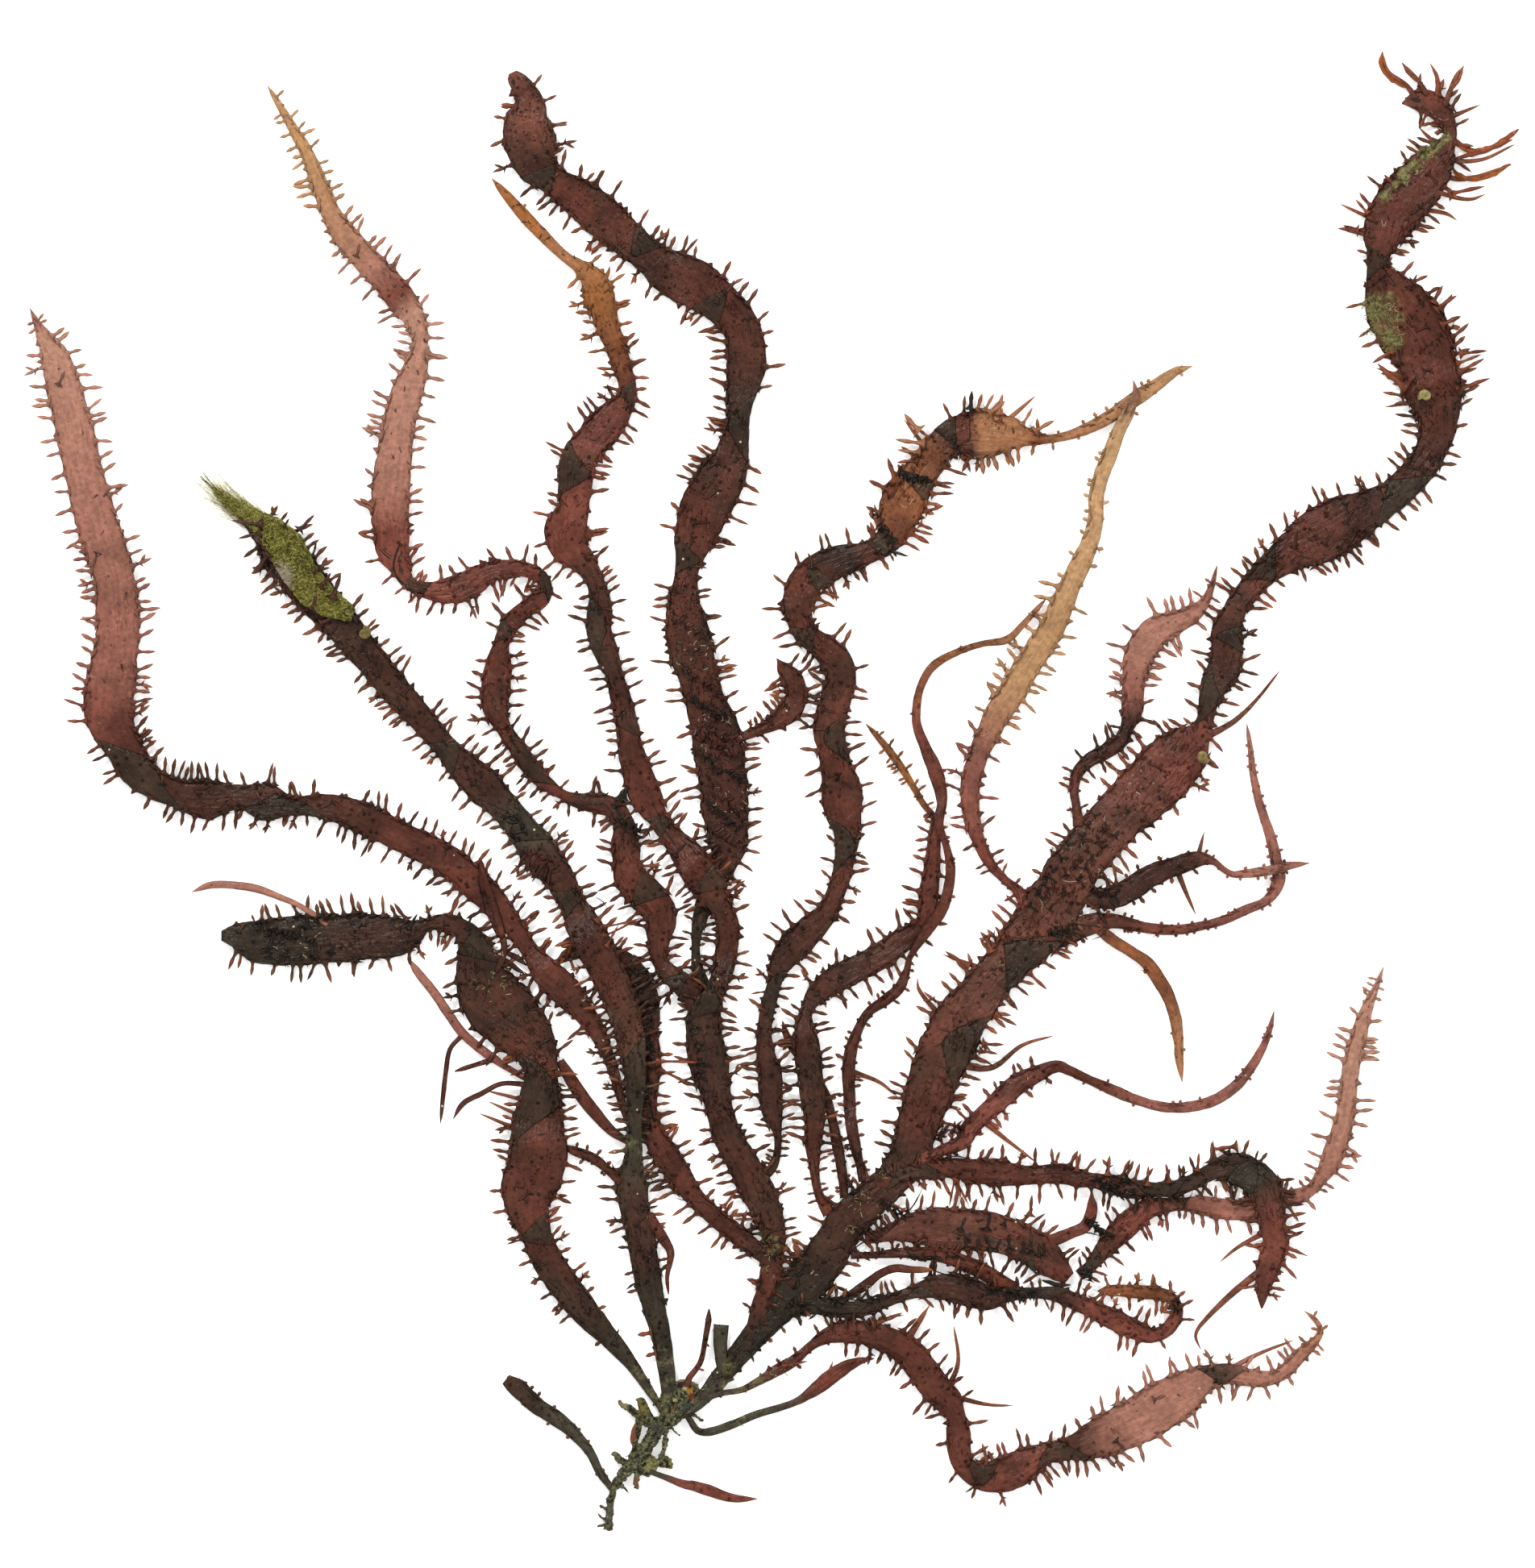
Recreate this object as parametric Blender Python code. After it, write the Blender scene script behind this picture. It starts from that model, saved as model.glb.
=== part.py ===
"""A red seaweed laid out flat: a knotted stipe whose leathery, strap-shaped fronds fan out over the surface,
fork, bend and cross, and carry a row of small spines along each margin. A tuft of green threads and three tiny
snail shells sit on it. The origin is under the crown, where the fronds spring from the stipe; +Y runs up the
plant and +Z away from the surface that it lies on. Lengths in the tables are millimetres.
"""
import math
import random

import bmesh
import bpy
import numpy as np

MM = 0.001

# Driving dimensions, in millimetres
BLADE_THICKNESS = 0.66
BRANCH_THICKNESS = 0.60
SPUR_THICKNESS = 0.54
FINE_STEP = 0.5
CELL = 0.5
FLOOR_GAP = 0.30
LAYER_GAP = 0.46
SIDE_GAP = 0.45
CLIMB = 0.32
ROOT_REACH = 3.0
WAVE_HEIGHT = 0.55
WAVE_LENGTH = 30.0
FOOT_RADIUS = 3.5
FOOT_FADE = 4.0
FEET = ((-80.0, 107.0), (102.5, 149.0))
PLAN_TOLERANCE = 0.24
HEIGHT_TOLERANCE = 0.07
SPINE_LENGTH = 2.7
SPINE_ROOT = 0.80
SPINE_PITCH = 4.0
SPINE_LEAN = (18.0, 42.0)
SPINE_RISES = (0.0, 0.35, 0.7, 1.1)
CROWN_CENTRE = (0.0, -0.5)
CROWN_RADIUS = 2.5
CROWN_HEIGHT = 2.2
SHELL_RADIUS = 0.9

random.seed(7)

# A point of a route is (x, y, width); a fourth value, L or R, says that the strap is doubled over there, with
# its smooth folded edge on the left or the right as seen from the root
L = "left"
R = "right"


class Blade:
    """One strap. route runs from root to tip, on names the blade it grows from, spine is the length of its
    marginal spines, and spurs are its long thin outgrowths, each (width, point, point, ...)."""

    def __init__(self, route, on=None, spine=SPINE_LENGTH, thickness=BLADE_THICKNESS, spurs=()):
        self.route = route
        self.on = on
        self.spine = spine
        self.thickness = thickness
        self.spurs = spurs


def twig(route, on, spine=0.0, spurs=()):
    """A thin side blade, fused to the frond that it grows from."""
    return Blade(route, on, spine, BRANCH_THICKNESS, spurs)


# The stalk from its lower end up to the crown, its stubs as (width at the root, width at the tip, point, ...), and
# its knots as (x, y, radius, height)
STIPE = [(-10.6, -19.2, 1.25), (-10.4, -16.5, 1.15), (-10.1, -14, 1.1), (-9.5, -12.6, 1.4), (-8.2, -10.9, 1.9),
         (-6.4, -9.4, 2.1), (-5, -7.2, 2.1), (-3.9, -5, 2.2), (-2.3, -3.9, 2.3), (-0.8, -2.7, 2.4),
         (0.2, -1.4, 2.4)]
STIPE_STUBS = [
    (1.0, .9, (-4.6, -4.9), (-6.2, -3.2), (-7.5, -2.1), (-9.2, -1.2)),
    (1.6, 1.3, (-4.0, -4.6), (-5.3, -2.8), (-6.3, -0.6)),
    (1.0, 1.0, (-6.1, -3.4), (-6.7, -5.6), (-6.9, -8.4)),
    (1.3, 1.0, (-7.2, -10.2), (-8.9, -9.3), (-9.9, -8.2)),
    (1.3, 1.0, (-5.0, -9.4), (-3.0, -9.8), (-1.6, -10.2)),
    (1.0, .9, (-3.4, -8.8), (-2.4, -9.2), (-1.7, -9.6)),
    (.8, .7, (-2.6, -4.4), (-2.5, -6.4), (-3.0, -8.8)),
    (1.0, .8, (-6.3, -10.4), (-6.6, -11.8), (-6.7, -13.4)),
    (.5, .3, (-9.2, -12.6), (-8.4, -13.3), (-7.6, -14.1)),
    (.6, .5, (-10.3, -16.3), (-11.7, -15.8)),
    (.5, .3, (-10.5, -18.0), (-11.5, -17.5), (-12.3, -16.6)),
    (.5, .4, (-10.5, -18.4), (-12.2, -18.7)),
    (.5, .3, (-2.2, -4.2), (-1.3, -5.3), (-.4, -6.0)),
    (.7, .4, (.6, -2.4), (2.0, -3.4), (2.8, -3.9))]
STIPE_KNOTS = [(-5.2, -10.0, 1.7, 1.7), (-3.3, -4.5, 1.35, 2.1), (-2.6, -1.4, 1.2, 2.0), (-6.6, -9.0, 1.2, 1.9)]

# Blades in the order in which they lie on each other, the lowest first
BLADES = {
    "right_tall_frond": Blade([
        (2.5, -.8, 2.0), (4.6, 1.6, 2.6), (7, 4.6, 3.0), (9.6, 7.7, 3.6), (12.4, 10.8, 4.2), (15.4, 14, 5.4),
        (18.4, 17.2, 6.2), (21, 20.8, 5.8), (23.2, 24.2, 5.8), (26.5, 27.5, 5.2), (29.3, 30, 5.0), (31.5, 33, 5.6),
        (32.5, 36, 5.9), (33.4, 39, 6.2), (34.4, 42, 6.9), (35.6, 45.5, 7.2), (37.1, 49, 7.6), (39, 52.8, 7.2),
        (41.5, 56, 6.2), (44, 59, 6.0), (47, 62.2, 6.8), (50, 65.8, 8.0), (52.5, 69.6, 7.8), (54.6, 73.3, 7.4),
        (57.3, 77, 7.2), (60.6, 80.5, 7.4), (64.2, 84, 8.2), (67.8, 87.6, 8.6), (70.6, 90.6, 7.4),
        (72.6, 93, 3.4), (73.5, 95.2, 2.4), (73.9, 97.5, 3.0), (74.7, 99.7, 4.0), (76, 101.8, 4.8),
        (76.4, 104.5, 4.5), (76.4, 107.5, 4.3), (77.5, 110, 3.4), (79.3, 112.8, 3.4), (82, 115.6, 3.8),
        (85.5, 118.3, 5.6), (89.4, 120.6, 7.8), (93, 122.6, 7.6), (96.4, 124.4, 5.6), (99.6, 126.2, 4.6),
        (102.3, 128.7, 4.5), (104.5, 131.5, 4.5), (105.8, 134.5, 5.0), (106, 137.3, 6.0), (105.6, 140.5, 8.2),
        (105, 143.5, 8.2), (103.8, 147, 9.2), (102, 150.3, 10.0), (100, 153.3, 9.0), (98.6, 156, 6.0),
        (97.8, 158.3, 3.4), (97.8, 160.3, 3.4), (98.2, 162.5, 5.6), (99.6, 165.5, 7.0), (102.3, 169, 7.4),
        (105, 172.2, 6.2), (106.8, 174.8, 3.6), (107.7, 176.8, 2.0), (107.4, 178.8, 2.4), (106.2, 180.6, 3.4),
        (104.2, 181.8, 3.4), (102.3, 181.7, 2.2), (101, 181.4, .8)],
        on="stipe",
        spurs=[
            (.9, (103.0, 182.0), (101.6, 184.0), (99.0, 186.0), (98.2, 188.8)),
            (.8, (104.6, 182.6), (103, 185), (101, 187.2)),
            (.8, (105.9, 181.8), (106.0, 185), (105, 187)),
            (.9, (107.0, 181.0), (108.5, 185), (109.7, 186.7)),
            (.8, (107.6, 179.4), (112, 181.2)),
            (1.0, (107.6, 176.6), (110.5, 174.9), (113, 175), (117.5, 177.8)),
            (.8, (106.6, 173.4), (112, 173.4), (116.8, 175.6)),
            (1.0, (105.8, 171.5), (110, 170.8), (116.5, 172.8)),
            (.8, (104.6, 169.3), (110, 167.9), (112.7, 168.6)),
            (.8, (102.8, 166.6), (107, 166.0), (108.8, 164.9)),
            (.7, (106.0, 175.5), (103.3, 178.1)), (.7, (104.6, 173.9), (102.1, 176.4)),
            (.7, (97.2, 165), (92.3, 167.3)), (.7, (96.6, 162.8), (92.2, 163.8)),
            (.7, (101.8, 142.8), (97.3, 144.2)), (.7, (102.8, 139.4), (98.6, 138.7)),
            (1.0, (74.0, 92.6), (77.5, 94.6), (80.6, 97.6), (83.8, 101.6)),
            (1.1, (37.6, 46.4), (43.2, 45.8), (47.5, 48.9), (52, 50.3)),
            (.8, (35.8, 53.4), (33.2, 56.6), (32.9, 58.4)), (.8, (42.4, 59.6), (39.0, 60.8), (36.5, 61.7))]),
    "cut_stump": Blade([(5.6, 3.6, 1.8), (5.2, 6, 1.9), (5.2, 8, 2.0), (5.3, 9.7, 2.2)],
                       "right_tall_frond", 0.0, 1.1),
    "bumpy_frond": Blade([
        (4, 55, 1.0), (2.8, 57.5, 1.8), (1.9, 60, 1.6), (1.7, 63, 1.2), (2.1, 66, 1.9), (3, 69, 2.6),
        (4.4, 72, 3.2), (5.9, 75, 4.0), (6.3, 78, 5.6), (5.8, 82, 6.6), (5.5, 86, 6.8), (5, 90, 7.2),
        (4.4, 93.5, 7.0), (3.1, 97, 5.8), (2, 101, 5.8), (1, 105, 6.4), (.3, 108.5, 5.8), (0, 112, 4.4),
        (.4, 115, 3.3, L), (.8, 117.5, 4.0, L), (1.6, 120.5, 6.0), (2.8, 124, 7.0), (4.6, 127.5, 7.2),
        (6.2, 130.5, 6.0), (7.1, 133.5, 4.2, R), (7.6, 137, 3.3, R), (7.9, 140, 4.0, R), (8.7, 143.5, 5.4),
        (8.7, 147, 5.6), (7.8, 150.5, 5.2), (5.2, 153.4, 5.6), (2, 155.8, 6.8), (-1.5, 157.4, 6.6),
        (-5, 160, 4.8), (-8.6, 163, 5.2), (-12, 166, 6.0), (-15.4, 168.6, 5.2), (-18.4, 170.6, 4.2),
        (-20.8, 172.8, 5.8), (-21.4, 175.5, 7.4), (-22, 178.5, 6.6), (-21.6, 181.2, 4.2), (-22.4, 183.2, 3.4),
        (-23.6, 185, 2.4), (-24, 185.8, 1.2)]),
    "bumpy_side_blade": twig([(7.4, 92.0, 1.2), (10.6, 93.3, 1.6), (12.8, 94.4, 2.4), (14.8, 96, 3.4),
                              (15.9, 98.2, 3.0), (15.3, 100.4, 3.0), (14, 102, 2.0), (13.1, 103.4, .5)],
                             "bumpy_frond", SPINE_LENGTH),
    "middle_frond": Blade([
        (8.8, 7, 1.4), (10.2, 10.5, 2.2), (11.4, 14, 2.8), (12.3, 17.5, 3.0), (12.8, 20.5, 3.0), (12.3, 24, 3.8),
        (10.7, 28, 4.9), (8.8, 31.5, 4.6), (6.8, 35, 4.2), (5.4, 38.5, 3.9), (4.6, 42, 4.2), (3.6, 46, 5.6),
        (2.9, 50, 5.2), (3, 53.2, 4.8), (4.4, 56.5, 2.8), (5.6, 60, 3.1), (6.1, 63, 3.2), (6.2, 66, 3.2),
        (5.2, 68.6, 3.2), (3.4, 71.6, 5.0), (1.2, 74.8, 4.8), (-1.2, 77.8, 3.4), (-3.2, 80.4, 2.8),
        (-5, 83.4, 4.4), (-6.4, 87, 4.4), (-7.4, 90.5, 3.6), (-8, 94, 3.2), (-8.8, 97.5, 3.0), (-9.7, 101, 2.6),
        (-10.8, 104, 3.4), (-11.9, 107.5, 3.6), (-11.7, 110.5, 3.4), (-12.2, 113.5, 2.6), (-13.8, 116.5, 3.4),
        (-16, 119, 5.4), (-16.4, 121.5, 6.4), (-15.6, 124.3, 4.6), (-15.2, 127.5, 4.8), (-15, 130.5, 5.2),
        (-13.6, 133, 5.0), (-11.6, 135.5, 5.2), (-9.6, 137.8, 4.4), (-8, 140.2, 2.8), (-8.2, 143, 2.4),
        (-9.3, 146.5, 3.0), (-10.6, 150, 3.2), (-11.7, 153.5, 4.2), (-12.6, 156.3, 4.0), (-14.3, 158.2, 2.2),
        (-16.8, 160, 1.5), (-19.5, 162.6, 1.7), (-22.2, 165.4, 1.8), (-25, 168.6, 1.3), (-27, 170.9, .4)],
        on="right_tall_frond", spurs=[(1.0, (-11.8, 155.6), (-10.6, 157.6), (-10.4, 158.6))]),
    "crossing_frond": Blade([
        (13.4, 17.2, 1.4), (11.5, 19.2, 2.2), (9, 21.2, 2.6), (6.3, 23.3, 2.8), (3.8, 25.4, 2.6), (1.4, 27.8, 2.8),
        (-.7, 30.8, 3.6), (-2.6, 33.8, 3.8), (-4.2, 36.6, 3.0), (-4.8, 40, 2.2), (-4.6, 43.5, 2.4), (-4.2, 47, 2.2),
        (-4.6, 50.5, 2.2), (-4.8, 53.8, 3.0), (-6, 57.2, 4.2), (-8, 60.2, 3.4), (-10.5, 61.8, 2.6),
        (-13.2, 62.2, 2.0), (-15.8, 61.8, 1.8), (-17.4, 60.4, .6)], on="middle_frond"),
    "left_tall_frond": Blade([
        (-2.3, -.5, 1.6), (-2.2, 1.5, 2.2), (-2.8, 6, 2.6), (-3.6, 10, 3.0), (-4.6, 14, 3.6), (-5.4, 18, 4.0),
        (-6, 22, 4.0), (-6.8, 26, 4.2), (-7.4, 29.5, 4.6), (-7.2, 32, 3.0), (-7, 34.5, 2.4), (-6.9, 38, 2.2),
        (-6.8, 41.5, 2.6), (-6.8, 45, 3.2), (-7.3, 49, 4.0), (-8, 52.5, 4.4), (-9.2, 56, 4.8), (-10.8, 59.5, 5.0),
        (-12.6, 63, 5.2), (-14.3, 66.3, 4.8), (-15.8, 69.2, 3.6), (-17.6, 72.6, 4.4), (-20.2, 76, 5.4),
        (-22.6, 79.2, 4.4), (-25, 82.2, 4.2), (-28, 85.2, 5.2), (-30.9, 88.1, 4.4), (-33.5, 90.9, 3.3),
        (-36.1, 94, 3.6), (-39.3, 97.6, 4.0), (-42.6, 101.5, 4.3), (-45.7, 105.3, 4.6), (-48.6, 108.7, 5.2),
        (-51.7, 112.1, 5.8), (-54.4, 115.4, 6.2), (-56.5, 118.6, 6.4), (-58.6, 120.9, 4.6), (-60.8, 122, 2.2),
        (-62, 122.2, .6)], on="stipe"),
    "left_pouch": twig([(-4.9, 25.2, 1.4), (-3.2, 22.3, 1.6), (-1.9, 20.2, 1.2), (-1.9, 18.6, .9),
                        (-2.3, 16.5, .6), (-2.1, 14, .6)], "left_tall_frond"),
    "left_small_blade": twig([(-8.9, 29.6, 1.0), (-11, 31.8, 1.3), (-13, 33.2, 1.5), (-15.8, 34.3, 1.2),
                              (-17, 35, .8)], "left_tall_frond", 1.6),
    "left_under_blade": twig([(-7.2, 35.2, 1.0), (-8.4, 35.8, 1.0), (-10.2, 37, 1.4), (-12.4, 39.4, 1.8),
                              (-14.5, 42.1, 1.9), (-16.3, 44.9, 1.7), (-17.4, 46.8, 1.2)], "left_tall_frond"),
    "far_left_frond": Blade([
        (-7.2, 37.5, .8), (-8, 38.8, .9), (-8.8, 41.5, 1.2), (-9.6, 44.5, 1.5), (-10.6, 47.5, 1.8), (-12, 50.5, 2.4),
        (-14, 53.6, 3.2), (-16.4, 56.4, 4.4), (-19.2, 59.2, 4.2), (-21.6, 62.3, 2.6), (-23.6, 65.2, 2.8),
        (-26, 68.2, 3.8), (-28.6, 71, 4.4), (-31.6, 73.7, 4.4), (-35, 76, 4.4), (-40, 78.4, 4.2), (-45, 80.9, 4.6),
        (-50, 82.5, 3.6), (-55, 82.7, 2.8), (-58.6, 83.2, 5.4), (-62.5, 83.9, 3.4), (-67, 83.6, 5.8),
        (-70.5, 84.2, 4.2), (-74, 85.6, 4.2), (-76.8, 87.8, 5.2), (-78.8, 91, 5.2), (-80.4, 94.2, 6.6),
        (-80.8, 97, 7.3), (-80.4, 101, 7.0), (-79.8, 105, 6.2), (-79.6, 110, 6.2), (-80.1, 115, 5.9),
        (-81.7, 120, 6.1), (-83.2, 125, 5.8), (-84.5, 130, 5.4), (-85.6, 135, 5.4), (-86.8, 140, 5.0),
        (-88.1, 145, 4.3), (-89.6, 148, 2.6), (-90.8, 150.3, 1.2), (-91.9, 152.6, .4)], on="left_tall_frond"),
    "left_blunt_frond": Blade([
        (-2.8, -2.6, .9), (-4.5, 0, 1.2), (-8, 5, 2.1), (-12.5, 10, 3.5), (-15, 13, 4.2), (-18, 17, 4.4),
        (-19.8, 20, 4.2), (-20.8, 22.5, 4.4), (-21.8, 25.5, 5.8), (-22, 28.5, 7.6), (-21, 31, 8.2),
        (-20.4, 34, 8.3), (-20.4, 38, 7.2), (-20.1, 42, 5.6), (-20, 45.5, 4.6), (-21, 49, 6.4),
        (-24.2, 52.6, 9.0), (-27, 55.6, 9.0), (-28.6, 59, 7.2), (-29.4, 62.5, 4.8), (-31, 65.2, 3.0),
        (-33.8, 66.2, 2.6), (-36.2, 65.8, 1.9), (-38.2, 64.8, 4.0), (-40.5, 64.3, 5.6), (-45, 64.2, 6.6),
        (-50, 64, 6.8), (-55, 63.7, 7.0), (-59.5, 63.6, 6.2), (-62.5, 64.3, 4.0), (-65, 64.4, 1.4)],
        on="stipe",
        spurs=[(.7, (-21.5, 41), (-27.7, 42.6)), (.7, (-22.0, 38.6), (-27.3, 41.0)),
               (.8, (-22, 36.6), (-28.7, 39.4))]),
    "thin_side_blade": twig([(-21.4, 44.0, 1.0), (-24.8, 45.8, .9), (-26.8, 47.2, 1.2), (-29, 48.8, 1.3),
                             (-31.2, 50.8, 1.3), (-33, 53.3, 1.3), (-35, 56.3, 1.3), (-37, 58.8, 1.2),
                             (-38.6, 61.0, .8)], "left_blunt_frond"),
    "thin_fork_upper": twig([(-30.9, 50.6, .7), (-32.8, 48.5, .7), (-33.4, 45.5, .7), (-33.8, 42, .7),
                             (-34.2, 38, .4)], "thin_side_blade"),
    "thin_fork_lower": twig([(-26.6, 47.0, .8), (-30, 46, .7), (-32.2, 45.3, .7)], "thin_side_blade"),
    "thin_low_blade": twig([(-21.6, 43.4, .8), (-25.5, 43.6, .7), (-28.4, 42.2, .8), (-31, 40.8, .8),
                            (-32.4, 38.6, .4)], "left_blunt_frond"),
    "pale_side_blade": twig([(-50, 66.0, 1.0), (-54, 68.6, .8), (-57, 69.9, .9), (-60, 71, 1.1), (-63.5, 71.5, 1.1),
                             (-66.5, 71.5, 1.0), (-69.2, 70.5, .4)], "left_blunt_frond"),
    "narrow_dark_blade": twig([(-26.4, 59.2, .8), (-25.2, 62, .9), (-25.6, 65, 1.0), (-26.8, 69, 1.1),
                               (-27.8, 72, .9), (-28.6, 74.6, .4)], "left_blunt_frond"),
    "upper_left_frond": Blade([
        (2.6, 53.6, 3.0), (.8, 56.6, 3.4), (-1.6, 58.8, 2.8), (-3.4, 61, 2.2), (-3.5, 64, 3.4), (-3.2, 67.3, 4.6),
        (-5.2, 70, 5.0), (-7.6, 72.4, 4.4), (-8, 75, 3.9), (-8.2, 78, 3.8), (-8.5, 80.3, 3.0), (-9.6, 82.2, 2.8),
        (-11.5, 82.9, 3.0), (-14.2, 83.2, 2.4), (-17, 84.2, 1.5), (-19.6, 86, 2.2), (-21.8, 88.4, 2.7),
        (-23.5, 91, 2.4), (-25.3, 93.6, 2.2), (-26.4, 96.5, 3.8), (-26.3, 100, 4.2), (-26, 103, 3.6),
        (-25.6, 105.5, 2.2), (-24.5, 108, 2.8), (-22.4, 110.2, 2.5), (-20.4, 111.6, 2.8), (-19.4, 113.4, 2.0),
        (-20.6, 115.2, 2.0), (-23.5, 116, 2.3), (-27, 115.6, 3.0), (-30, 113.9, 4.0), (-33, 112.9, 3.8),
        (-36, 112.9, 2.4), (-38.4, 113.7, 1.8), (-39.6, 115.6, 2.6), (-40.8, 118.5, 4.6), (-41.2, 122, 5.2),
        (-41.2, 126, 5.3), (-40.9, 130, 5.2), (-40.4, 134, 4.8), (-39.7, 138, 4.6), (-38.6, 141.5, 4.4),
        (-37.5, 145, 3.2), (-37, 148, 2.2), (-37.5, 150.5, 2.8), (-39.2, 153.2, 4.0), (-41.6, 156.2, 4.0),
        (-44.5, 159.3, 3.8), (-47.5, 162.7, 3.5), (-49.6, 166, 2.8), (-51.2, 170, 2.4), (-53, 174.5, 1.9),
        (-55, 178, 1.4), (-57.2, 181.8, .9), (-58.5, 183.9, .4)], on="middle_frond"),
    "wide_red_blade": Blade([
        (25.5, 21.8, 1.6), (28.5, 22.4, 2.2), (31.5, 23.2, 4.0), (35, 23.3, 5.6), (39, 23, 6.0), (43, 22.9, 5.4),
        (47, 21.5, 5.2), (50.5, 19.6, 5.0), (52.6, 17.6, 3.6), (54.2, 16.2, 2.0)], on="right_tall_frond"),
    "red_up_blade": twig([(50.5, 21.0, 2.2), (54.5, 22.6, 1.6), (56.5, 23.6, 1.8), (57.4, 26, 1.6),
                          (57.3, 28.2, .8)], "wide_red_blade"),
    "upper_slim_blade": Blade([(23.5, 19.4, 1.0), (27, 19.5, 1.0), (30, 19.8, 1.4), (33, 19.8, 1.8), (36, 19.5, 2.0),
                               (39, 18.6, 2.2), (42, 17.2, 2.4), (44.5, 15.8, 2.2), (47, 14.8, 1.6)],
                              "right_tall_frond", 1.6),
    "lowest_frond": Blade([
        (5.5, .1, .8), (8, .5, .9), (10.5, 1.7, 1.2), (13, 3.2, 1.7), (15.5, 4.6, 1.6), (17.8, 6.6, 1.3),
        (20, 8, 2.2), (22.5, 8.7, 3.2), (25.5, 8.5, 3.4), (28.5, 7.6, 3.8), (31.5, 6.0, 4.4), (33.4, 3.6, 4.4),
        (35.2, 1.2, 4.4), (37.2, -1, 4.0), (38.3, -3.2, 2.8), (38.6, -5.5, 3.4), (38.7, -7.6, 3.4),
        (39.2, -9.8, 3.0), (40.8, -11.3, 3.4), (43, -11.8, 4.2), (46, -11, 5.2), (48.5, -9.6, 4.4), (51, -8.4, 3.2),
        (54, -7.8, 3.2), (57, -6.8, 5.0), (60, -5.6, 6.2), (63.5, -3.9, 6.6), (67, -1.9, 7.0), (70, 0, 6.2),
        (72.3, 1.6, 4.6), (75, 2.6, 3.2), (77.5, 2.7, 2.7), (80, 2.2, 2.4), (82.5, 2.2, 2.0), (84.5, 3.1, 2.0),
        (86.3, 5, 2.0), (88, 6.6, 1.6), (89.3, 8, 1.0), (89.5, 9.3, .8), (88.7, 10.5, .7), (87.3, 11.6, .4)],
        on="right_tall_frond",
        spurs=[(.9, (76.4, 3.2), (80.5, 5.4), (85.7, 7.5)), (.9, (37.0, .4), (38.6, 4.4), (38, 9.5)),
               (.8, (38.0, -.4), (42.5, -1.5), (46.3, -1.7)), (1.2, (31.4, 7.6), (33.4, 10.6), (34.6, 12.4)),
               (.7, (26.2, 9.2), (29, 10.7), (31, 11))]),
    "looped_frond": Blade([
        (15, 11.5, 1.5), (18.5, 12.2, 2.2), (22, 11.9, 2.4), (25.5, 12, 2.0), (28.5, 13, 1.9), (32, 14.2, 1.8),
        (35.5, 15, 3.2), (39, 14.8, 4.2), (42.5, 13.6, 3.6), (46, 14.0, 2.0), (49.5, 14.2, 1.6), (52.5, 14.0, 2.2),
        (55, 13.0, 2.4), (57.5, 11.9, 2.6), (60.5, 10.4, 3.0), (63.5, 9, 2.8), (65.6, 8.2, 2.2), (67.4, 8.6, 2.0),
        (68.8, 10.0, 2.0), (69.4, 11.8, 1.7), (68.6, 13.4, 1.7), (66.5, 14.1, 2.0), (63, 14.4, 1.9),
        (60, 14.5, 1.6), (58.2, 14.4, .8)], on="right_tall_frond"),
    "lower_slim_blade": twig([(20.3, 12.2, 1.2), (23.5, 13.9, 1.2), (25.6, 15.3, 1.4), (27.5, 16.8, 1.2),
                              (29.8, 17.7, 1.2), (32, 17.5, 1.0), (35, 17.5, .8)], "looped_frond"),
    "pale_tip_frond": Blade([
        (55.6, 16.6, 1.6), (57.5, 18.2, 1.8), (59.5, 20.8, 2.8), (61.8, 23.2, 3.6), (64.2, 25.4, 3.2),
        (67, 26.4, 2.4), (70, 26.6, 1.8), (72.5, 26.5, 2.6), (75, 26.1, 2.9), (78, 25.8, 3.0), (81, 26.2, 3.4),
        (83.5, 27, 2.6), (85.8, 27.6, 2.4), (87.8, 28.4, 1.8), (89.2, 29.8, 1.9), (90.9, 32.5, 2.9), (91.8, 35, 3.0),
        (93, 39, 2.7), (93.6, 44, 2.5), (94.2, 47.5, 2.5), (95.1, 51, 2.2), (96.2, 54.5, 1.6), (97.4, 57.3, .9),
        (98.4, 60, .4)], on="wide_red_blade"),
    "bent_down_frond": Blade([
        (27.6, 29.3, 2.0), (31, 31, 2.2), (34.5, 31.3, 2.4), (38, 31.7, 2.8), (41, 31.2, 3.4), (44, 31.1, 3.8),
        (47, 30.7, 3.0), (50, 30.8, 2.6), (53, 30.9, 3.0), (55.5, 30.3, 2.6), (57.5, 30, 2.2), (60, 29.5, 2.8),
        (62.5, 28.9, 2.8), (66.5, 28.7, 2.0), (69.5, 29.0, 2.2), (72, 30.0, 2.2), (74.5, 31.3, 2.6),
        (77, 31.8, 4.2), (79.5, 31, 4.6), (81.5, 29.3, 4.6), (82.3, 26.5, 4.4), (82.8, 23.5, 3.8),
        (83.3, 21, 3.6), (82.4, 18.3, 3.6), (81.7, 16, 2.8), (81.4, 14, 1.6), (81.3, 12, 1.0)],
        on="right_tall_frond",
        spurs=[(.8, (81.6, 22.6), (78, 20.6), (75.4, 18.5)),
               (1.2, (81.4, 17.4), (78.5, 15.2), (76, 13), (73.5, 10.5), (72, 8.3), (72.7, 6.2)),
               (.7, (84.2, 20.8), (87.8, 19.3)), (.7, (84.0, 23.0), (86.8, 22.4)), (.7, (77.6, 33.2), (74.5, 34.7))]),
    "rising_branch": Blade([
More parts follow.
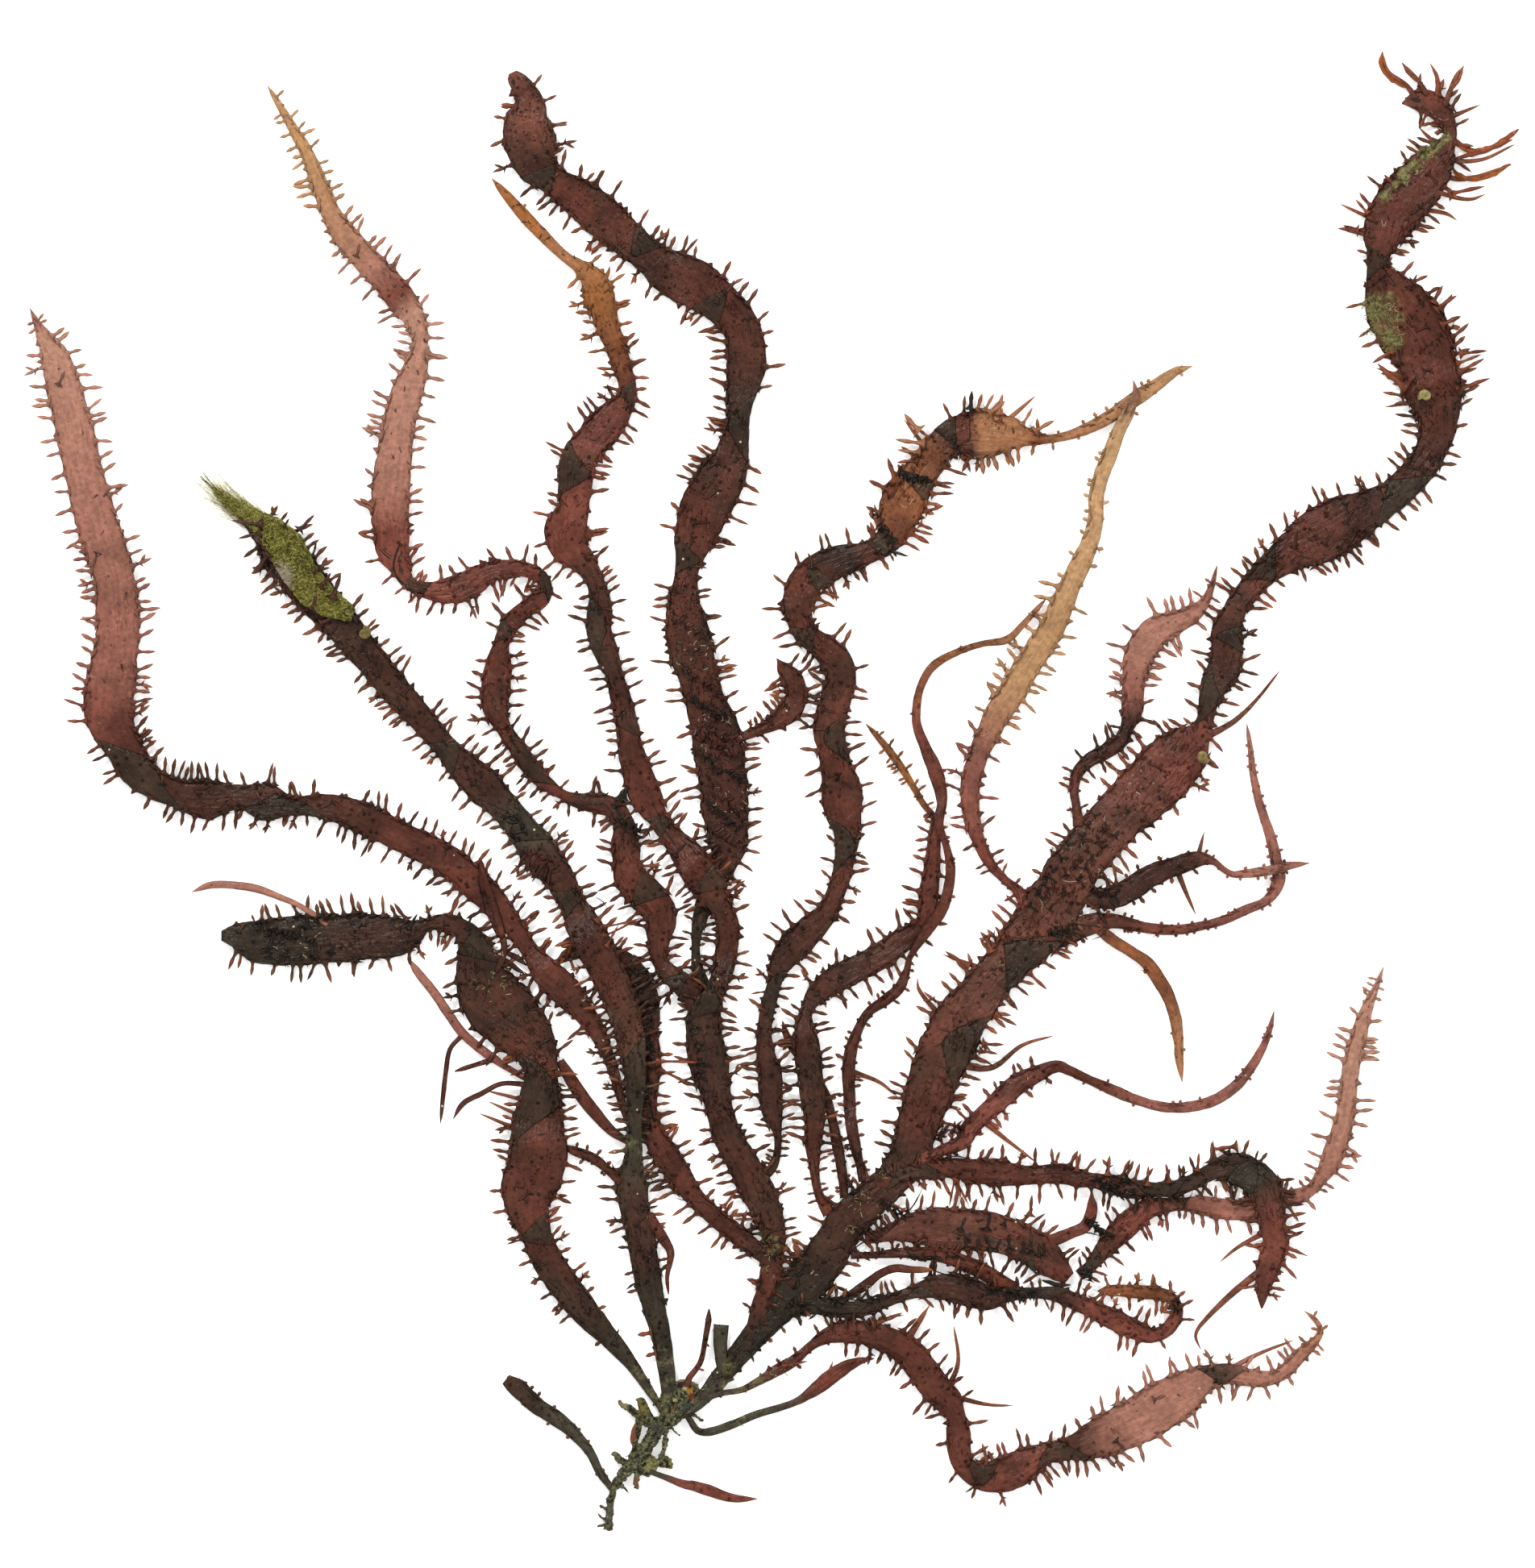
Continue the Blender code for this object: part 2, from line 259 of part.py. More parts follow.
        (33.0, 32.8, 1.6), (36.5, 34.2, 1.6), (39.3, 35.5, 2.2), (40.2, 37.3, 2.6), (42, 39, 2.6), (44.5, 41.3, 2.9),
        (47, 43.5, 3.0), (49.8, 45, 2.4), (52.5, 46, 1.7), (54.5, 45.3, 1.4), (57.5, 43.9, 1.3), (60.5, 42.6, 1.6),
        (64, 41.2, 1.4), (67.5, 40.3, 1.4), (71, 40.3, 1.5), (74.5, 41.2, 1.6), (77.5, 43.1, 1.6), (79.8, 45.9, 1.4),
        (81.6, 49, 1.1), (82.6, 52, .7), (83, 53.8, .4)], "right_tall_frond", 2.0,
        spurs=[(.9, (42.0, 38.4), (45, 36), (49.5, 32.6))]),
    "slim_frond_short": Blade([
        (22.6, 27.5, 1.2), (22.3, 31, 1.4), (21.6, 35, 1.6), (20.8, 39, 1.3), (19.8, 42.5, 1.2), (17, 46.5, 1.2),
        (15.4, 48.7, 1.4), (14.4, 50.6, 1.0), (13.9, 52.4, .6)], "right_tall_frond", 1.6),
    "slim_frond_long": Blade([
        (20.5, 25.3, 2.0), (19, 28, 1.3), (18.5, 30.5, 1.3), (18.3, 33, 1.7), (18.2, 35.5, 2.5), (18.4, 39, 3.0),
        (18, 43, 3.6), (17.5, 47, 3.7), (17.2, 49.8, 3.6), (17, 52, 2.6), (17.4, 54, 1.9), (18.8, 56.3, 3.0),
        (21, 58, 3.7), (24.5, 59.8, 3.8), (28, 61.8, 3.7), (31, 63.9, 3.3), (33.2, 65.6, 2.4), (34.1, 67.6, 2.2),
        (34.4, 70, 2.8), (34.8, 73, 2.4), (35.1, 76, 2.1), (35.3, 79, 1.6), (35.2, 81, 1.0), (33.8, 82.8, .9),
        (32.6, 84.8, .9), (31, 87.5, 1.1), (29, 90.3, 1.1), (27, 92.7, .8), (25.6, 94.2, .4)],
        on="right_tall_frond"),
    "slim_frond_bent": Blade([
        (25.2, 29.8, 1.2), (24.8, 32, 1.2), (24.1, 35, 1.6), (23.5, 38.5, 1.7), (23.3, 42, 1.7), (23.2, 45.5, 1.9),
        (23.6, 48.5, 1.8), (24.6, 51.3, 1.4), (26, 53.6, 1.3), (28.3, 55.3, 1.6), (30.3, 57, 1.6), (31.3, 59.3, 1.1),
        (31.8, 61.3, .9), (33, 63.3, 1.2), (34.5, 65.5, 1.6), (36.2, 68, 1.7), (37.2, 71, 1.5), (37.5, 74, 1.4),
        (36.9, 77, 1.0), (36, 79.5, 1.2), (35.9, 81, 1.4), (36.3, 83, 1.5), (36, 85.5, 1.9), (35.2, 88, 2.1),
        (33.9, 91, 1.6), (32.8, 94, 1.3), (32.8, 97, 1.2), (33.5, 99.8, 1.1), (35.2, 102.4, 1.2), (38.5, 104.3, 1.0),
        (42, 105.4, .9), (45.4, 106, 1.1), (47.5, 107.9, .9), (49.4, 110, .8), (51, 111.8, .4)],
        "right_tall_frond", 1.8, spurs=[(.8, (23.6, 45.3), (27.5, 43.8), (30.0, 41.8))]),
    "curled_frond": Blade([
        (10.4, 30.2, 2.0), (12.4, 31.6, 1.3), (13.2, 34, 1.1), (13.2, 36.5, 1.2), (12.7, 38.6, 2.4), (12.2, 41, 3.2),
        (12.2, 44.5, 3.4), (11.6, 47.5, 2.8), (11.3, 50, 2.2), (11.5, 52.5, 2.0), (12, 55, 2.2), (12.7, 57.5, 2.0),
        (13.4, 60, 3.0), (15.2, 62.6, 4.4), (17.4, 64.9, 4.2), (19.6, 67, 3.4), (21.1, 69.6, 2.7), (22.1, 72.5, 2.7),
        (22.7, 75.5, 3.0), (23, 79, 3.8), (22.5, 82, 5.2), (22.2, 85, 5.8), (21.5, 88, 4.4), (20.8, 91, 4.2),
        (20.4, 94, 4.5), (21.2, 97, 4.4), (22, 100, 4.4), (21.6, 102.8, 4.4), (19.8, 104.8, 3.8), (17.6, 106.5, 3.4),
        (16.4, 108.6, 3.6), (16.1, 111, 4.6), (17.1, 113.7, 5.2), (19.1, 115.7, 4.8), (22, 117.1, 4.6),
        (25.2, 118, 3.4), (27.8, 119.2, 3.4), (29.5, 121.2, 4.6), (30.3, 123.7, 6.0), (31.2, 126.2, 6.4),
        (32.8, 128.6, 5.2), (34.4, 130.8, 4.6), (35.8, 132.9, 4.8), (37.8, 134.4, 4.8), (40.3, 135, 6.6),
        (43, 135, 6.6), (46, 134.9, 4.8), (48.6, 134.4, 2.4), (51.2, 134.2, 1.3), (54, 134.7, 1.3), (57, 135.8, 1.7),
        (60, 137.4, 1.9), (63, 139.5, 2.1), (66, 141.5, 1.9), (69, 143.6, 1.3), (71.6, 144.5, .4)],
        on="middle_frond",
        spurs=[(.9, (45.0, 136.4), (49.5, 140.3)), (.7, (42.6, 137.2), (45, 140.2)),
               (.7, (40.4, 137.4), (40.5, 141)), (.7, (34.2, 132.8), (31, 137.0))]),
    "pale_frond": Blade([
        (48.5, 68.5, 2.5), (46.9, 70.8, 1.5), (45.2, 72.2, 1.2), (43.6, 73.9, 1.4), (42.5, 75.5, 1.7), (41.4, 78, 1.9),
        (40.6, 80.5, 2.3), (40.3, 83, 2.6), (40.4, 86, 2.8), (41.5, 90, 2.9), (42.9, 93, 3.3), (44.4, 96, 3.7),
        (46.5, 99, 3.9), (48.1, 102, 3.7), (50.1, 105, 3.8), (52, 108, 3.6), (53.2, 111, 3.4), (54.5, 114, 3.1),
        (56, 117, 2.9), (57.2, 120, 2.4), (57.9, 123, 2.2), (58, 126, 2.1), (58.7, 129, 2.2), (59.9, 132, 2.2),
        (61, 135, 2.0), (62.5, 138, 1.7), (63.5, 140.5, 1.0), (63.2, 142.5, .4)], on="right_tall_frond"),
    "pink_branch": Blade([
        (55.6, 79.8, 1.8), (55.2, 82.5, 1.3), (54.9, 85, 1.4), (55.4, 87.3, 1.8), (57, 89, 2.0), (59.2, 90.2, 2.2),
        (61.4, 91.8, 2.2), (62.4, 93.8, 2.0), (63, 95.8, 3.0), (63.2, 98, 3.1), (63.3, 100.5, 3.4),
        (63.9, 103.3, 4.2), (65, 105.5, 4.5), (66.8, 107.4, 4.2), (69.6, 108.6, 3.2), (71.6, 109.7, 2.6),
        (73.2, 111.2, 1.6), (74.2, 113.4, .9), (75.0, 116.4, .5)], on="right_tall_frond"),
    "falling_branch": Blade([
        (49, 62.6, 2.0), (51, 63.6, 3.0), (54.5, 65, 3.4), (58, 66.2, 2.8), (61, 66.4, 2.0), (65, 65.5, 1.6),
        (69, 65.2, 1.5), (72.5, 65.7, 1.3), (76, 66.6, 1.3), (79, 68, 1.4), (81.5, 69, 1.3), (83, 70.5, 1.6),
        (83.7, 72.5, 1.9), (83.3, 75, 1.7), (82.6, 78, 1.5), (81.6, 81, 1.3), (80.7, 84, 1.2), (80, 87.5, 1.0),
        (79.7, 90.5, .8), (79.2, 94.2, .4)], "right_tall_frond", 2.0),
    "hooked_branch": Blade([
        (57.6, 66.0, 1.6), (60.2, 63.9, 1.6), (62.8, 62.2, 1.6), (65, 60.7, 1.8), (66.8, 58.3, 2.0), (68.3, 55.5, 1.8),
        (69.2, 52.5, 1.7), (69.6, 49.5, 1.4), (69.7, 47, 1.2), (70.1, 43.8, .4)], "falling_branch", 1.8),
    "arched_branch": Blade([
        (56.6, 69.6, 2.5), (60.2, 69.8, 3.2), (63, 71, 3.4), (65.5, 72.7, 3.2), (68.5, 73.9, 2.8), (71, 74.8, 2.6),
        (72.9, 75.2, 2.0), (74.6, 74.8, 1.0), (75.8, 73.8, .9), (77.2, 73.0, .9), (79, 73.1, 1.2), (82, 73.5, 1.4),
        (85, 74.2, 1.2), (88, 74.6, .4)], on="right_tall_frond",
        spurs=[(.7, (72.4, 75.8), (73.2, 79)), (.9, (69.4, 73.6), (70.7, 70.3), (72.0, 67.4))]),
    "low_left_blade": Blade([
        (-10.0, -13.6, .9), (-11.8, -11, 1.2), (-13, -8.5, 1.3), (-15, -6, 1.7), (-17.5, -3.8, 2.2),
        (-20.5, -1.8, 2.4), (-23.2, .6, 2.6), (-25, 2, 1.6)], "stipe", 1.0),
    "low_red_blade": Blade([
        (-6.2, -10.4, .8), (-3.5, -11.4, .8), (0, -12.7, 1.2), (1.5, -13, 1.5), (3.5, -13.6, 1.6), (7, -14.7, 1.2),
        (10.4, -14.8, .4)], "stipe", 0.0),
    "low_folded_blade": Blade([
        (.6, -3.2, .9), (2, -5.2, 1.0), (4, -5.3, 1.2), (7, -4.3, 1.2), (10, -3, 1.1), (14, -1.8, 1.0),
        (16.5, -.8, 1.2), (19, 1, 2.0), (20.5, 2.2, 2.2), (23, 3.8, 1.8), (25, 4.6, 1.0), (26.8, 4.9, .4)],
        "stipe", 0.0, spurs=[(.7, (20.4, 2.6), (21, 4.6))]),
    "crown_blade": Blade([
        (.9, 2.4, .9), (2.4, 4.5, .8), (3.1, 8, .8), (3.5, 10.2, .9), (3.6, 12, .7)], "stipe", 0.0),
    "green_tuft": Blade([
        (-46.4, 109.4, 2.0), (-48.6, 110.4, 3.6), (-51.6, 112.4, 4.8), (-54, 115.4, 5.0), (-55.6, 118.6, 5.6),
        (-57.6, 121, 4.4), (-60.4, 123, 2.9), (-63.2, 124.9, 2.1), (-65.8, 126.9, 1.4), (-68, 129, .5)], None, 0.0,
        spurs=[(.7, (-62.4, 124.4), (-65.2, 127.6), (-66.6, 130.9)), (.6, (-61.5, 123.4), (-65.4, 123.6)),
               (.6, (-59.2, 122.6), (-60.4, 124.4), (-62.6, 126.2))]),
}

# Each node: its main blade, the side blades fused to it, and its colour
NODES = [
    ("right_tall_frond", ["cut_stump"], (0.085, 0.030, 0.026)),
    ("bumpy_frond", ["bumpy_side_blade"], (0.078, 0.030, 0.026)),
    ("middle_frond", [], (0.085, 0.032, 0.024)),
    ("crossing_frond", [], (0.060, 0.028, 0.025)),
    ("left_tall_frond", ["left_pouch", "left_small_blade", "left_under_blade"], (0.070, 0.028, 0.025)),
    ("far_left_frond", [], (0.170, 0.060, 0.055)),
    ("left_blunt_frond", ["thin_side_blade", "thin_fork_upper", "thin_fork_lower", "thin_low_blade",
                          "pale_side_blade", "narrow_dark_blade"], (0.065, 0.026, 0.024)),
    ("upper_left_frond", [], (0.200, 0.080, 0.065)),
    ("wide_red_blade", ["red_up_blade"], (0.130, 0.034, 0.022)),
    ("upper_slim_blade", [], (0.070, 0.028, 0.025)),
    ("lowest_frond", [], (0.240, 0.090, 0.055)),
    ("looped_frond", ["lower_slim_blade"], (0.060, 0.028, 0.025)),
    ("pale_tip_frond", [], (0.190, 0.075, 0.060)),
    ("bent_down_frond", [], (0.085, 0.030, 0.026)),
    ("rising_branch", [], (0.120, 0.032, 0.030)),
    ("slim_frond_short", [], (0.060, 0.028, 0.025)),
    ("slim_frond_long", [], (0.090, 0.032, 0.026)),
    ("slim_frond_bent", [], (0.090, 0.032, 0.026)),
    ("curled_frond", [], (0.120, 0.045, 0.028)),
    ("pale_frond", [], (0.300, 0.150, 0.085)),
    ("pink_branch", [], (0.180, 0.060, 0.050)),
    ("falling_branch", [], (0.180, 0.060, 0.050)),
    ("hooked_branch", [], (0.280, 0.110, 0.055)),
    ("arched_branch", [], (0.180, 0.060, 0.050)),
    ("low_left_blade", [], (0.050, 0.030, 0.030)),
    ("low_red_blade", [], (0.140, 0.034, 0.022)),
    ("low_folded_blade", [], (0.120, 0.034, 0.024)),
    ("crown_blade", [], (0.110, 0.034, 0.024)),
    ("green_tuft", [], (0.180, 0.190, 0.040)),
]
STIPE_COLOUR = (0.055, 0.050, 0.038)
SHELL_COLOUR = (0.280, 0.210, 0.150)
SHELLS = [("snail_shell_right", 104.2, 140.2), ("snail_shell_middle", 73.0, 89.6),
          ("snail_shell_left", -44.9, 106.9)]


def smooth_curve(points):
    """A smooth curve through hand-placed rows of values, read off every FINE_STEP of its length in x and y."""
    rows = np.array(points, float)
    ends = np.vstack([2 * rows[0] - rows[1], rows, 2 * rows[-1] - rows[-2]])
    dense = []
    for before, start, end, after in zip(ends, ends[1:], ends[2:], ends[3:]):
        for t in np.linspace(0.0, 1.0, 12, endpoint=False):
            dense.append(0.5 * (2 * start + (end - before) * t
                                + (2 * before - 5 * start + 4 * end - after) * t ** 2
                                + (3 * start - 3 * end + after - before) * t ** 3))
    dense = np.array(dense + [rows[-1]])
    steps = np.hypot(np.diff(dense[:, 0]), np.diff(dense[:, 1]))
    length = np.concatenate([[0.0], np.cumsum(steps)])
    count = max(3, int(round(length[-1] / FINE_STEP)) + 1)
    at = np.linspace(0.0, length[-1], count)
    return at, np.column_stack([np.interp(at, length, column) for column in dense.T])


class Strip:
    """A blade laid down: its fine centre line, half widths, margins and heights."""

    def __init__(self, name, points, thickness):
        self.name = name
        self.thickness = thickness
        self.at, curve = smooth_curve([point[:3] for point in points])
        self.centre = curve[:, :2]
        self.half = np.maximum(curve[:, 2], 0.3) / 2
        self.folds = [point[3] if len(point) > 3 else None for point in points]
        self.route = np.array([point[:2] for point in points], float)
        tangent = np.gradient(self.centre, axis=0)
        tangent /= np.linalg.norm(tangent, axis=1)[:, None]
        self.tangent = tangent
        self.normal = np.column_stack([-tangent[:, 1], tangent[:, 0]])
        self.height = np.full(len(self.at), FLOOR_GAP + thickness / 2)
        self.start = 0
        self.discs = []

    def margin(self, side):
        sign = 1.0 if side == L else -1.0
        return self.centre + self.normal * (sign * self.half)[:, None]

    def section(self, i, spare=0.0):
        reach = self.half[i] + spare
        count = max(2, int(math.ceil(2 * reach / 0.4)))
        return [self.centre[i] + self.normal[i] * (-reach + 2 * reach * k / count) for k in range(count + 1)]

    def clearance(self, point):
        """Distance in plan from a point to the edge of this strip, or to the round lumps on it."""
        away = (np.hypot(*(self.centre - point).T) - self.half).min()
        return min([away] + [math.hypot(point[0] - x, point[1] - y) - radius for x, y, radius in self.discs])

    def height_near(self, point):
        return self.height[np.hypot(*(self.centre - point).T).argmin()]

    def fold_at(self, i):
        return self.folds[np.hypot(*(self.route - self.centre[i]).T).argmin()]


class Layers:
    """Square cells that know which heights are taken, and by what."""

    def __init__(self):
        self.cells = {}

    def key(self, point):
        return (int(math.floor(point[0] / CELL)), int(math.floor(point[1] / CELL)))

    def cover(self, owner, point, low, high):
        spans = self.cells.setdefault(self.key(point), {})
        old = spans.get(owner, (low, high))
        spans[owner] = (min(low, old[0]), max(high, old[1]))

    def top(self, point, ignore):
        spans = self.cells.get(self.key(point), {})
        return max([high for owner, (low, high) in spans.items() if owner not in ignore], default=0.0)

    def taken(self, point, low, high, ignore):
        spans = self.cells.get(self.key(point), {})
        return any(low < top and high > bottom for owner, (bottom, top) in spans.items() if owner not in ignore)


def foot_share(point):
    """1 on a spot where the plant touches the surface, falling to 0 a few millimetres away."""
    away = min(math.hypot(point[0] - x, point[1] - y) for x, y in FEET)
    return min(1.0, max(0.0, 1.0 - (away - FOOT_RADIUS) / FOOT_FADE))


def limit_slope(heights, slope):
    """Raise heights until no step between neighbours is steeper than slope."""
    for order in (range(1, len(heights)), range(len(heights) - 2, -1, -1)):
        for i in order:
            near = i - 1 if order.step == 1 else i + 1
            heights[i] = max(heights[i], heights[near] - slope * FINE_STEP)
    return heights


def lay(strip, layers, parent=None, fused=False):
    """Lay a strip over everything that is down already, with its root at its parent's height."""
    half_thick = strip.thickness / 2
    if parent is not None and not fused:
        inside = [i for i in range(len(strip.at))
                  if min(parent.clearance(point) for point in strip.section(i)) < SIDE_GAP]
        near_root = [i for i in inside if strip.at[i] < 14.0]
        strip.start = max(near_root) + 1 if near_root else 0
    root_height = parent.height_near(strip.centre[strip.start]) if parent is not None else None
    phase = random.uniform(0.0, 2 * math.pi)
    needed = np.zeros(len(strip.at))
    for i, point in enumerate(strip.centre):
        lift = 1.0 - foot_share(point)
        wave = WAVE_HEIGHT * (0.5 - 0.5 * math.cos(2 * math.pi * strip.at[i] / WAVE_LENGTH + phase))
        ignore = {strip.name}
        if parent is not None and strip.at[i] - strip.at[strip.start] < ROOT_REACH + 2.0:
            ignore.add(parent.name)
        below = max(layers.top(p, ignore) for p in strip.section(i, SIDE_GAP))
        rest = FLOOR_GAP * lift + wave * lift
        needed[i] = half_thick + (max(rest, below + LAYER_GAP) if below > 0 else rest)
    strip.height = limit_slope(needed, CLIMB)
    if root_height is not None:
        from_root = strip.at - strip.at[strip.start]
        share = np.clip(1.0 - from_root / ROOT_REACH, 0.0, 1.0)
        strip.height = strip.height + (root_height - strip.height[strip.start]) * share
    for i in range(strip.start, len(strip.at)):
        for point in strip.section(i):
            layers.cover(strip.name, point, strip.height[i] - half_thick, strip.height[i] + half_thick)


def stations(strip):
    """The few samples whose straight connections stay close to the strip's margins and heights."""
    left, right = strip.margin(L), strip.margin(R)

    def split(first, last):
        if last - first < 2:
            return []
        inner = np.arange(first + 1, last)
        share = ((inner - first) / (last - first))[:, None]
        error = np.maximum(np.hypot(*(left[inner] - left[first] * (1 - share) - left[last] * share).T),
                           np.hypot(*(right[inner] - right[first] * (1 - share) - right[last] * share).T))
        rise = np.abs(strip.height[inner] - strip.height[first] * (1 - share[:, 0])
                      - strip.height[last] * share[:, 0])
        badness = np.maximum(error / PLAN_TOLERANCE, rise / HEIGHT_TOLERANCE)
        worst = int(badness.argmax())
        if badness[worst] < 1.0:
            return []
        middle = int(inner[worst])
        return split(first, middle) + [middle] + split(middle, last)

    last = len(strip.at) - 1
    chosen = [strip.start] + split(strip.start, last) + [last]
    kept = [chosen[0]]
    for i in chosen[1:]:
        forward = min((left[i] - left[kept[-1]]) @ strip.tangent[i], (right[i] - right[kept[-1]]) @ strip.tangent[i])
        if forward > 0.15 or i == last:
            kept.append(i)
    return kept


def spine_places(strip, kept, side, pitch):
    """Sample pairs (first, second) on one margin that serve as spine roots, clear of the kept stations."""
    width = int(round(SPINE_ROOT / FINE_STEP))
    places = []
    at = kept[0] + int(random.uniform(3.0, 5.0) / FINE_STEP)
    while at < kept[-1] - 2 * width:
        near = min(kept, key=lambda k: abs(k - at))
        first = near if abs(near - at) <= 2 else at
        if not any(first < k < first + width for k in kept):
            places.append((first, first + width))
        at = max(at, first) + max(width + 1, int(pitch * random.uniform(0.75, 1.25) / FINE_STEP))
    return places


def spine_tip(strip, pair, side, length, layers):
    """The tip of one spine as (x, y, z), or None where it would touch something else."""
    margin = strip.margin(side)
    base = (margin[pair[0]] + margin[pair[1]]) / 2
    middle = (pair[0] + pair[1]) // 2
    outward = strip.normal[middle] * (1.0 if side == L else -1.0)
    lean = math.radians(random.uniform(*SPINE_LEAN))
    direction = outward * math.cos(lean) + strip.tangent[middle] * math.sin(lean)
    across = np.array([-direction[1], direction[0]])
    length *= random.uniform(0.8, 1.2)
    tip = base + direction * length
    z = strip.height[middle]
    half_thick = strip.thickness / 2
    for rise in SPINE_RISES:
        free = True
        for share in (0.15, 0.35, 0.5, 0.65, 0.8, 0.95, 1.08):
            at = z + rise * share
            reach = half_thick * (1.15 - share) + 0.28
            ignore = {strip.name} if share < 0.3 else set()
            for offset in (-0.45, 0.0, 0.45):
                spot = base + direction * (length * share) + across * (offset * (1.3 - share))
                if layers.taken(spot, at - reach, at + reach, ignore):
                    free = False
        if free:
            for share in np.linspace(0.2, 1.0, 6):
                at = z + rise * share
                for offset in (-0.3, 0.0, 0.3):
                    spot = base + direction * (length * share) + across * (offset * (1.2 - share))
                    layers.cover(strip.name + "_spines", spot, at - half_thick, at + half_thick)
            return (*tip, z + rise)
    return None


def strap_mesh(strip, spine, layers):
    """Vertices and triangles of a strap: both faces split alike, and each spine a four-sided point that grows
    out of the margin's own face."""
    kept = stations(strip)
    half_thick = strip.thickness / 2
    heights = np.interp(np.arange(len(strip.at)), kept, strip.height[kept])
    chains = {}
    for side in (L, R):
        tips = {}
        if spine > 0.0:
            for pair in spine_places(strip, kept, side, SPINE_PITCH):
                slim = min(1.0, max(0.5, strip.half[pair[0]] / 1.1))
                if strip.fold_at(pair[0]) == side:
                    continue
                tip = spine_tip(strip, pair, side, spine * slim, layers)
                if tip is not None:
                    tips[pair] = tip
        samples = sorted(set(kept) | {i for pair in tips for i in pair})
        chains[side] = (samples, tips)
    vertices, faces = [], []
    index = {}
    for side in (L, R):
        margin = strip.margin(side)
        for i in chains[side][0]:
            for level, sign in (("top", 1), ("bottom", -1)):
                index[side, i, level] = len(vertices)
                vertices.append((margin[i][0], margin[i][1], heights[i] + sign * half_thick))
    left, right = chains[L][0], chains[R][0]
    a, b = 0, 0
    while a < len(left) - 1 or b < len(right) - 1:
        next_left = left[a + 1] if a < len(left) - 1 else math.inf
        next_right = right[b + 1] if b < len(right) - 1 else math.inf
        corner = ((L, left[a]), (R, right[b]))
        if next_left <= next_right:
            corner += ((L, left[a + 1]),)
            a += 1
        else:
            corner += ((R, right[b + 1]),)
            b += 1
        faces.append([index[side, i, "top"] for side, i in corner])
        faces.append([index[side, i, "bottom"] for side, i in reversed(corner)])
    for side in (L, R):
        samples, tips = chains[side]
        flip = side == R
        for first, second in zip(samples, samples[1:]):
            ring = [index[side, first, "top"], index[side, second, "top"],
                    index[side, second, "bottom"], index[side, first, "bottom"]]
            if (first, second) in tips:
                tip = len(vertices)
                vertices.append(tips[first, second])
                new = [[ring[k], ring[(k + 1) % 4], tip] for k in range(4)]
            else:
                new = [[ring[0], ring[1], ring[2]], [ring[0], ring[2], ring[3]]]
            faces += [face[::-1] for face in new] if flip else new
    for end, flip in ((0, False), (-1, True)):
        ring = [index[L, left[end], "top"], index[L, left[end], "bottom"],
                index[R, right[end], "bottom"], index[R, right[end], "top"]]
        new = [[ring[0], ring[1], ring[2]], [ring[0], ring[2], ring[3]]]
        faces += [face[::-1] for face in new] if flip else new
    return vertices, faces


def tube_mesh(points, radii, sides=8):
    """A closed round tube through points, with a flat end at each side."""
    points = np.array(points, float)
    tangent = np.gradient(points, axis=0)
    tangent /= np.linalg.norm(tangent, axis=1)[:, None]
    vertices, faces = [], []
    for point, along, radius in zip(points, tangent, radii):
        aside = np.cross((0.0, 0.0, 1.0), along)
        aside /= np.linalg.norm(aside)
        up = np.cross(along, aside)
        for k in range(sides):
            turn = 2 * math.pi * k / sides
            vertices.append(tuple(point + radius * (aside * math.cos(turn) + up * math.sin(turn))))
    for ring in range(len(points) - 1):
        for k in range(sides):
            a, b = ring * sides + k, ring * sides + (k + 1) % sides
            faces.append([a, b, b + sides])
            faces.append([a, b + sides, a + sides])
    faces.append([k for k in range(sides)][::-1])
    faces.append([(len(points) - 1) * sides + k for k in range(sides)])
    return vertices, faces


def turned_mesh(centre, profile, sides):
    """A solid of revolution about a vertical line; profile is (radius, height) from the bottom up."""
    vertices, faces = [], []
    for radius, height in profile:
        for k in range(sides):
            turn = 2 * math.pi * k / sides
            vertices.append((centre[0] + radius * math.cos(turn), centre[1] + radius * math.sin(turn), height))
    for ring in range(len(profile) - 1):
        for k in range(sides):
            a, b = ring * sides + k, ring * sides + (k + 1) % sides
            faces.append([a, b, b + sides, a + sides])
    faces.append([k for k in range(sides)][::-1])
    faces.append([(len(profile) - 1) * sides + k for k in range(sides)])
    return vertices, faces


def material(name, colour):
    made = bpy.data.materials.new(name)
    made.use_nodes = True
    shader = made.node_tree.nodes["Principled BSDF"]
    shader.inputs["Base Color"].default_value = (*colour, 1.0)
    shader.inputs["Roughness"].default_value = 0.45
    shader.inputs["Metallic"].default_value = 0.0
    return made


def add_object(name, vertices, faces, finish):
    mesh = bpy.data.meshes.new(name)
    mesh.from_pydata([tuple(c * MM for c in vertex) for vertex in vertices], [], faces)
    body = bmesh.new()
    body.from_mesh(mesh)
    bmesh.ops.recalc_face_normals(body, faces=body.faces)
    body.to_mesh(mesh)
    body.free()
    mesh.materials.append(finish)
    made = bpy.data.objects.new(name, mesh)
    bpy.context.scene.collection.objects.link(made)
    return made


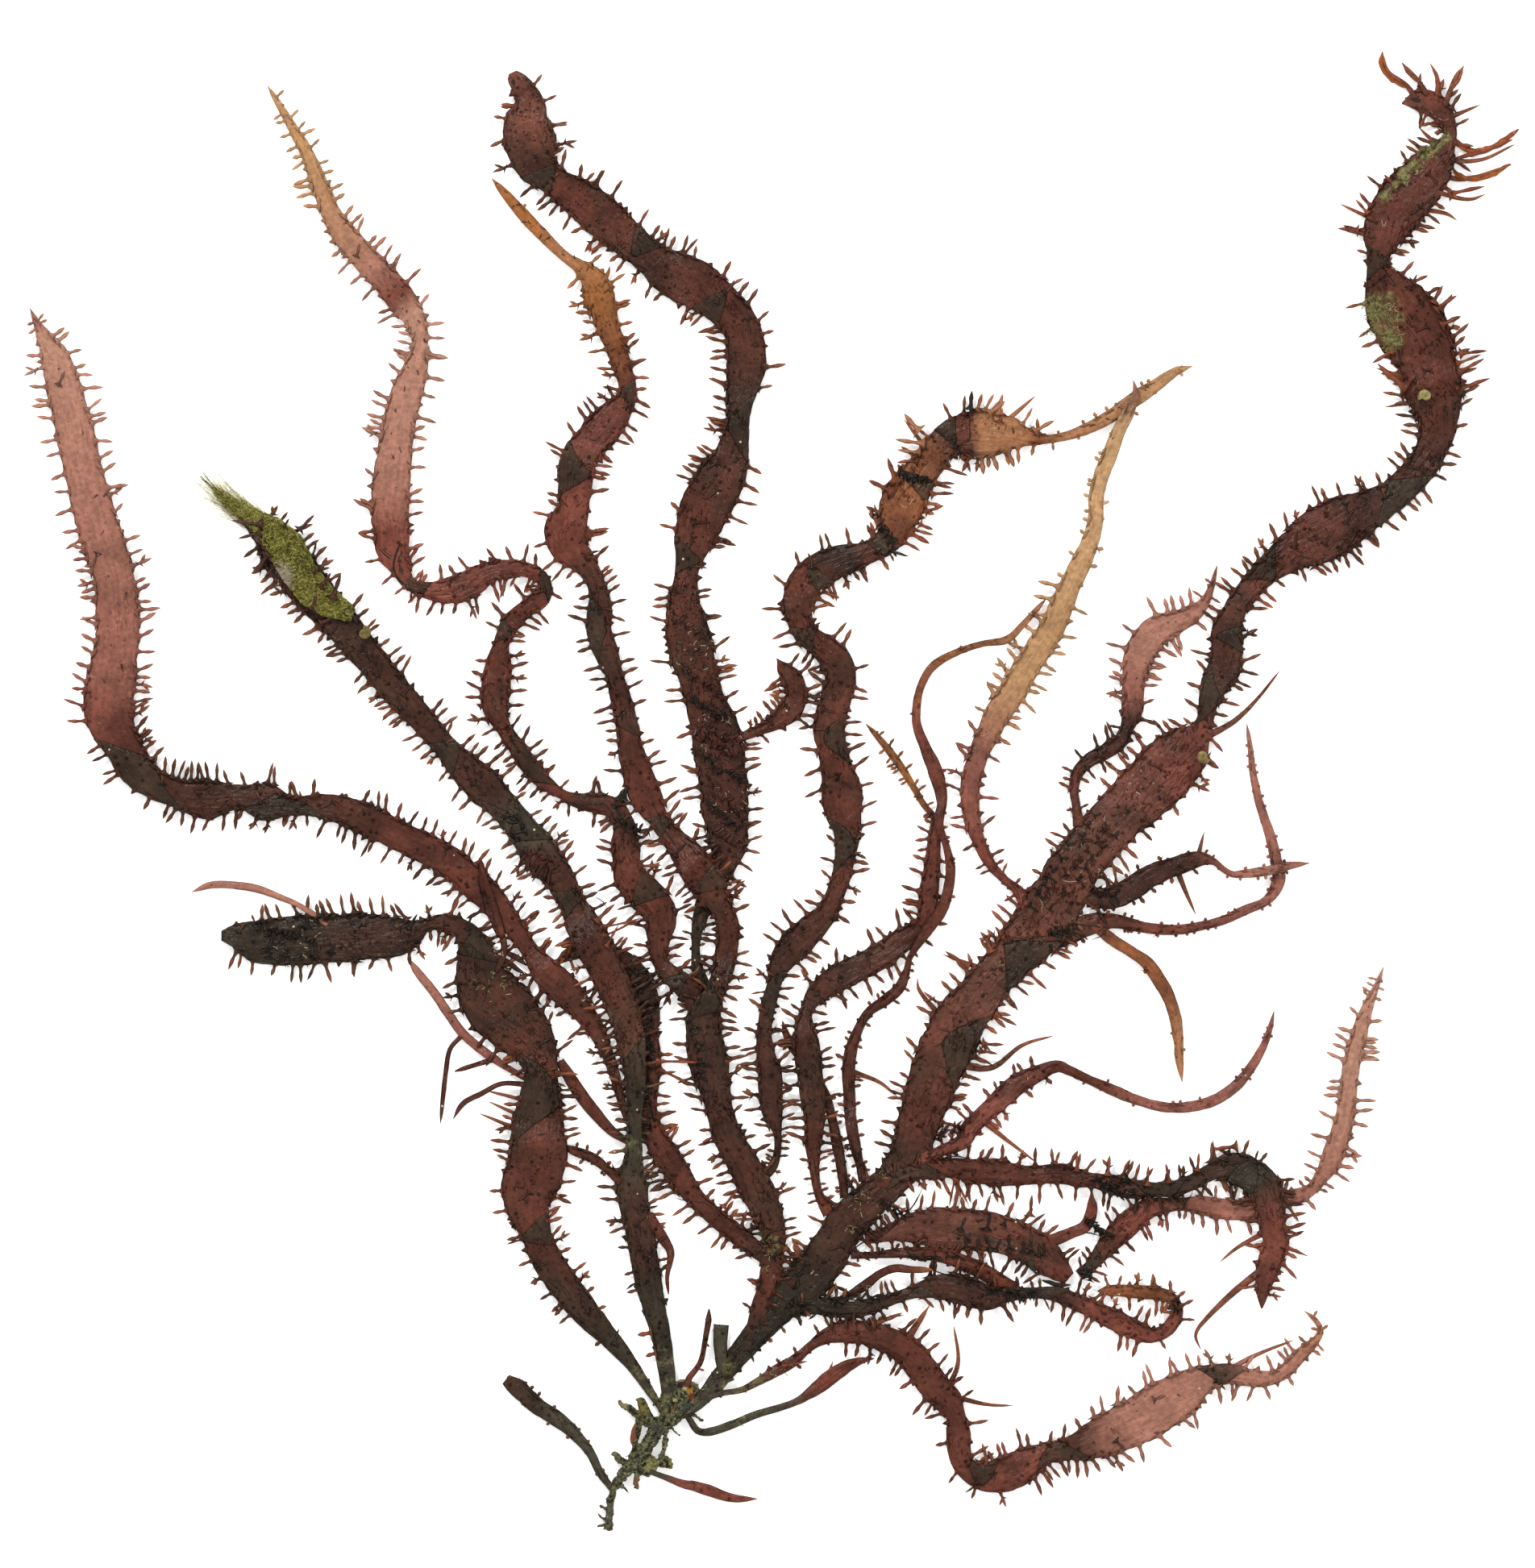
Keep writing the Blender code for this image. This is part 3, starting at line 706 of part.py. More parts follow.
def fuse(main, others):
    """Join what grows from a frond to it, in one closed body."""
    if not others:
        return
    group = bpy.data.collections.new(main.name + "_branches")
    for other in others:
        group.objects.link(other)
    union = main.modifiers.new("union", "BOOLEAN")
    union.operation = "UNION"
    union.operand_type = "COLLECTION"
    union.collection = group
    union.solver = "EXACT"
    graph = bpy.context.evaluated_depsgraph_get()
    joined = bpy.data.meshes.new_from_object(main.evaluated_get(graph))
    main.modifiers.clear()
    main.data = joined
    for other in others:
        bpy.data.objects.remove(other)
    bpy.data.collections.remove(group)


def build_stipe(layers):
    """The round stalk, its stubs and the crown, whose flat underside is the plant's first foot."""
    strip = Strip("stipe", STIPE, 1.2)
    strip.height = FLOOR_GAP + strip.half
    strip.discs.append((*CROWN_CENTRE, CROWN_RADIUS))
    for width, tip_width, *route in STIPE_STUBS:
        for x, y in smooth_curve(route)[1]:
            strip.discs.append((x, y, width / 2))
            for turn in range(6):
                spot = (x + width / 2 * math.cos(turn), y + width / 2 * math.sin(turn))
                layers.cover("stipe", spot, 0.0, width + 1.2)
    for x, y, radius, height in STIPE_KNOTS:
        strip.discs.append((x, y, radius))
        for turn in range(12):
            spot = (x + radius * math.cos(turn), y + radius * math.sin(turn))
            layers.cover("stipe", spot, 0.0, height + 0.3)
    kept = stations(strip)
    finish = material("stipe", STIPE_COLOUR)
    points = [(*strip.centre[i], strip.height[i]) for i in kept]
    stalk = add_object("stipe", *tube_mesh(points, strip.half[kept]), finish)
    profile = [(CROWN_RADIUS, 0.0), (CROWN_RADIUS, 0.7), (CROWN_RADIUS * 0.86, 1.5), (CROWN_RADIUS * 0.5, CROWN_HEIGHT)]
    others = [add_object("crown", *turned_mesh(CROWN_CENTRE, profile, 14), finish)]
    for number, (x, y, radius, height) in enumerate(STIPE_KNOTS):
        knot = [(radius * 0.8, FLOOR_GAP), (radius, height * 0.45), (radius * 0.85, height * 0.8), (radius * 0.4, height)]
        others.append(add_object("knot_%d" % number, *turned_mesh((x, y), knot, 9), finish))
    for number, (width, tip_width, *route) in enumerate(STIPE_STUBS):
        heights = np.linspace(strip.height_near(np.array(route[0])), FLOOR_GAP + width / 2 + 0.15, len(route))
        stub = [(x, y, z) for (x, y), z in zip(route, heights)]
        radii = np.linspace(width / 2, tip_width / 2, len(route))
        others.append(add_object("stub_%d" % number, *tube_mesh(stub, radii, 6), finish))
    fuse(stalk, others)
    for i in range(len(strip.at)):
        for point in strip.section(i):
            layers.cover("stipe", point, 0.0, 2 * strip.half[i] + FLOOR_GAP)
    return strip


def build_shell(name, x, y, layers, finish):
    """A tiny low snail shell: a blunt turned cone that lies on the frond below it."""
    reach = np.linspace(-SHELL_RADIUS, SHELL_RADIUS, 5)
    ground = max(layers.top((x + dx, y + dy), set()) for dx in reach for dy in reach)
    base = ground + FLOOR_GAP
    radius = SHELL_RADIUS
    profile = [(radius * 0.55, base), (radius, base + radius * 0.4), (radius * 0.85, base + radius * 0.9),
               (radius * 0.4, base + radius * 1.35)]
    add_object(name, *turned_mesh((x, y), profile, 8), finish)


def build():
    for old in list(bpy.data.objects):
        bpy.data.objects.remove(old)
    layers = Layers()
    strips = {"stipe": build_stipe(layers)}
    for k in range(24):
        turn = 2 * math.pi * k / 24
        for radius in (0.0, 1.2, CROWN_RADIUS):
            spot = (CROWN_CENTRE[0] + radius * math.cos(turn), CROWN_CENTRE[1] + radius * math.sin(turn))
            layers.cover("stipe", spot, 0.0, CROWN_HEIGHT)
    fused = {branch: main for main, branches, colour in NODES for branch in branches}
    for name, blade in BLADES.items():
        strip = Strip(name, blade.route, blade.thickness)
        lay(strip, layers, strips.get(blade.on), name in fused)
        strips[name] = strip
        for number, (width, *route) in enumerate(blade.spurs):
            widths = np.linspace(width, 0.3, len(route))
            spur = Strip("%s_spur_%d" % (name, number), [(x, y, w) for (x, y), w in zip(route, widths)],
                         SPUR_THICKNESS)
            lay(spur, layers, strip, True)
            strips[spur.name] = spur
    for name, branches, colour in NODES:
        finish = material(name, colour)
        others = []
        for branch in [name] + branches:
            made = add_object(branch, *strap_mesh(strips[branch], BLADES[branch].spine, layers), finish)
            if branch != name:
                others.append(made)
            else:
                main = made
            for number in range(len(BLADES[branch].spurs)):
                spur = "%s_spur_%d" % (branch, number)
                others.append(add_object(spur, *strap_mesh(strips[spur], 0.0, layers), finish))
        fuse(main, others)
    finish = material("shell", SHELL_COLOUR)
    for name, x, y in SHELLS:
        build_shell(name, x, y, layers, finish)


build()
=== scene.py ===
"""The looks of a red seaweed laid out flat: fine leathery straps with waved margins, folds and marginal
spines, the knotted stipe, the tuft of green threads and three tiny snail shells, on a white floor seen from
straight above. Each strap follows the route of its solid and takes its height from it. Lengths are in
millimetres until a mesh is made.
"""
import math
import random

import bpy
import numpy as np
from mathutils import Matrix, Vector, noise
from mathutils.bvhtree import BVHTree


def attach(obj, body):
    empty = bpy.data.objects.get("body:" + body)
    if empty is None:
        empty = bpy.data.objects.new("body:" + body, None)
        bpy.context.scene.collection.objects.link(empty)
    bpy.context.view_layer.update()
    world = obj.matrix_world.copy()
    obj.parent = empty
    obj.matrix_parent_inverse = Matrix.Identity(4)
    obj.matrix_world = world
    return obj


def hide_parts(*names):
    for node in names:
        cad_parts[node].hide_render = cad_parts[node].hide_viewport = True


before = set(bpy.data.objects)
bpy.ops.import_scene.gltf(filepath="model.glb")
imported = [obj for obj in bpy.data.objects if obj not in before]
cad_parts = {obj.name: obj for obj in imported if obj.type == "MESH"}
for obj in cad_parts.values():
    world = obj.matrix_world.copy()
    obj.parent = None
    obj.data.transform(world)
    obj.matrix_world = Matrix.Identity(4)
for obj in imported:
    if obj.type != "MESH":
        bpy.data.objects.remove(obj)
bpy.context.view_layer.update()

MM = 0.001
L = "left"
R = "right"

# The photograph's frame in millimetres, and a long lens that looks straight down on its centre
VIEW_HEIGHT = 220.65
VIEW_CENTRE = (11.80, 85.71)
LENS = 200.0
SENSOR = 36.0

# The solids' thicknesses, which give a strap's middle from its top face
BLADE_THICKNESS = 0.66
BRANCH_THICKNESS = 0.60
SPUR_THICKNESS = 0.54
STIPE_THICKNESS = 1.6

# Steps along a strap, parts of the curve between two of its points, and the cell of the map of heights
FINE_STEP = 0.5
CURVE_PARTS = 12
CELL = 0.5

# A strap's thickness in its middle and at its margins, its waves, and how uneven its outline is
MID_THICKNESS = 0.50
EDGE_THICKNESS = 0.16
RUFFLE_HEIGHT = 0.34
RUFFLE_LENGTH = 8.0
WRINKLE_HEIGHT = 0.10
OUTLINE_WOBBLE = 0.07

# Cells across a strap, each count for widths up to its limit
COLUMNS = ((1.6, 4), (3.6, 8), (math.inf, 14))

# The narrowest strap, and what is left of the width at the last stations of one that ends in a point
LEAST_WIDTH = 0.2
TIP_TAPER = (0.85, 0.6, 0.25)

# A strap's underside lies no lower than LOWEST. Below NEAR_FLOOR all is pressed flat, down to LEAST_HEIGHT
LOWEST = 0.06
NEAR_FLOOR = 0.15
LEAST_HEIGHT = 0.02

# The room that a strap takes above and below its middle, and the gap between a spine and what it passes
STRAP_ROOM = 0.3
SPINE_ROOM = 0.3

# A fold's flap: where it starts, just past the margin, its rows across, and the height of its rim
FOLD_MARGIN = 1.03
FOLD_ROWS = (0.0, 0.07, 0.25, 0.5, 0.75, 0.93, 1.0)
FOLD_RIM = 0.06

# Marginal spines: the longest, their mean distance, and the shares of both that they are drawn from
SPINE_LENGTH = 2.9
SPINE_PITCH = 2.1
SPINE_SIDES = 5
PITCH_SHARES = (0.4, 0.6, 0.8, 1.0, 1.2)
LENGTH_SHARES = (0.14, 0.24, 0.55, 0.65, 0.7, 0.75, 0.8, 0.85, 0.9, 1.0)

# A spine's outline as (share of its length, radius), and the radius that its width is measured by
SPINDLE = [(0.0, 0.95), (0.13, 0.38), (0.25, 0.22), (0.38, 0.20), (0.62, 0.28), (0.85, 0.18), (1.0, 0.03)]
NUB_SHAPE = [(0.0, 0.9), (0.4, 0.42), (0.75, 0.24), (1.0, 0.04)]
RIDGE_SHAPE = [(0.0, 0.05), (0.2, 0.22), (0.5, 0.27), (0.8, 0.2), (1.0, 0.04)]
FULL_RADIUS = 0.27

# The green tuft: its threads, the centres of its pale and green patches, where its tail starts and ends, and
# the threads' colours
MAT_THREADS = 2600
TAIL_THREADS = 230
TAIL_POINTS = 9
THREAD_RADIUS = 0.035
PALE_PATCH = (-56.2, 114.6)
GREEN_PATCH = (-53.6, 117.8)
TAIL_START = (-59.5, 122.4)
TAIL_END = (-67.2, 127.8)
MAT_GREENS = ((60, 60, 22), (98, 94, 36), (126, 120, 46), (150, 142, 66), (182, 172, 104))
TAIL_GREENS = ((150, 142, 62), (174, 166, 84), (192, 184, 104), (206, 198, 132))

SHELL_TURNS = 2.6

# Rays are cast down from this height
RAY_HEIGHT = 40.0
DOWN = Vector((0, 0, -1))

# Places that keep their noise apart from one blade to the next, and from a blade to its side blades
BLADE_SEED = 7.3
BRANCH_SEED = 3.1

# The place in the streaks' noise of what lies on no strap, such as a spine
OFF_STRAP = (0.0, 0.0, 7.0)

# How deep the bump of every material is, in metres
BUMP_DEPTH = 0.0004

rng = random.Random(11)


class Blade:
    """One strap. route runs from root to tip as (x, y, width), on names the blade it grows from, spine is the
    length of its marginal spines, and spurs are its long thin outgrowths, each (width, point, point, ...)."""

    def __init__(self, route, on=None, spine=SPINE_LENGTH, thickness=BLADE_THICKNESS, spurs=()):
        self.route = route
        self.on = on
        self.spine = spine
        self.thickness = thickness
        self.spurs = spurs


def twig(route, on, spine=0.0, spurs=()):
    """A thin side blade of the frond that it grows from."""
    return Blade(route, on, spine, BRANCH_THICKNESS, spurs)


BLADES = {
    "right_tall_frond": Blade([
        (2.5, -.8, 2), (4.6, 1.6, 2.6), (7, 4.6, 3), (9.6, 7.7, 3.6), (12.4, 10.8, 4.2), (15.4, 14, 5.4),
        (18.4, 17.2, 6.2), (21, 20.8, 5.8), (23.2, 24.2, 5.8), (26.5, 27.5, 5.2), (29.3, 30, 5),
        (31.5, 33, 5.6), (32.5, 36, 5.9), (33.4, 39, 6.2), (34.4, 42, 6.9), (35.6, 45.5, 7.2),
        (37.1, 49, 7.6), (39, 52.8, 7.2), (41.5, 56, 6.2), (44, 59, 6), (47, 62.2, 6.8), (50, 65.8, 8),
        (52.5, 69.6, 7.8), (54.6, 73.3, 7.4), (57.3, 77, 7.2), (60.6, 80.5, 7.4), (64.2, 84, 8.2),
        (67.8, 87.6, 8.6), (70.6, 90.6, 7.4), (72.6, 93, 3.4), (73.5, 95.2, 2.4), (73.9, 97.5, 3),
        (74.7, 99.7, 4), (76, 101.8, 4.8), (76.4, 104.5, 4.5), (76.4, 107.5, 4.3), (77.5, 110, 3.4),
        (79.3, 112.8, 3.4), (82, 115.6, 3.8), (85.5, 118.3, 5.6), (89.4, 120.6, 7.8), (93, 122.6, 7.6),
        (96.4, 124.4, 5.6), (99.6, 126.2, 4.6), (102.3, 128.7, 4.5), (104.5, 131.5, 4.5), (105.8, 134.5, 5),
        (106, 137.3, 6), (105.6, 140.5, 8.2), (105, 143.5, 8.2), (103.8, 147, 9.2), (102, 150.3, 10),
        (100, 153.3, 9), (98.6, 156, 6), (97.8, 158.3, 3.4), (97.8, 160.3, 3.4), (98.2, 162.5, 5.6),
        (99.6, 165.5, 7), (102.3, 169, 7.4), (105, 172.2, 6.2), (106.8, 174.8, 3.6), (107.7, 176.8, 2),
        (107.4, 178.8, 2.4), (106.2, 180.6, 3.4), (104.2, 181.8, 3.4), (102.3, 181.7, 2.2), (101, 181.4, .8)],
        on="stipe",
        spurs=[
            (.9, (103, 182), (101.6, 184), (99, 186), (98.2, 188.8)),
            (.8, (104.6, 182.6), (103, 185), (101, 187.2)), (.8, (105.9, 181.8), (106, 185), (105, 187)),
            (.9, (107, 181), (108.5, 185), (109.7, 186.7)), (.8, (107.6, 179.4), (112, 181.2)),
            (1, (107.6, 176.6), (110.5, 174.9), (113, 175), (117.5, 177.8)),
            (.8, (106.6, 173.4), (112, 173.4), (116.8, 175.6)),
            (1, (105.8, 171.5), (110, 170.8), (116.5, 172.8)),
            (.8, (104.6, 169.3), (110, 167.9), (112.7, 168.6)),
            (.8, (102.8, 166.6), (107, 166), (108.8, 164.9)), (.7, (106, 175.5), (103.3, 178.1)),
            (.7, (104.6, 173.9), (102.1, 176.4)), (.7, (97.2, 165), (92.3, 167.3)),
            (.7, (96.6, 162.8), (92.2, 163.8)), (.7, (101.8, 142.8), (97.3, 144.2)),
            (.7, (102.8, 139.4), (98.6, 138.7)), (1, (74, 92.6), (77.5, 94.6), (80.6, 97.6), (83.8, 101.6)),
            (1.1, (37.6, 46.4), (43.2, 45.8), (47.5, 48.9), (52, 50.3)),
            (.8, (35.8, 53.4), (33.2, 56.6), (32.9, 58.4)), (.8, (42.4, 59.6), (39, 60.8), (36.5, 61.7))]),
    "cut_stump": Blade([(5.6, 3.6, 1.8), (5.2, 6, 1.9), (5.2, 8, 2), (5.3, 9.7, 2.2)],
                       "right_tall_frond", 0, 1.1),
    "bumpy_frond": Blade([
        (4, 55, 1), (2.8, 57.5, 1.8), (1.9, 60, 1.6), (1.7, 63, 1.2), (2.1, 66, 1.9), (3, 69, 2.6),
        (4.4, 72, 3.2), (5.9, 75, 4), (6.3, 78, 5.6), (5.8, 82, 6.6), (5.5, 86, 6.8), (5, 90, 7.2),
        (4.4, 93.5, 7), (3.1, 97, 5.8), (2, 101, 5.8), (1, 105, 6.4), (.3, 108.5, 5.8), (0, 112, 4.4),
        (.4, 115, 3.3, L), (.8, 117.5, 4, L), (1.6, 120.5, 6), (2.8, 124, 7), (4.6, 127.5, 7.2),
        (6.2, 130.5, 6), (7.1, 133.5, 4.2, R), (7.6, 137, 3.3, R), (7.9, 140, 4, R), (8.7, 143.5, 5.4),
        (8.7, 147, 5.6), (7.8, 150.5, 5.2), (5.2, 153.4, 5.6), (2, 155.8, 6.8), (-1.5, 157.4, 6.6),
        (-5, 160, 4.8), (-8.6, 163, 5.2), (-12, 166, 6), (-15.4, 168.6, 5.2), (-18.4, 170.6, 4.2),
        (-20.8, 172.8, 5.8), (-21.4, 175.5, 7.4), (-22, 178.5, 6.6), (-21.6, 181.2, 4.2),
        (-22.4, 183.2, 3.4), (-23.6, 185, 2.4), (-24, 185.8, 1.2)]),
    "bumpy_side_blade": twig([(7.4, 92, 1.2), (10.6, 93.3, 1.6), (12.8, 94.4, 2.4), (14.8, 96, 3.4),
                              (15.9, 98.2, 3), (15.3, 100.4, 3), (14, 102, 2), (13.1, 103.4, .5)],
                             "bumpy_frond", SPINE_LENGTH),
    "middle_frond": Blade([
        (8.8, 7, 1.4), (10.2, 10.5, 2.2), (11.4, 14, 2.8), (12.3, 17.5, 3), (12.8, 20.5, 3), (12.3, 24, 3.8),
        (10.7, 28, 4.9), (8.8, 31.5, 4.6), (6.8, 35, 4.2), (5.4, 38.5, 3.9), (4.6, 42, 4.2), (3.6, 46, 5.6),
        (2.9, 50, 5.2), (3, 53.2, 4.8), (4.4, 56.5, 2.8), (5.6, 60, 3.1), (6.1, 63, 3.2), (6.2, 66, 3.2),
        (5.2, 68.6, 3.2), (3.4, 71.6, 5), (1.2, 74.8, 4.8), (-1.2, 77.8, 3.4), (-3.2, 80.4, 2.8),
        (-5, 83.4, 4.4), (-6.4, 87, 4.4), (-7.4, 90.5, 3.6), (-8, 94, 3.2), (-8.8, 97.5, 3),
        (-9.7, 101, 2.6), (-10.8, 104, 3.4), (-11.9, 107.5, 3.6), (-11.7, 110.5, 3.4), (-12.2, 113.5, 2.6),
        (-13.8, 116.5, 3.4), (-16, 119, 5.4), (-16.4, 121.5, 6.4), (-15.6, 124.3, 4.6), (-15.2, 127.5, 4.8),
        (-15, 130.5, 5.2), (-13.6, 133, 5), (-11.6, 135.5, 5.2), (-9.6, 137.8, 4.4), (-8, 140.2, 2.8),
        (-8.2, 143, 2.4), (-9.3, 146.5, 3), (-10.6, 150, 3.2), (-11.7, 153.5, 4.2), (-12.6, 156.3, 4),
        (-14.3, 158.2, 2.2), (-16.8, 160, 1.5), (-19.5, 162.6, 1.7), (-22.2, 165.4, 1.8), (-25, 168.6, 1.3),
        (-27, 170.9, .4)],
        on="right_tall_frond", spurs=[(1, (-11.8, 155.6), (-10.6, 157.6), (-10.4, 158.6))]),
    "crossing_frond": Blade([
        (13.4, 17.2, 1.4), (11.5, 19.2, 2.2), (9, 21.2, 2.6), (6.3, 23.3, 2.8), (3.8, 25.4, 2.6),
        (1.4, 27.8, 2.8), (-.7, 30.8, 3.6), (-2.6, 33.8, 3.8), (-4.2, 36.6, 3), (-4.8, 40, 2.2),
        (-4.6, 43.5, 2.4), (-4.2, 47, 2.2), (-4.6, 50.5, 2.2), (-4.8, 53.8, 3), (-6, 57.2, 4.2),
        (-8, 60.2, 3.4), (-10.5, 61.8, 2.6), (-13.2, 62.2, 2), (-15.8, 61.8, 1.8), (-17.4, 60.4, .6)],
        on="middle_frond"),
    "left_tall_frond": Blade([
        (-2.3, -.5, 1.6), (-2.2, 1.5, 2.2), (-2.8, 6, 2.6), (-3.6, 10, 3), (-4.6, 14, 3.6), (-5.4, 18, 4),
        (-6, 22, 4), (-6.8, 26, 4.2), (-7.4, 29.5, 4.6), (-7.2, 32, 3), (-7, 34.5, 2.4), (-6.9, 38, 2.2),
        (-6.8, 41.5, 2.6), (-6.8, 45, 3.2), (-7.3, 49, 4), (-8, 52.5, 4.4), (-9.2, 56, 4.8),
        (-10.8, 59.5, 5), (-12.6, 63, 5.2), (-14.3, 66.3, 4.8), (-15.8, 69.2, 3.6), (-17.6, 72.6, 4.4),
        (-20.2, 76, 5.4), (-22.6, 79.2, 4.4), (-25, 82.2, 4.2), (-28, 85.2, 5.2), (-30.9, 88.1, 4.4),
        (-33.5, 90.9, 3.3), (-36.1, 94, 3.6), (-39.3, 97.6, 4), (-42.6, 101.5, 4.3), (-45.7, 105.3, 4.6),
        (-48.6, 108.7, 5.2), (-51.7, 112.1, 5.8), (-54.4, 115.4, 6.2), (-56.5, 118.6, 6.4),
        (-58.6, 120.9, 4.6), (-60.8, 122, 2.2), (-62, 122.2, .6)], on="stipe"),
    "left_pouch": twig([(-4.9, 25.2, 1.4), (-3.2, 22.3, 1.6), (-1.9, 20.2, 1.2), (-1.9, 18.6, .9),
                        (-2.3, 16.5, .6), (-2.1, 14, .6)], "left_tall_frond"),
    "left_small_blade": twig([(-8.9, 29.6, 1), (-11, 31.8, 1.3), (-13, 33.2, 1.5), (-15.8, 34.3, 1.2),
                              (-17, 35, .8)], "left_tall_frond", 1.6),
    "left_under_blade": twig([(-7.2, 35.2, 1), (-8.4, 35.8, 1), (-10.2, 37, 1.4), (-12.4, 39.4, 1.8),
                              (-14.5, 42.1, 1.9), (-16.3, 44.9, 1.7), (-17.4, 46.8, 1.2)], "left_tall_frond"),
    "far_left_frond": Blade([
        (-7.2, 37.5, .8), (-8, 38.8, .9), (-8.8, 41.5, 1.2), (-9.6, 44.5, 1.5), (-10.6, 47.5, 1.8),
        (-12, 50.5, 2.4), (-14, 53.6, 3.2), (-16.4, 56.4, 4.4), (-19.2, 59.2, 4.2), (-21.6, 62.3, 2.6),
        (-23.6, 65.2, 2.8), (-26, 68.2, 3.8), (-28.6, 71, 4.4), (-31.6, 73.7, 4.4), (-35, 76, 4.4),
        (-40, 78.4, 4.2), (-45, 80.9, 4.6), (-50, 82.5, 3.6), (-55, 82.7, 2.8), (-58.6, 83.2, 5.4),
        (-62.5, 83.9, 3.4), (-67, 83.6, 5.8), (-70.5, 84.2, 4.2), (-74, 85.6, 4.2), (-76.8, 87.8, 5.2),
        (-78.8, 91, 5.2), (-80.4, 94.2, 6.6), (-80.8, 97, 7.3), (-80.4, 101, 7), (-79.8, 105, 6.2),
        (-79.6, 110, 6.2), (-80.1, 115, 5.9), (-81.7, 120, 6.1), (-83.2, 125, 5.8), (-84.5, 130, 5.4),
        (-85.6, 135, 5.4), (-86.8, 140, 5), (-88.1, 145, 4.3), (-89.6, 148, 2.6), (-90.8, 150.3, 1.2),
        (-91.9, 152.6, .4)], on="left_tall_frond"),
    "left_blunt_frond": Blade([
        (-2.8, -2.6, .9), (-4.5, 0, 1.2), (-8, 5, 2.1), (-12.5, 10, 3.5), (-15, 13, 4.2), (-18, 17, 4.4),
        (-19.8, 20, 4.2), (-20.8, 22.5, 4.4), (-21.8, 25.5, 5.8), (-22, 28.5, 7.6), (-21, 31, 8.2),
        (-20.4, 34, 8.3), (-20.4, 38, 7.2), (-20.1, 42, 5.6), (-20, 45.5, 4.6), (-21, 49, 6.4),
        (-24.2, 52.6, 9), (-27, 55.6, 9), (-28.6, 59, 7.2), (-29.4, 62.5, 4.8), (-31, 65.2, 3),
        (-33.8, 66.2, 2.6), (-36.2, 65.8, 1.9), (-38.2, 64.8, 4), (-40.5, 64.3, 5.6), (-45, 64.2, 6.6),
        (-50, 64, 6.8), (-55, 63.7, 7), (-59.5, 63.6, 6.2), (-62.5, 64.3, 4), (-65, 64.4, 1.4)],
        on="stipe",
        spurs=[(.7, (-21.5, 41), (-27.7, 42.6)), (.7, (-22, 38.6), (-27.3, 41)),
               (.8, (-22, 36.6), (-28.7, 39.4))]),
    "thin_side_blade": twig([(-21.4, 44, 1), (-24.8, 45.8, .9), (-26.8, 47.2, 1.2), (-29, 48.8, 1.3),
                             (-31.2, 50.8, 1.3), (-33, 53.3, 1.3), (-35, 56.3, 1.3), (-37, 58.8, 1.2),
                             (-38.6, 61, .8)], "left_blunt_frond"),
    "thin_fork_upper": twig([(-30.9, 50.6, .7), (-32.8, 48.5, .7), (-33.4, 45.5, .7), (-33.8, 42, .7),
                             (-34.2, 38, .4)], "thin_side_blade"),
    "thin_fork_lower": twig([(-26.6, 47, .8), (-30, 46, .7), (-32.2, 45.3, .7)], "thin_side_blade"),
    "thin_low_blade": twig([(-21.6, 43.4, .8), (-25.5, 43.6, .7), (-28.4, 42.2, .8), (-31, 40.8, .8),
                            (-32.4, 38.6, .4)], "left_blunt_frond"),
    "pale_side_blade": twig([(-50, 66, 1), (-54, 68.6, .8), (-57, 69.9, .9), (-60, 71, 1.1),
                             (-63.5, 71.5, 1.1), (-66.5, 71.5, 1), (-69.2, 70.5, .4)], "left_blunt_frond"),
    "narrow_dark_blade": twig([(-26.4, 59.2, .8), (-25.2, 62, .9), (-25.6, 65, 1), (-26.8, 69, 1.1),
                               (-27.8, 72, .9), (-28.6, 74.6, .4)], "left_blunt_frond"),
    "upper_left_frond": Blade([
        (2.6, 53.6, 3), (.8, 56.6, 3.4), (-1.6, 58.8, 2.8), (-3.4, 61, 2.2), (-3.5, 64, 3.4),
        (-3.2, 67.3, 4.6), (-5.2, 70, 5), (-7.6, 72.4, 4.4), (-8, 75, 3.9), (-8.2, 78, 3.8), (-8.5, 80.3, 3),
        (-9.6, 82.2, 2.8), (-11.5, 82.9, 3), (-14.2, 83.2, 2.4), (-17, 84.2, 1.5), (-19.6, 86, 2.2),
        (-21.8, 88.4, 2.7), (-23.5, 91, 2.4), (-25.3, 93.6, 2.2), (-26.4, 96.5, 3.8), (-26.3, 100, 4.2),
        (-26, 103, 3.6), (-25.6, 105.5, 2.2), (-24.5, 108, 2.8), (-22.4, 110.2, 2.5), (-20.4, 111.6, 2.8),
        (-19.4, 113.4, 2), (-20.6, 115.2, 2), (-23.5, 116, 2.3), (-27, 115.6, 3), (-30, 113.9, 4),
        (-33, 112.9, 3.8), (-36, 112.9, 2.4), (-38.4, 113.7, 1.8), (-39.6, 115.6, 2.6), (-40.8, 118.5, 4.6),
        (-41.2, 122, 5.2), (-41.2, 126, 5.3), (-40.9, 130, 5.2), (-40.4, 134, 4.8), (-39.7, 138, 4.6),
        (-38.6, 141.5, 4.4), (-37.5, 145, 3.2), (-37, 148, 2.2), (-37.5, 150.5, 2.8), (-39.2, 153.2, 4),
        (-41.6, 156.2, 4), (-44.5, 159.3, 3.8), (-47.5, 162.7, 3.5), (-49.6, 166, 2.8), (-51.2, 170, 2.4),
        (-53, 174.5, 1.9), (-55, 178, 1.4), (-57.2, 181.8, .9), (-58.5, 183.9, .4)], on="middle_frond"),
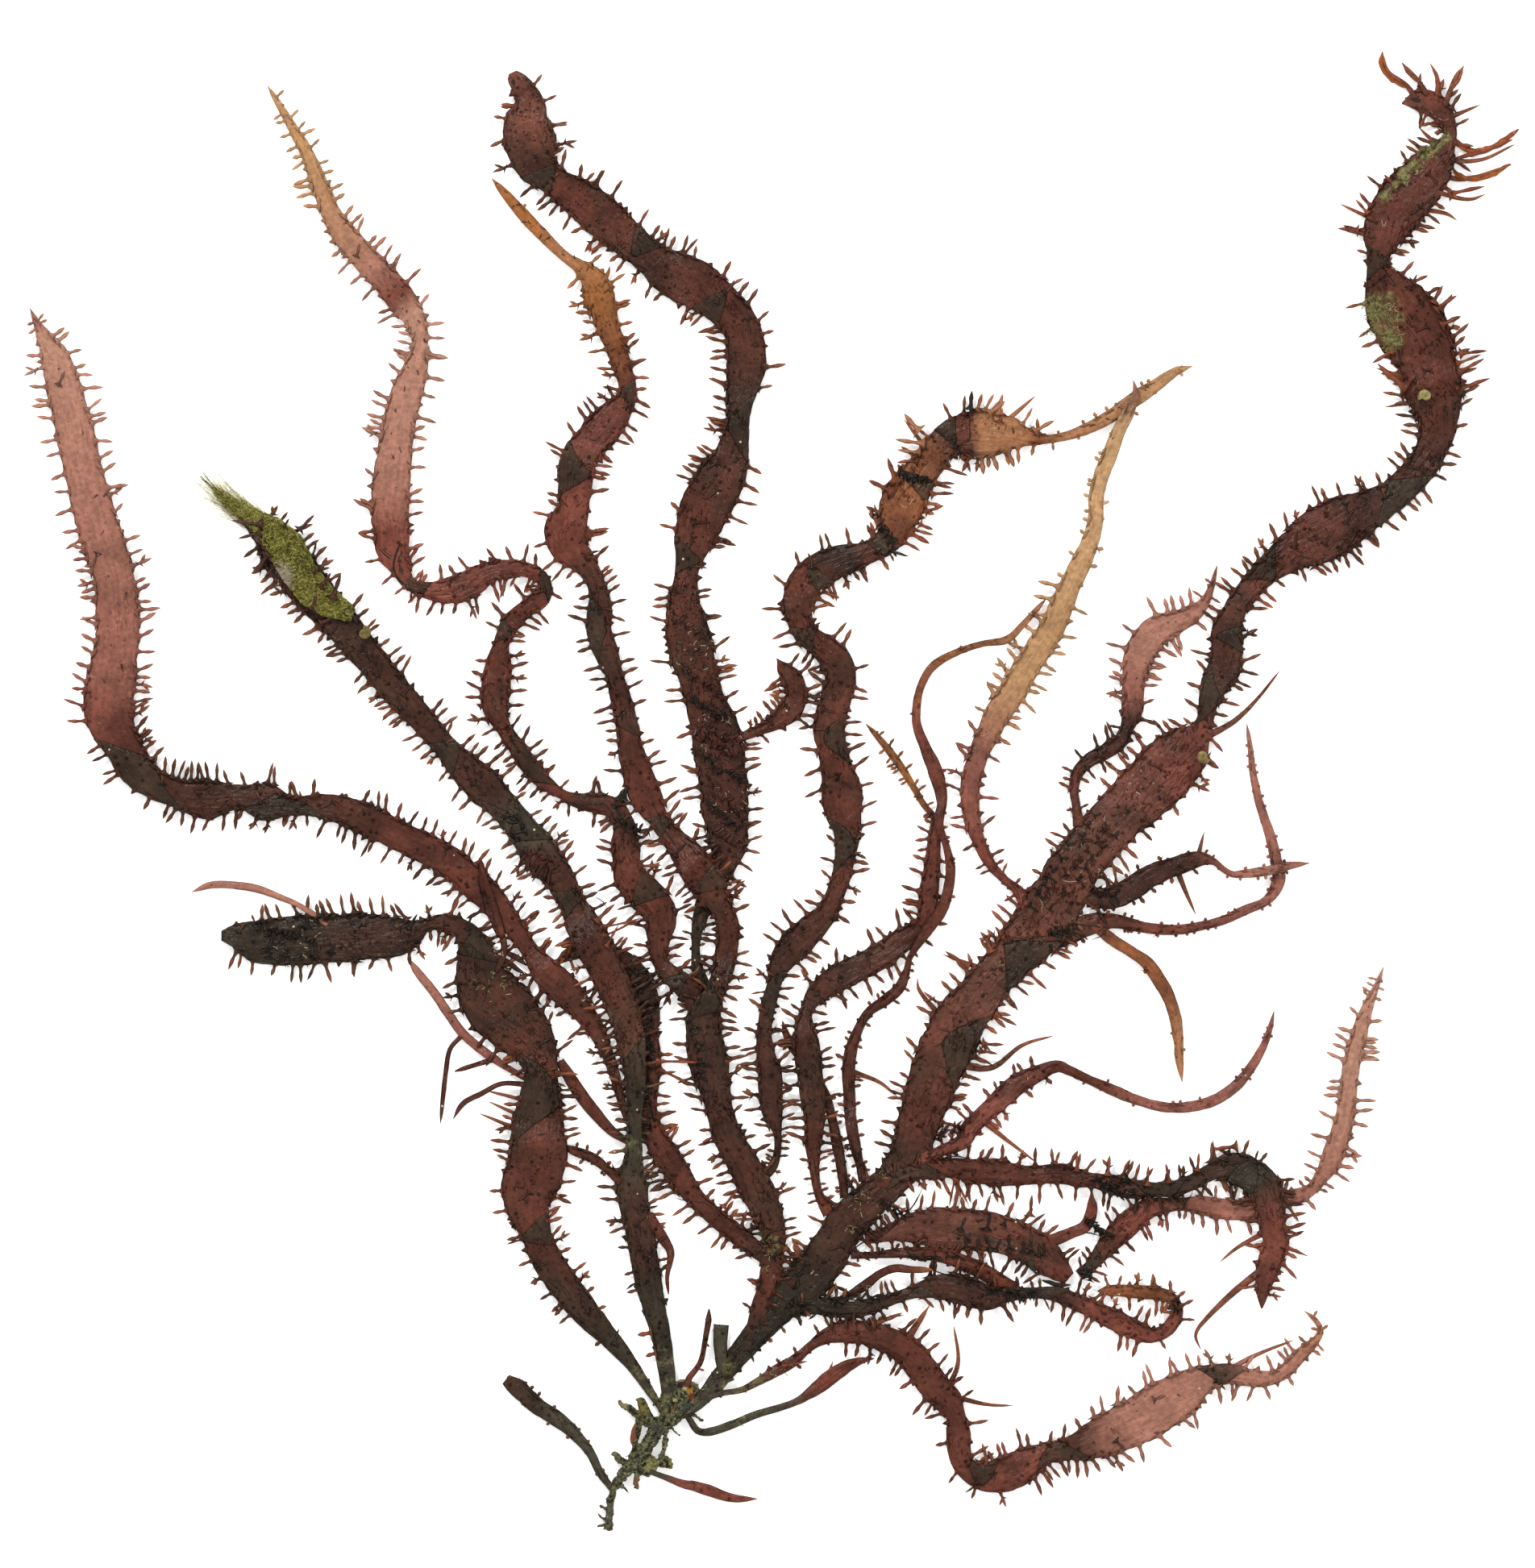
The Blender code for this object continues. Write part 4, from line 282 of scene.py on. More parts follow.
    "wide_red_blade": Blade([
        (25.5, 21.8, 1.6), (28.5, 22.4, 2.2), (31.5, 23.2, 4), (35, 23.3, 5.6), (39, 23, 6), (43, 22.9, 5.4),
        (47, 21.5, 5.2), (50.5, 19.6, 5), (52.6, 17.6, 3.6), (54.2, 16.2, 2)], on="right_tall_frond"),
    "red_up_blade": twig([(50.5, 21, 2.2), (54.5, 22.6, 1.6), (56.5, 23.6, 1.8), (57.4, 26, 1.6),
                          (57.3, 28.2, .8)], "wide_red_blade"),
    "upper_slim_blade": Blade([(23.5, 19.4, 1), (27, 19.5, 1), (30, 19.8, 1.4), (33, 19.8, 1.8),
                               (36, 19.5, 2), (39, 18.6, 2.2), (42, 17.2, 2.4), (44.5, 15.8, 2.2),
                               (47, 14.8, 1.6)],
                              "right_tall_frond", 1.6),
    "lowest_frond": Blade([
        (5.5, .1, .8), (8, .5, .9), (10.5, 1.7, 1.2), (13, 3.2, 1.7), (15.5, 4.6, 1.6), (17.8, 6.6, 1.3),
        (20, 8, 2.2), (22.5, 8.7, 3.2), (25.5, 8.5, 3.4), (28.5, 7.6, 3.8), (31.5, 6, 4.4), (33.4, 3.6, 4.4),
        (35.2, 1.2, 4.4), (37.2, -1, 4), (38.3, -3.2, 2.8), (38.6, -5.5, 3.4), (38.7, -7.6, 3.4),
        (39.2, -9.8, 3), (40.8, -11.3, 3.4), (43, -11.8, 4.2), (46, -11, 5.2), (48.5, -9.6, 4.4),
        (51, -8.4, 3.2), (54, -7.8, 3.2), (57, -6.8, 5), (60, -5.6, 6.2), (63.5, -3.9, 6.6), (67, -1.9, 7),
        (70, 0, 6.2), (72.3, 1.6, 4.6), (75, 2.6, 3.2), (77.5, 2.7, 2.7), (80, 2.2, 2.4), (82.5, 2.2, 2),
        (84.5, 3.1, 2), (86.3, 5, 2), (88, 6.6, 1.6), (89.3, 8, 1), (89.5, 9.3, .8), (88.7, 10.5, .7),
        (87.3, 11.6, .4)],
        on="right_tall_frond",
        spurs=[(.9, (76.4, 3.2), (80.5, 5.4), (85.7, 7.5)), (.9, (37, .4), (38.6, 4.4), (38, 9.5)),
               (.8, (38, -.4), (42.5, -1.5), (46.3, -1.7)), (1.2, (31.4, 7.6), (33.4, 10.6), (34.6, 12.4)),
               (.7, (26.2, 9.2), (29, 10.7), (31, 11))]),
    "looped_frond": Blade([
        (15, 11.5, 1.5), (18.5, 12.2, 2.2), (22, 11.9, 2.4), (25.5, 12, 2), (28.5, 13, 1.9), (32, 14.2, 1.8),
        (35.5, 15, 3.2), (39, 14.8, 4.2), (42.5, 13.6, 3.6), (46, 14, 2), (49.5, 14.2, 1.6), (52.5, 14, 2.2),
        (55, 13, 2.4), (57.5, 11.9, 2.6), (60.5, 10.4, 3), (63.5, 9, 2.8), (65.6, 8.2, 2.2), (67.4, 8.6, 2),
        (68.8, 10, 2), (69.4, 11.8, 1.7), (68.6, 13.4, 1.7), (66.5, 14.1, 2), (63, 14.4, 1.9),
        (60, 14.5, 1.6), (58.2, 14.4, .8)], on="right_tall_frond"),
    "lower_slim_blade": twig([(20.3, 12.2, 1.2), (23.5, 13.9, 1.2), (25.6, 15.3, 1.4), (27.5, 16.8, 1.2),
                              (29.8, 17.7, 1.2), (32, 17.5, 1), (35, 17.5, .8)], "looped_frond"),
    "pale_tip_frond": Blade([
        (55.6, 16.6, 1.6), (57.5, 18.2, 1.8), (59.5, 20.8, 2.8), (61.8, 23.2, 3.6), (64.2, 25.4, 3.2),
        (67, 26.4, 2.4), (70, 26.6, 1.8), (72.5, 26.5, 2.6), (75, 26.1, 2.9), (78, 25.8, 3), (81, 26.2, 3.4),
        (83.5, 27, 2.6), (85.8, 27.6, 2.4), (87.8, 28.4, 1.8), (89.2, 29.8, 1.9), (90.9, 32.5, 2.9),
        (91.8, 35, 3), (93, 39, 2.7), (93.6, 44, 2.5), (94.2, 47.5, 2.5), (95.1, 51, 2.2), (96.2, 54.5, 1.6),
        (97.4, 57.3, .9), (98.4, 60, .4)], on="wide_red_blade"),
    "bent_down_frond": Blade([
        (27.6, 29.3, 2), (31, 31, 2.2), (34.5, 31.3, 2.4), (38, 31.7, 2.8), (41, 31.2, 3.4), (44, 31.1, 3.8),
        (47, 30.7, 3), (50, 30.8, 2.6), (53, 30.9, 3), (55.5, 30.3, 2.6), (57.5, 30, 2.2), (60, 29.5, 2.8),
        (62.5, 28.9, 2.8), (66.5, 28.7, 2), (69.5, 29, 2.2), (72, 30, 2.2), (74.5, 31.3, 2.6),
        (77, 31.8, 4.2), (79.5, 31, 4.6), (81.5, 29.3, 4.6), (82.3, 26.5, 4.4), (82.8, 23.5, 3.8),
        (83.3, 21, 3.6), (82.4, 18.3, 3.6), (81.7, 16, 2.8), (81.4, 14, 1.6), (81.3, 12, 1)],
        on="right_tall_frond",
        spurs=[(.8, (81.6, 22.6), (78, 20.6), (75.4, 18.5)),
               (1.2, (81.4, 17.4), (78.5, 15.2), (76, 13), (73.5, 10.5), (72, 8.3), (72.7, 6.2)),
               (.7, (84.2, 20.8), (87.8, 19.3)), (.7, (84, 23), (86.8, 22.4)),
               (.7, (77.6, 33.2), (74.5, 34.7))]),
    "rising_branch": Blade([
        (33, 32.8, 1.6), (36.5, 34.2, 1.6), (39.3, 35.5, 2.2), (40.2, 37.3, 2.6), (42, 39, 2.6),
        (44.5, 41.3, 2.9), (47, 43.5, 3), (49.8, 45, 2.4), (52.5, 46, 1.7), (54.5, 45.3, 1.4),
        (57.5, 43.9, 1.3), (60.5, 42.6, 1.6), (64, 41.2, 1.4), (67.5, 40.3, 1.4), (71, 40.3, 1.5),
        (74.5, 41.2, 1.6), (77.5, 43.1, 1.6), (79.8, 45.9, 1.4), (81.6, 49, 1.1), (82.6, 52, .7),
        (83, 53.8, .4)], "right_tall_frond", 2,
        spurs=[(.9, (42, 38.4), (45, 36), (49.5, 32.6))]),
    "slim_frond_short": Blade([
        (22.6, 27.5, 1.2), (22.3, 31, 1.4), (21.6, 35, 1.6), (20.8, 39, 1.3), (19.8, 42.5, 1.2),
        (17, 46.5, 1.2), (15.4, 48.7, 1.4), (14.4, 50.6, 1), (13.9, 52.4, .6)], "right_tall_frond", 1.6),
    "slim_frond_long": Blade([
        (20.5, 25.3, 2), (19, 28, 1.3), (18.5, 30.5, 1.3), (18.3, 33, 1.7), (18.2, 35.5, 2.5), (18.4, 39, 3),
        (18, 43, 3.6), (17.5, 47, 3.7), (17.2, 49.8, 3.6), (17, 52, 2.6), (17.4, 54, 1.9), (18.8, 56.3, 3),
        (21, 58, 3.7), (24.5, 59.8, 3.8), (28, 61.8, 3.7), (31, 63.9, 3.3), (33.2, 65.6, 2.4),
        (34.1, 67.6, 2.2), (34.4, 70, 2.8), (34.8, 73, 2.4), (35.1, 76, 2.1), (35.3, 79, 1.6), (35.2, 81, 1),
        (33.8, 82.8, .9), (32.6, 84.8, .9), (31, 87.5, 1.1), (29, 90.3, 1.1), (27, 92.7, .8),
        (25.6, 94.2, .4)],
        on="right_tall_frond"),
    "slim_frond_bent": Blade([
        (25.2, 29.8, 1.2), (24.8, 32, 1.2), (24.1, 35, 1.6), (23.5, 38.5, 1.7), (23.3, 42, 1.7),
        (23.2, 45.5, 1.9), (23.6, 48.5, 1.8), (24.6, 51.3, 1.4), (26, 53.6, 1.3), (28.3, 55.3, 1.6),
        (30.3, 57, 1.6), (31.3, 59.3, 1.1), (31.8, 61.3, .9), (33, 63.3, 1.2), (34.5, 65.5, 1.6),
        (36.2, 68, 1.7), (37.2, 71, 1.5), (37.5, 74, 1.4), (36.9, 77, 1), (36, 79.5, 1.2), (35.9, 81, 1.4),
        (36.3, 83, 1.5), (36, 85.5, 1.9), (35.2, 88, 2.1), (33.9, 91, 1.6), (32.8, 94, 1.3), (32.8, 97, 1.2),
        (33.5, 99.8, 1.1), (35.2, 102.4, 1.2), (38.5, 104.3, 1), (42, 105.4, .9), (45.4, 106, 1.1),
        (47.5, 107.9, .9), (49.4, 110, .8), (51, 111.8, .4)],
        "right_tall_frond", 1.8, spurs=[(.8, (23.6, 45.3), (27.5, 43.8), (30, 41.8))]),
    "curled_frond": Blade([
        (10.4, 30.2, 2), (12.4, 31.6, 1.3), (13.2, 34, 1.1), (13.2, 36.5, 1.2), (12.7, 38.6, 2.4),
        (12.2, 41, 3.2), (12.2, 44.5, 3.4), (11.6, 47.5, 2.8), (11.3, 50, 2.2), (11.5, 52.5, 2),
        (12, 55, 2.2), (12.7, 57.5, 2), (13.4, 60, 3), (15.2, 62.6, 4.4), (17.4, 64.9, 4.2), (19.6, 67, 3.4),
        (21.1, 69.6, 2.7), (22.1, 72.5, 2.7), (22.7, 75.5, 3), (23, 79, 3.8), (22.5, 82, 5.2),
        (22.2, 85, 5.8), (21.5, 88, 4.4), (20.8, 91, 4.2), (20.4, 94, 4.5), (21.2, 97, 4.4), (22, 100, 4.4),
        (21.6, 102.8, 4.4), (19.8, 104.8, 3.8), (17.6, 106.5, 3.4), (16.4, 108.6, 3.6), (16.1, 111, 4.6),
        (17.1, 113.7, 5.2), (19.1, 115.7, 4.8), (22, 117.1, 4.6), (25.2, 118, 3.4), (27.8, 119.2, 3.4),
        (29.5, 121.2, 4.6), (30.3, 123.7, 6), (31.2, 126.2, 6.4), (32.8, 128.6, 5.2), (34.4, 130.8, 4.6),
        (35.8, 132.9, 4.8), (37.8, 134.4, 4.8), (40.3, 135, 6.6), (43, 135, 6.6), (46, 134.9, 4.8),
        (48.6, 134.4, 2.4), (51.2, 134.2, 1.3), (54, 134.7, 1.3), (57, 135.8, 1.7), (60, 137.4, 1.9),
        (63, 139.5, 2.1), (66, 141.5, 1.9), (69, 143.6, 1.3), (71.6, 144.5, .4)],
        on="middle_frond",
        spurs=[(.9, (45, 136.4), (49.5, 140.3)), (.7, (42.6, 137.2), (45, 140.2)),
               (.7, (40.4, 137.4), (40.5, 141)), (.7, (34.2, 132.8), (31, 137))]),
    "pale_frond": Blade([
        (48.5, 68.5, 2.5), (46.9, 70.8, 1.5), (45.2, 72.2, 1.2), (43.6, 73.9, 1.4), (42.5, 75.5, 1.7),
        (41.4, 78, 1.9), (40.6, 80.5, 2.3), (40.3, 83, 2.6), (40.4, 86, 2.8), (41.5, 90, 2.9),
        (42.9, 93, 3.3), (44.4, 96, 3.7), (46.5, 99, 3.9), (48.1, 102, 3.7), (50.1, 105, 3.8),
        (52, 108, 3.6), (53.2, 111, 3.4), (54.5, 114, 3.1), (56, 117, 2.9), (57.2, 120, 2.4),
        (57.9, 123, 2.2), (58, 126, 2.1), (58.7, 129, 2.2), (59.9, 132, 2.2), (61, 135, 2), (62.5, 138, 1.7),
        (63.5, 140.5, 1), (63.2, 142.5, .4)], on="right_tall_frond"),
    "pink_branch": Blade([
        (55.6, 79.8, 1.8), (55.2, 82.5, 1.3), (54.9, 85, 1.4), (55.4, 87.3, 1.8), (57, 89, 2),
        (59.2, 90.2, 2.2), (61.4, 91.8, 2.2), (62.4, 93.8, 2), (63, 95.8, 3), (63.2, 98, 3.1),
        (63.3, 100.5, 3.4), (63.9, 103.3, 4.2), (65, 105.5, 4.5), (66.8, 107.4, 4.2), (69.6, 108.6, 3.2),
        (71.6, 109.7, 2.6), (73.2, 111.2, 1.6), (74.2, 113.4, .9), (75, 116.4, .5)], on="right_tall_frond"),
    "falling_branch": Blade([
        (49, 62.6, 2), (51, 63.6, 3), (54.5, 65, 3.4), (58, 66.2, 2.8), (61, 66.4, 2), (65, 65.5, 1.6),
        (69, 65.2, 1.5), (72.5, 65.7, 1.3), (76, 66.6, 1.3), (79, 68, 1.4), (81.5, 69, 1.3), (83, 70.5, 1.6),
        (83.7, 72.5, 1.9), (83.3, 75, 1.7), (82.6, 78, 1.5), (81.6, 81, 1.3), (80.7, 84, 1.2), (80, 87.5, 1),
        (79.7, 90.5, .8), (79.2, 94.2, .4)], "right_tall_frond", 2),
    "hooked_branch": Blade([
        (57.6, 66, 1.6), (60.2, 63.9, 1.6), (62.8, 62.2, 1.6), (65, 60.7, 1.8), (66.8, 58.3, 2),
        (68.3, 55.5, 1.8), (69.2, 52.5, 1.7), (69.6, 49.5, 1.4), (69.7, 47, 1.2), (70.1, 43.8, .4)],
        "falling_branch", 1.8),
    "arched_branch": Blade([
        (56.6, 69.6, 2.5), (60.2, 69.8, 3.2), (63, 71, 3.4), (65.5, 72.7, 3.2), (68.5, 73.9, 2.8),
        (71, 74.8, 2.6), (72.9, 75.2, 2), (74.6, 74.8, 1), (75.8, 73.8, .9), (77.2, 73, .9), (79, 73.1, 1.2),
        (82, 73.5, 1.4), (85, 74.2, 1.2), (88, 74.6, .4)], on="right_tall_frond",
        spurs=[(.7, (72.4, 75.8), (73.2, 79)), (.9, (69.4, 73.6), (70.7, 70.3), (72, 67.4))]),
    "low_left_blade": Blade([
        (-10, -13.6, .9), (-11.8, -11, 1.2), (-13, -8.5, 1.3), (-15, -6, 1.7), (-17.5, -3.8, 2.2),
        (-20.5, -1.8, 2.4), (-23.2, .6, 2.6), (-25, 2, 1.6)], "stipe", 1),
    "low_red_blade": Blade([
        (-6.2, -10.4, .8), (-3.5, -11.4, .8), (0, -12.7, 1.2), (1.5, -13, 1.5), (3.5, -13.6, 1.6),
        (7, -14.7, 1.2), (10.4, -14.8, .4)], "stipe", 0),
    "low_folded_blade": Blade([
        (.6, -3.2, .9), (2, -5.2, 1), (4, -5.3, 1.2), (7, -4.3, 1.2), (10, -3, 1.1), (14, -1.8, 1),
        (16.5, -.8, 1.2), (19, 1, 2), (20.5, 2.2, 2.2), (23, 3.8, 1.8), (25, 4.6, 1), (26.8, 4.9, .4)],
        "stipe", 0, spurs=[(.7, (20.4, 2.6), (21, 4.6))]),
    "crown_blade": Blade([
        (.9, 2.4, .9), (2.4, 4.5, .8), (3.1, 8, .8), (3.5, 10.2, .9), (3.6, 12, .7)], "stipe", 0),
    "green_tuft": Blade([
        (-46.4, 109.4, 2), (-48.6, 110.4, 3.6), (-51.6, 112.4, 4.8), (-54, 115.4, 5), (-55.6, 118.6, 5.6),
        (-57.6, 121, 4.4), (-60.4, 123, 2.9), (-63.2, 124.9, 2.1), (-65.8, 126.9, 1.4), (-68, 129, .5)],
        None, 0,
        spurs=[(.7, (-62.4, 124.4), (-65.2, 127.6), (-66.6, 130.9)), (.6, (-61.5, 123.4), (-65.4, 123.6)),
               (.6, (-59.2, 122.6), (-60.4, 124.4), (-62.6, 126.2))]),
}

# The side blades that belong to each frond's own piece
FUSED = {
    "right_tall_frond": ["cut_stump"],
    "bumpy_frond": ["bumpy_side_blade"],
    "left_tall_frond": ["left_pouch", "left_small_blade", "left_under_blade"],
    "left_blunt_frond": ["thin_side_blade", "thin_fork_upper", "thin_fork_lower", "thin_low_blade",
                         "pale_side_blade", "narrow_dark_blade"],
    "wide_red_blade": ["red_up_blade"],
    "looped_frond": ["lower_slim_blade"],
}

# The stalk from its foot to the crown: (x, y, width)
STIPE = [
    (-10.6, -19.2, 1.25), (-10.4, -16.5, 1.15), (-10.1, -14, 1.1), (-9.5, -12.6, 1.4), (-8.2, -10.9, 1.9),
    (-6.4, -9.4, 2.1), (-5, -7.2, 2.1), (-3.9, -5, 2.2), (-2.3, -3.9, 2.3), (-0.8, -2.7, 2.4),
    (0.2, -1.4, 2.4),
]

# The snail shells and their colours
SHELLS = [("snail_shell_right", (150, 138, 92)), ("snail_shell_middle", (146, 124, 78)),
          ("snail_shell_left", (120, 104, 56))]

# The side blades' own fronds
MAIN_OF = {branch: main for main, branches in FUSED.items() for branch in branches}

# The part of a colour that is used, because the strong light adds the rest
SHADE = 0.88


def paint(red, green, blue):
    """A colour given as 0 to 255 on screen, in the renderer's linear values and darkened by SHADE."""
    linear = []
    for value in (red / 255, green / 255, blue / 255):
        linear.append(value / 12.92 if value <= 0.04045 else ((value + 0.055) / 1.055) ** 2.4)
    return tuple(value * SHADE for value in linear)


def blend(first, second, share):
    """A colour between two others, where share is the second one's part."""
    return (1 - share) * np.array(first) + share * np.array(second)


MAROON = paint(86, 45, 34)
UMBER = paint(98, 57, 45)
DEEP = paint(65, 38, 29)
BLACKISH = paint(47, 39, 29)
GREYGREEN = paint(70, 65, 52)
PLUM = paint(113, 61, 49)
ROSE = paint(138, 86, 73)
DUSTY = paint(156, 106, 89)
PALE_ROSE = paint(170, 124, 104)
WINE = paint(106, 52, 39)
BRICK = paint(124, 74, 46)
CLAY = paint(156, 106, 72)
ORANGE = paint(150, 94, 50)
TAN = paint(172, 130, 90)
SAND = paint(180, 142, 102)
SPINE_TIP = paint(142, 84, 52)
# The dark of ridges, dots and spine feet, also used as painted shade on spine tips that lie over another
# blade
RIDGE_AND_SHADE = paint(34, 26, 23)


# Colour along a blade as (share of its length, colour), and how clear it is, from 0 opaque to 1
TINTS = {
    "right_tall_frond": ([(0, GREYGREEN), (.05, BLACKISH), (.10, BLACKISH), (.16, DEEP), (.24, MAROON),
                          (.3, UMBER), (.42, UMBER), (.5, PLUM), (.56, DEEP), (.6, MAROON), (.66, MAROON),
                          (.7, DEEP), (.74, DEEP), (.78, MAROON), (.97, MAROON), (1, PLUM)], .1),
    "cut_stump": ([(0, GREYGREEN), (1, GREYGREEN)], .1),
    "bumpy_frond": ([(0, BLACKISH), (.06, BLACKISH), (.12, DEEP), (.5, MAROON), (.6, DEEP), (.7, MAROON),
                     (.76, DEEP), (.82, MAROON), (.88, MAROON), (.91, DEEP), (.94, UMBER), (1, UMBER)], .1),
    "middle_frond": ([(0, BLACKISH), (.06, MAROON), (.2, DEEP), (.3, DEEP), (.36, MAROON), (.5, MAROON),
                      (.58, DEEP), (.63, MAROON), (.7, PLUM), (.8, MAROON), (.84, BRICK), (.88, ORANGE),
                      (.92, CLAY), (.95, ORANGE), (1, ORANGE)], .3),
    "crossing_frond": ([(0, DEEP), (.3, MAROON), (1, DEEP)], .1),
    "left_tall_frond": ([(0, GREYGREEN), (.06, BLACKISH), (.12, BLACKISH), (.16, DEEP), (.2, DEEP),
                         (.27, GREYGREEN), (.4, MAROON), (.55, DEEP), (.6, GREYGREEN), (.64, DEEP),
                         (.9, DEEP), (1, DEEP)], .1),
    "far_left_frond": ([(0, DEEP), (.12, MAROON), (.3, MAROON), (.5, DEEP), (.6, MAROON), (.63, PLUM),
                        (.68, ROSE), (.85, DUSTY), (.97, PALE_ROSE), (1, ROSE)], .5),
    "left_blunt_frond": ([(0, GREYGREEN), (.12, BLACKISH), (.22, DEEP), (.3, MAROON), (.5, MAROON),
                          (.62, DEEP), (.75, DEEP), (1, BLACKISH)], .1),
    "thin_side_blade": ([(0, PLUM), (.5, ROSE), (1, DUSTY)], .5),
    "pale_side_blade": ([(0, DUSTY), (1, DUSTY)], .5),
    "upper_left_frond": ([(0, DEEP), (.1, MAROON), (.25, MAROON), (.4, MAROON), (.5, PLUM), (.6, PLUM),
                          (.64, DUSTY), (.78, PALE_ROSE), (.8, PLUM), (.83, DUSTY), (.93, TAN), (1, TAN)],
                         .5),
    "wide_red_blade": ([(0, MAROON), (.15, UMBER), (.6, UMBER), (1, MAROON)], .4),
    "red_up_blade": ([(0, WINE), (1, PLUM)], .5),
    "upper_slim_blade": ([(0, DEEP), (1, WINE)], .3),
    "lowest_frond": ([(0, GREYGREEN), (.1, MAROON), (.2, MAROON), (.4, MAROON), (.55, PLUM), (.6, MAROON),
                      (.68, DUSTY), (.8, DUSTY), (.86, DUSTY), (.9, DUSTY), (1, CLAY)], .5),
    "looped_frond": ([(0, BLACKISH), (.3, DEEP), (.56, DEEP), (.62, PLUM), (.8, PLUM), (.88, BRICK),
                      (1, BRICK)], .3),
    "lower_slim_blade": ([(0, DEEP), (.8, MAROON), (1, ORANGE)], .3),
    "pale_tip_frond": ([(0, MAROON), (.2, PLUM), (.3, ROSE), (.6, DUSTY), (.8, PALE_ROSE), (1, PALE_ROSE)],
                       .6),
    "bent_down_frond": ([(0, MAROON), (.2, MAROON), (.6, DEEP), (.75, BLACKISH), (.82, PLUM), (.9, PLUM),
                         (1, PLUM)], .2),
    "rising_branch": ([(0, PLUM), (.3, PLUM), (.38, MAROON), (.5, MAROON), (.6, ROSE), (1, ROSE)], .4),
    "slim_frond_short": ([(0, DEEP), (1, MAROON)], .2),
    "slim_frond_long": ([(0, MAROON), (.35, DEEP), (.62, MAROON), (.8, PLUM), (.88, ORANGE), (1, BRICK)],
                        .3),
    "slim_frond_bent": ([(0, DEEP), (.4, MAROON), (.7, PLUM), (.78, BRICK), (1, CLAY)], .3),
    "curled_frond": ([(0, DEEP), (.2, DEEP), (.35, MAROON), (.5, MAROON), (.58, MAROON), (.62, DEEP),
                      (.66, MAROON), (.69, BRICK), (.75, BRICK), (.77, MAROON), (.785, MAROON), (.795, CLAY),
                      (.83, CLAY), (.845, BRICK), (.87, CLAY), (1, TAN)], .3),
    "pale_frond": ([(0, PLUM), (.12, PLUM), (.3, ROSE), (.45, TAN), (.9, SAND), (1, ROSE)], .6),
    "pink_branch": ([(0, PLUM), (.2, DEEP), (.4, DEEP), (.5, ROSE), (.6, DUSTY), (.8, DUSTY), (1, ROSE)],
                    .5),
    "falling_branch": ([(0, DEEP), (.3, PLUM), (.6, ROSE), (1, DUSTY)], .5),
    "hooked_branch": ([(0, PLUM), (.12, BRICK), (.5, BRICK), (.75, CLAY), (1, CLAY)], .4),
    "arched_branch": ([(0, DEEP), (.5, DEEP), (.65, ROSE), (.8, DUSTY), (1, ROSE)], .4),
    "low_left_blade": ([(0, GREYGREEN), (.5, GREYGREEN), (1, DEEP)], .1),
    "low_red_blade": ([(0, GREYGREEN), (.25, GREYGREEN), (.45, PLUM), (1, PLUM)], .4),
    "low_folded_blade": ([(0, GREYGREEN), (.5, GREYGREEN), (.75, WINE), (1, MAROON)], .4),
    "crown_blade": ([(0, MAROON), (1, MAROON)], .3),
}
PLAIN = ([(0, MAROON), (1, MAROON)], .2)

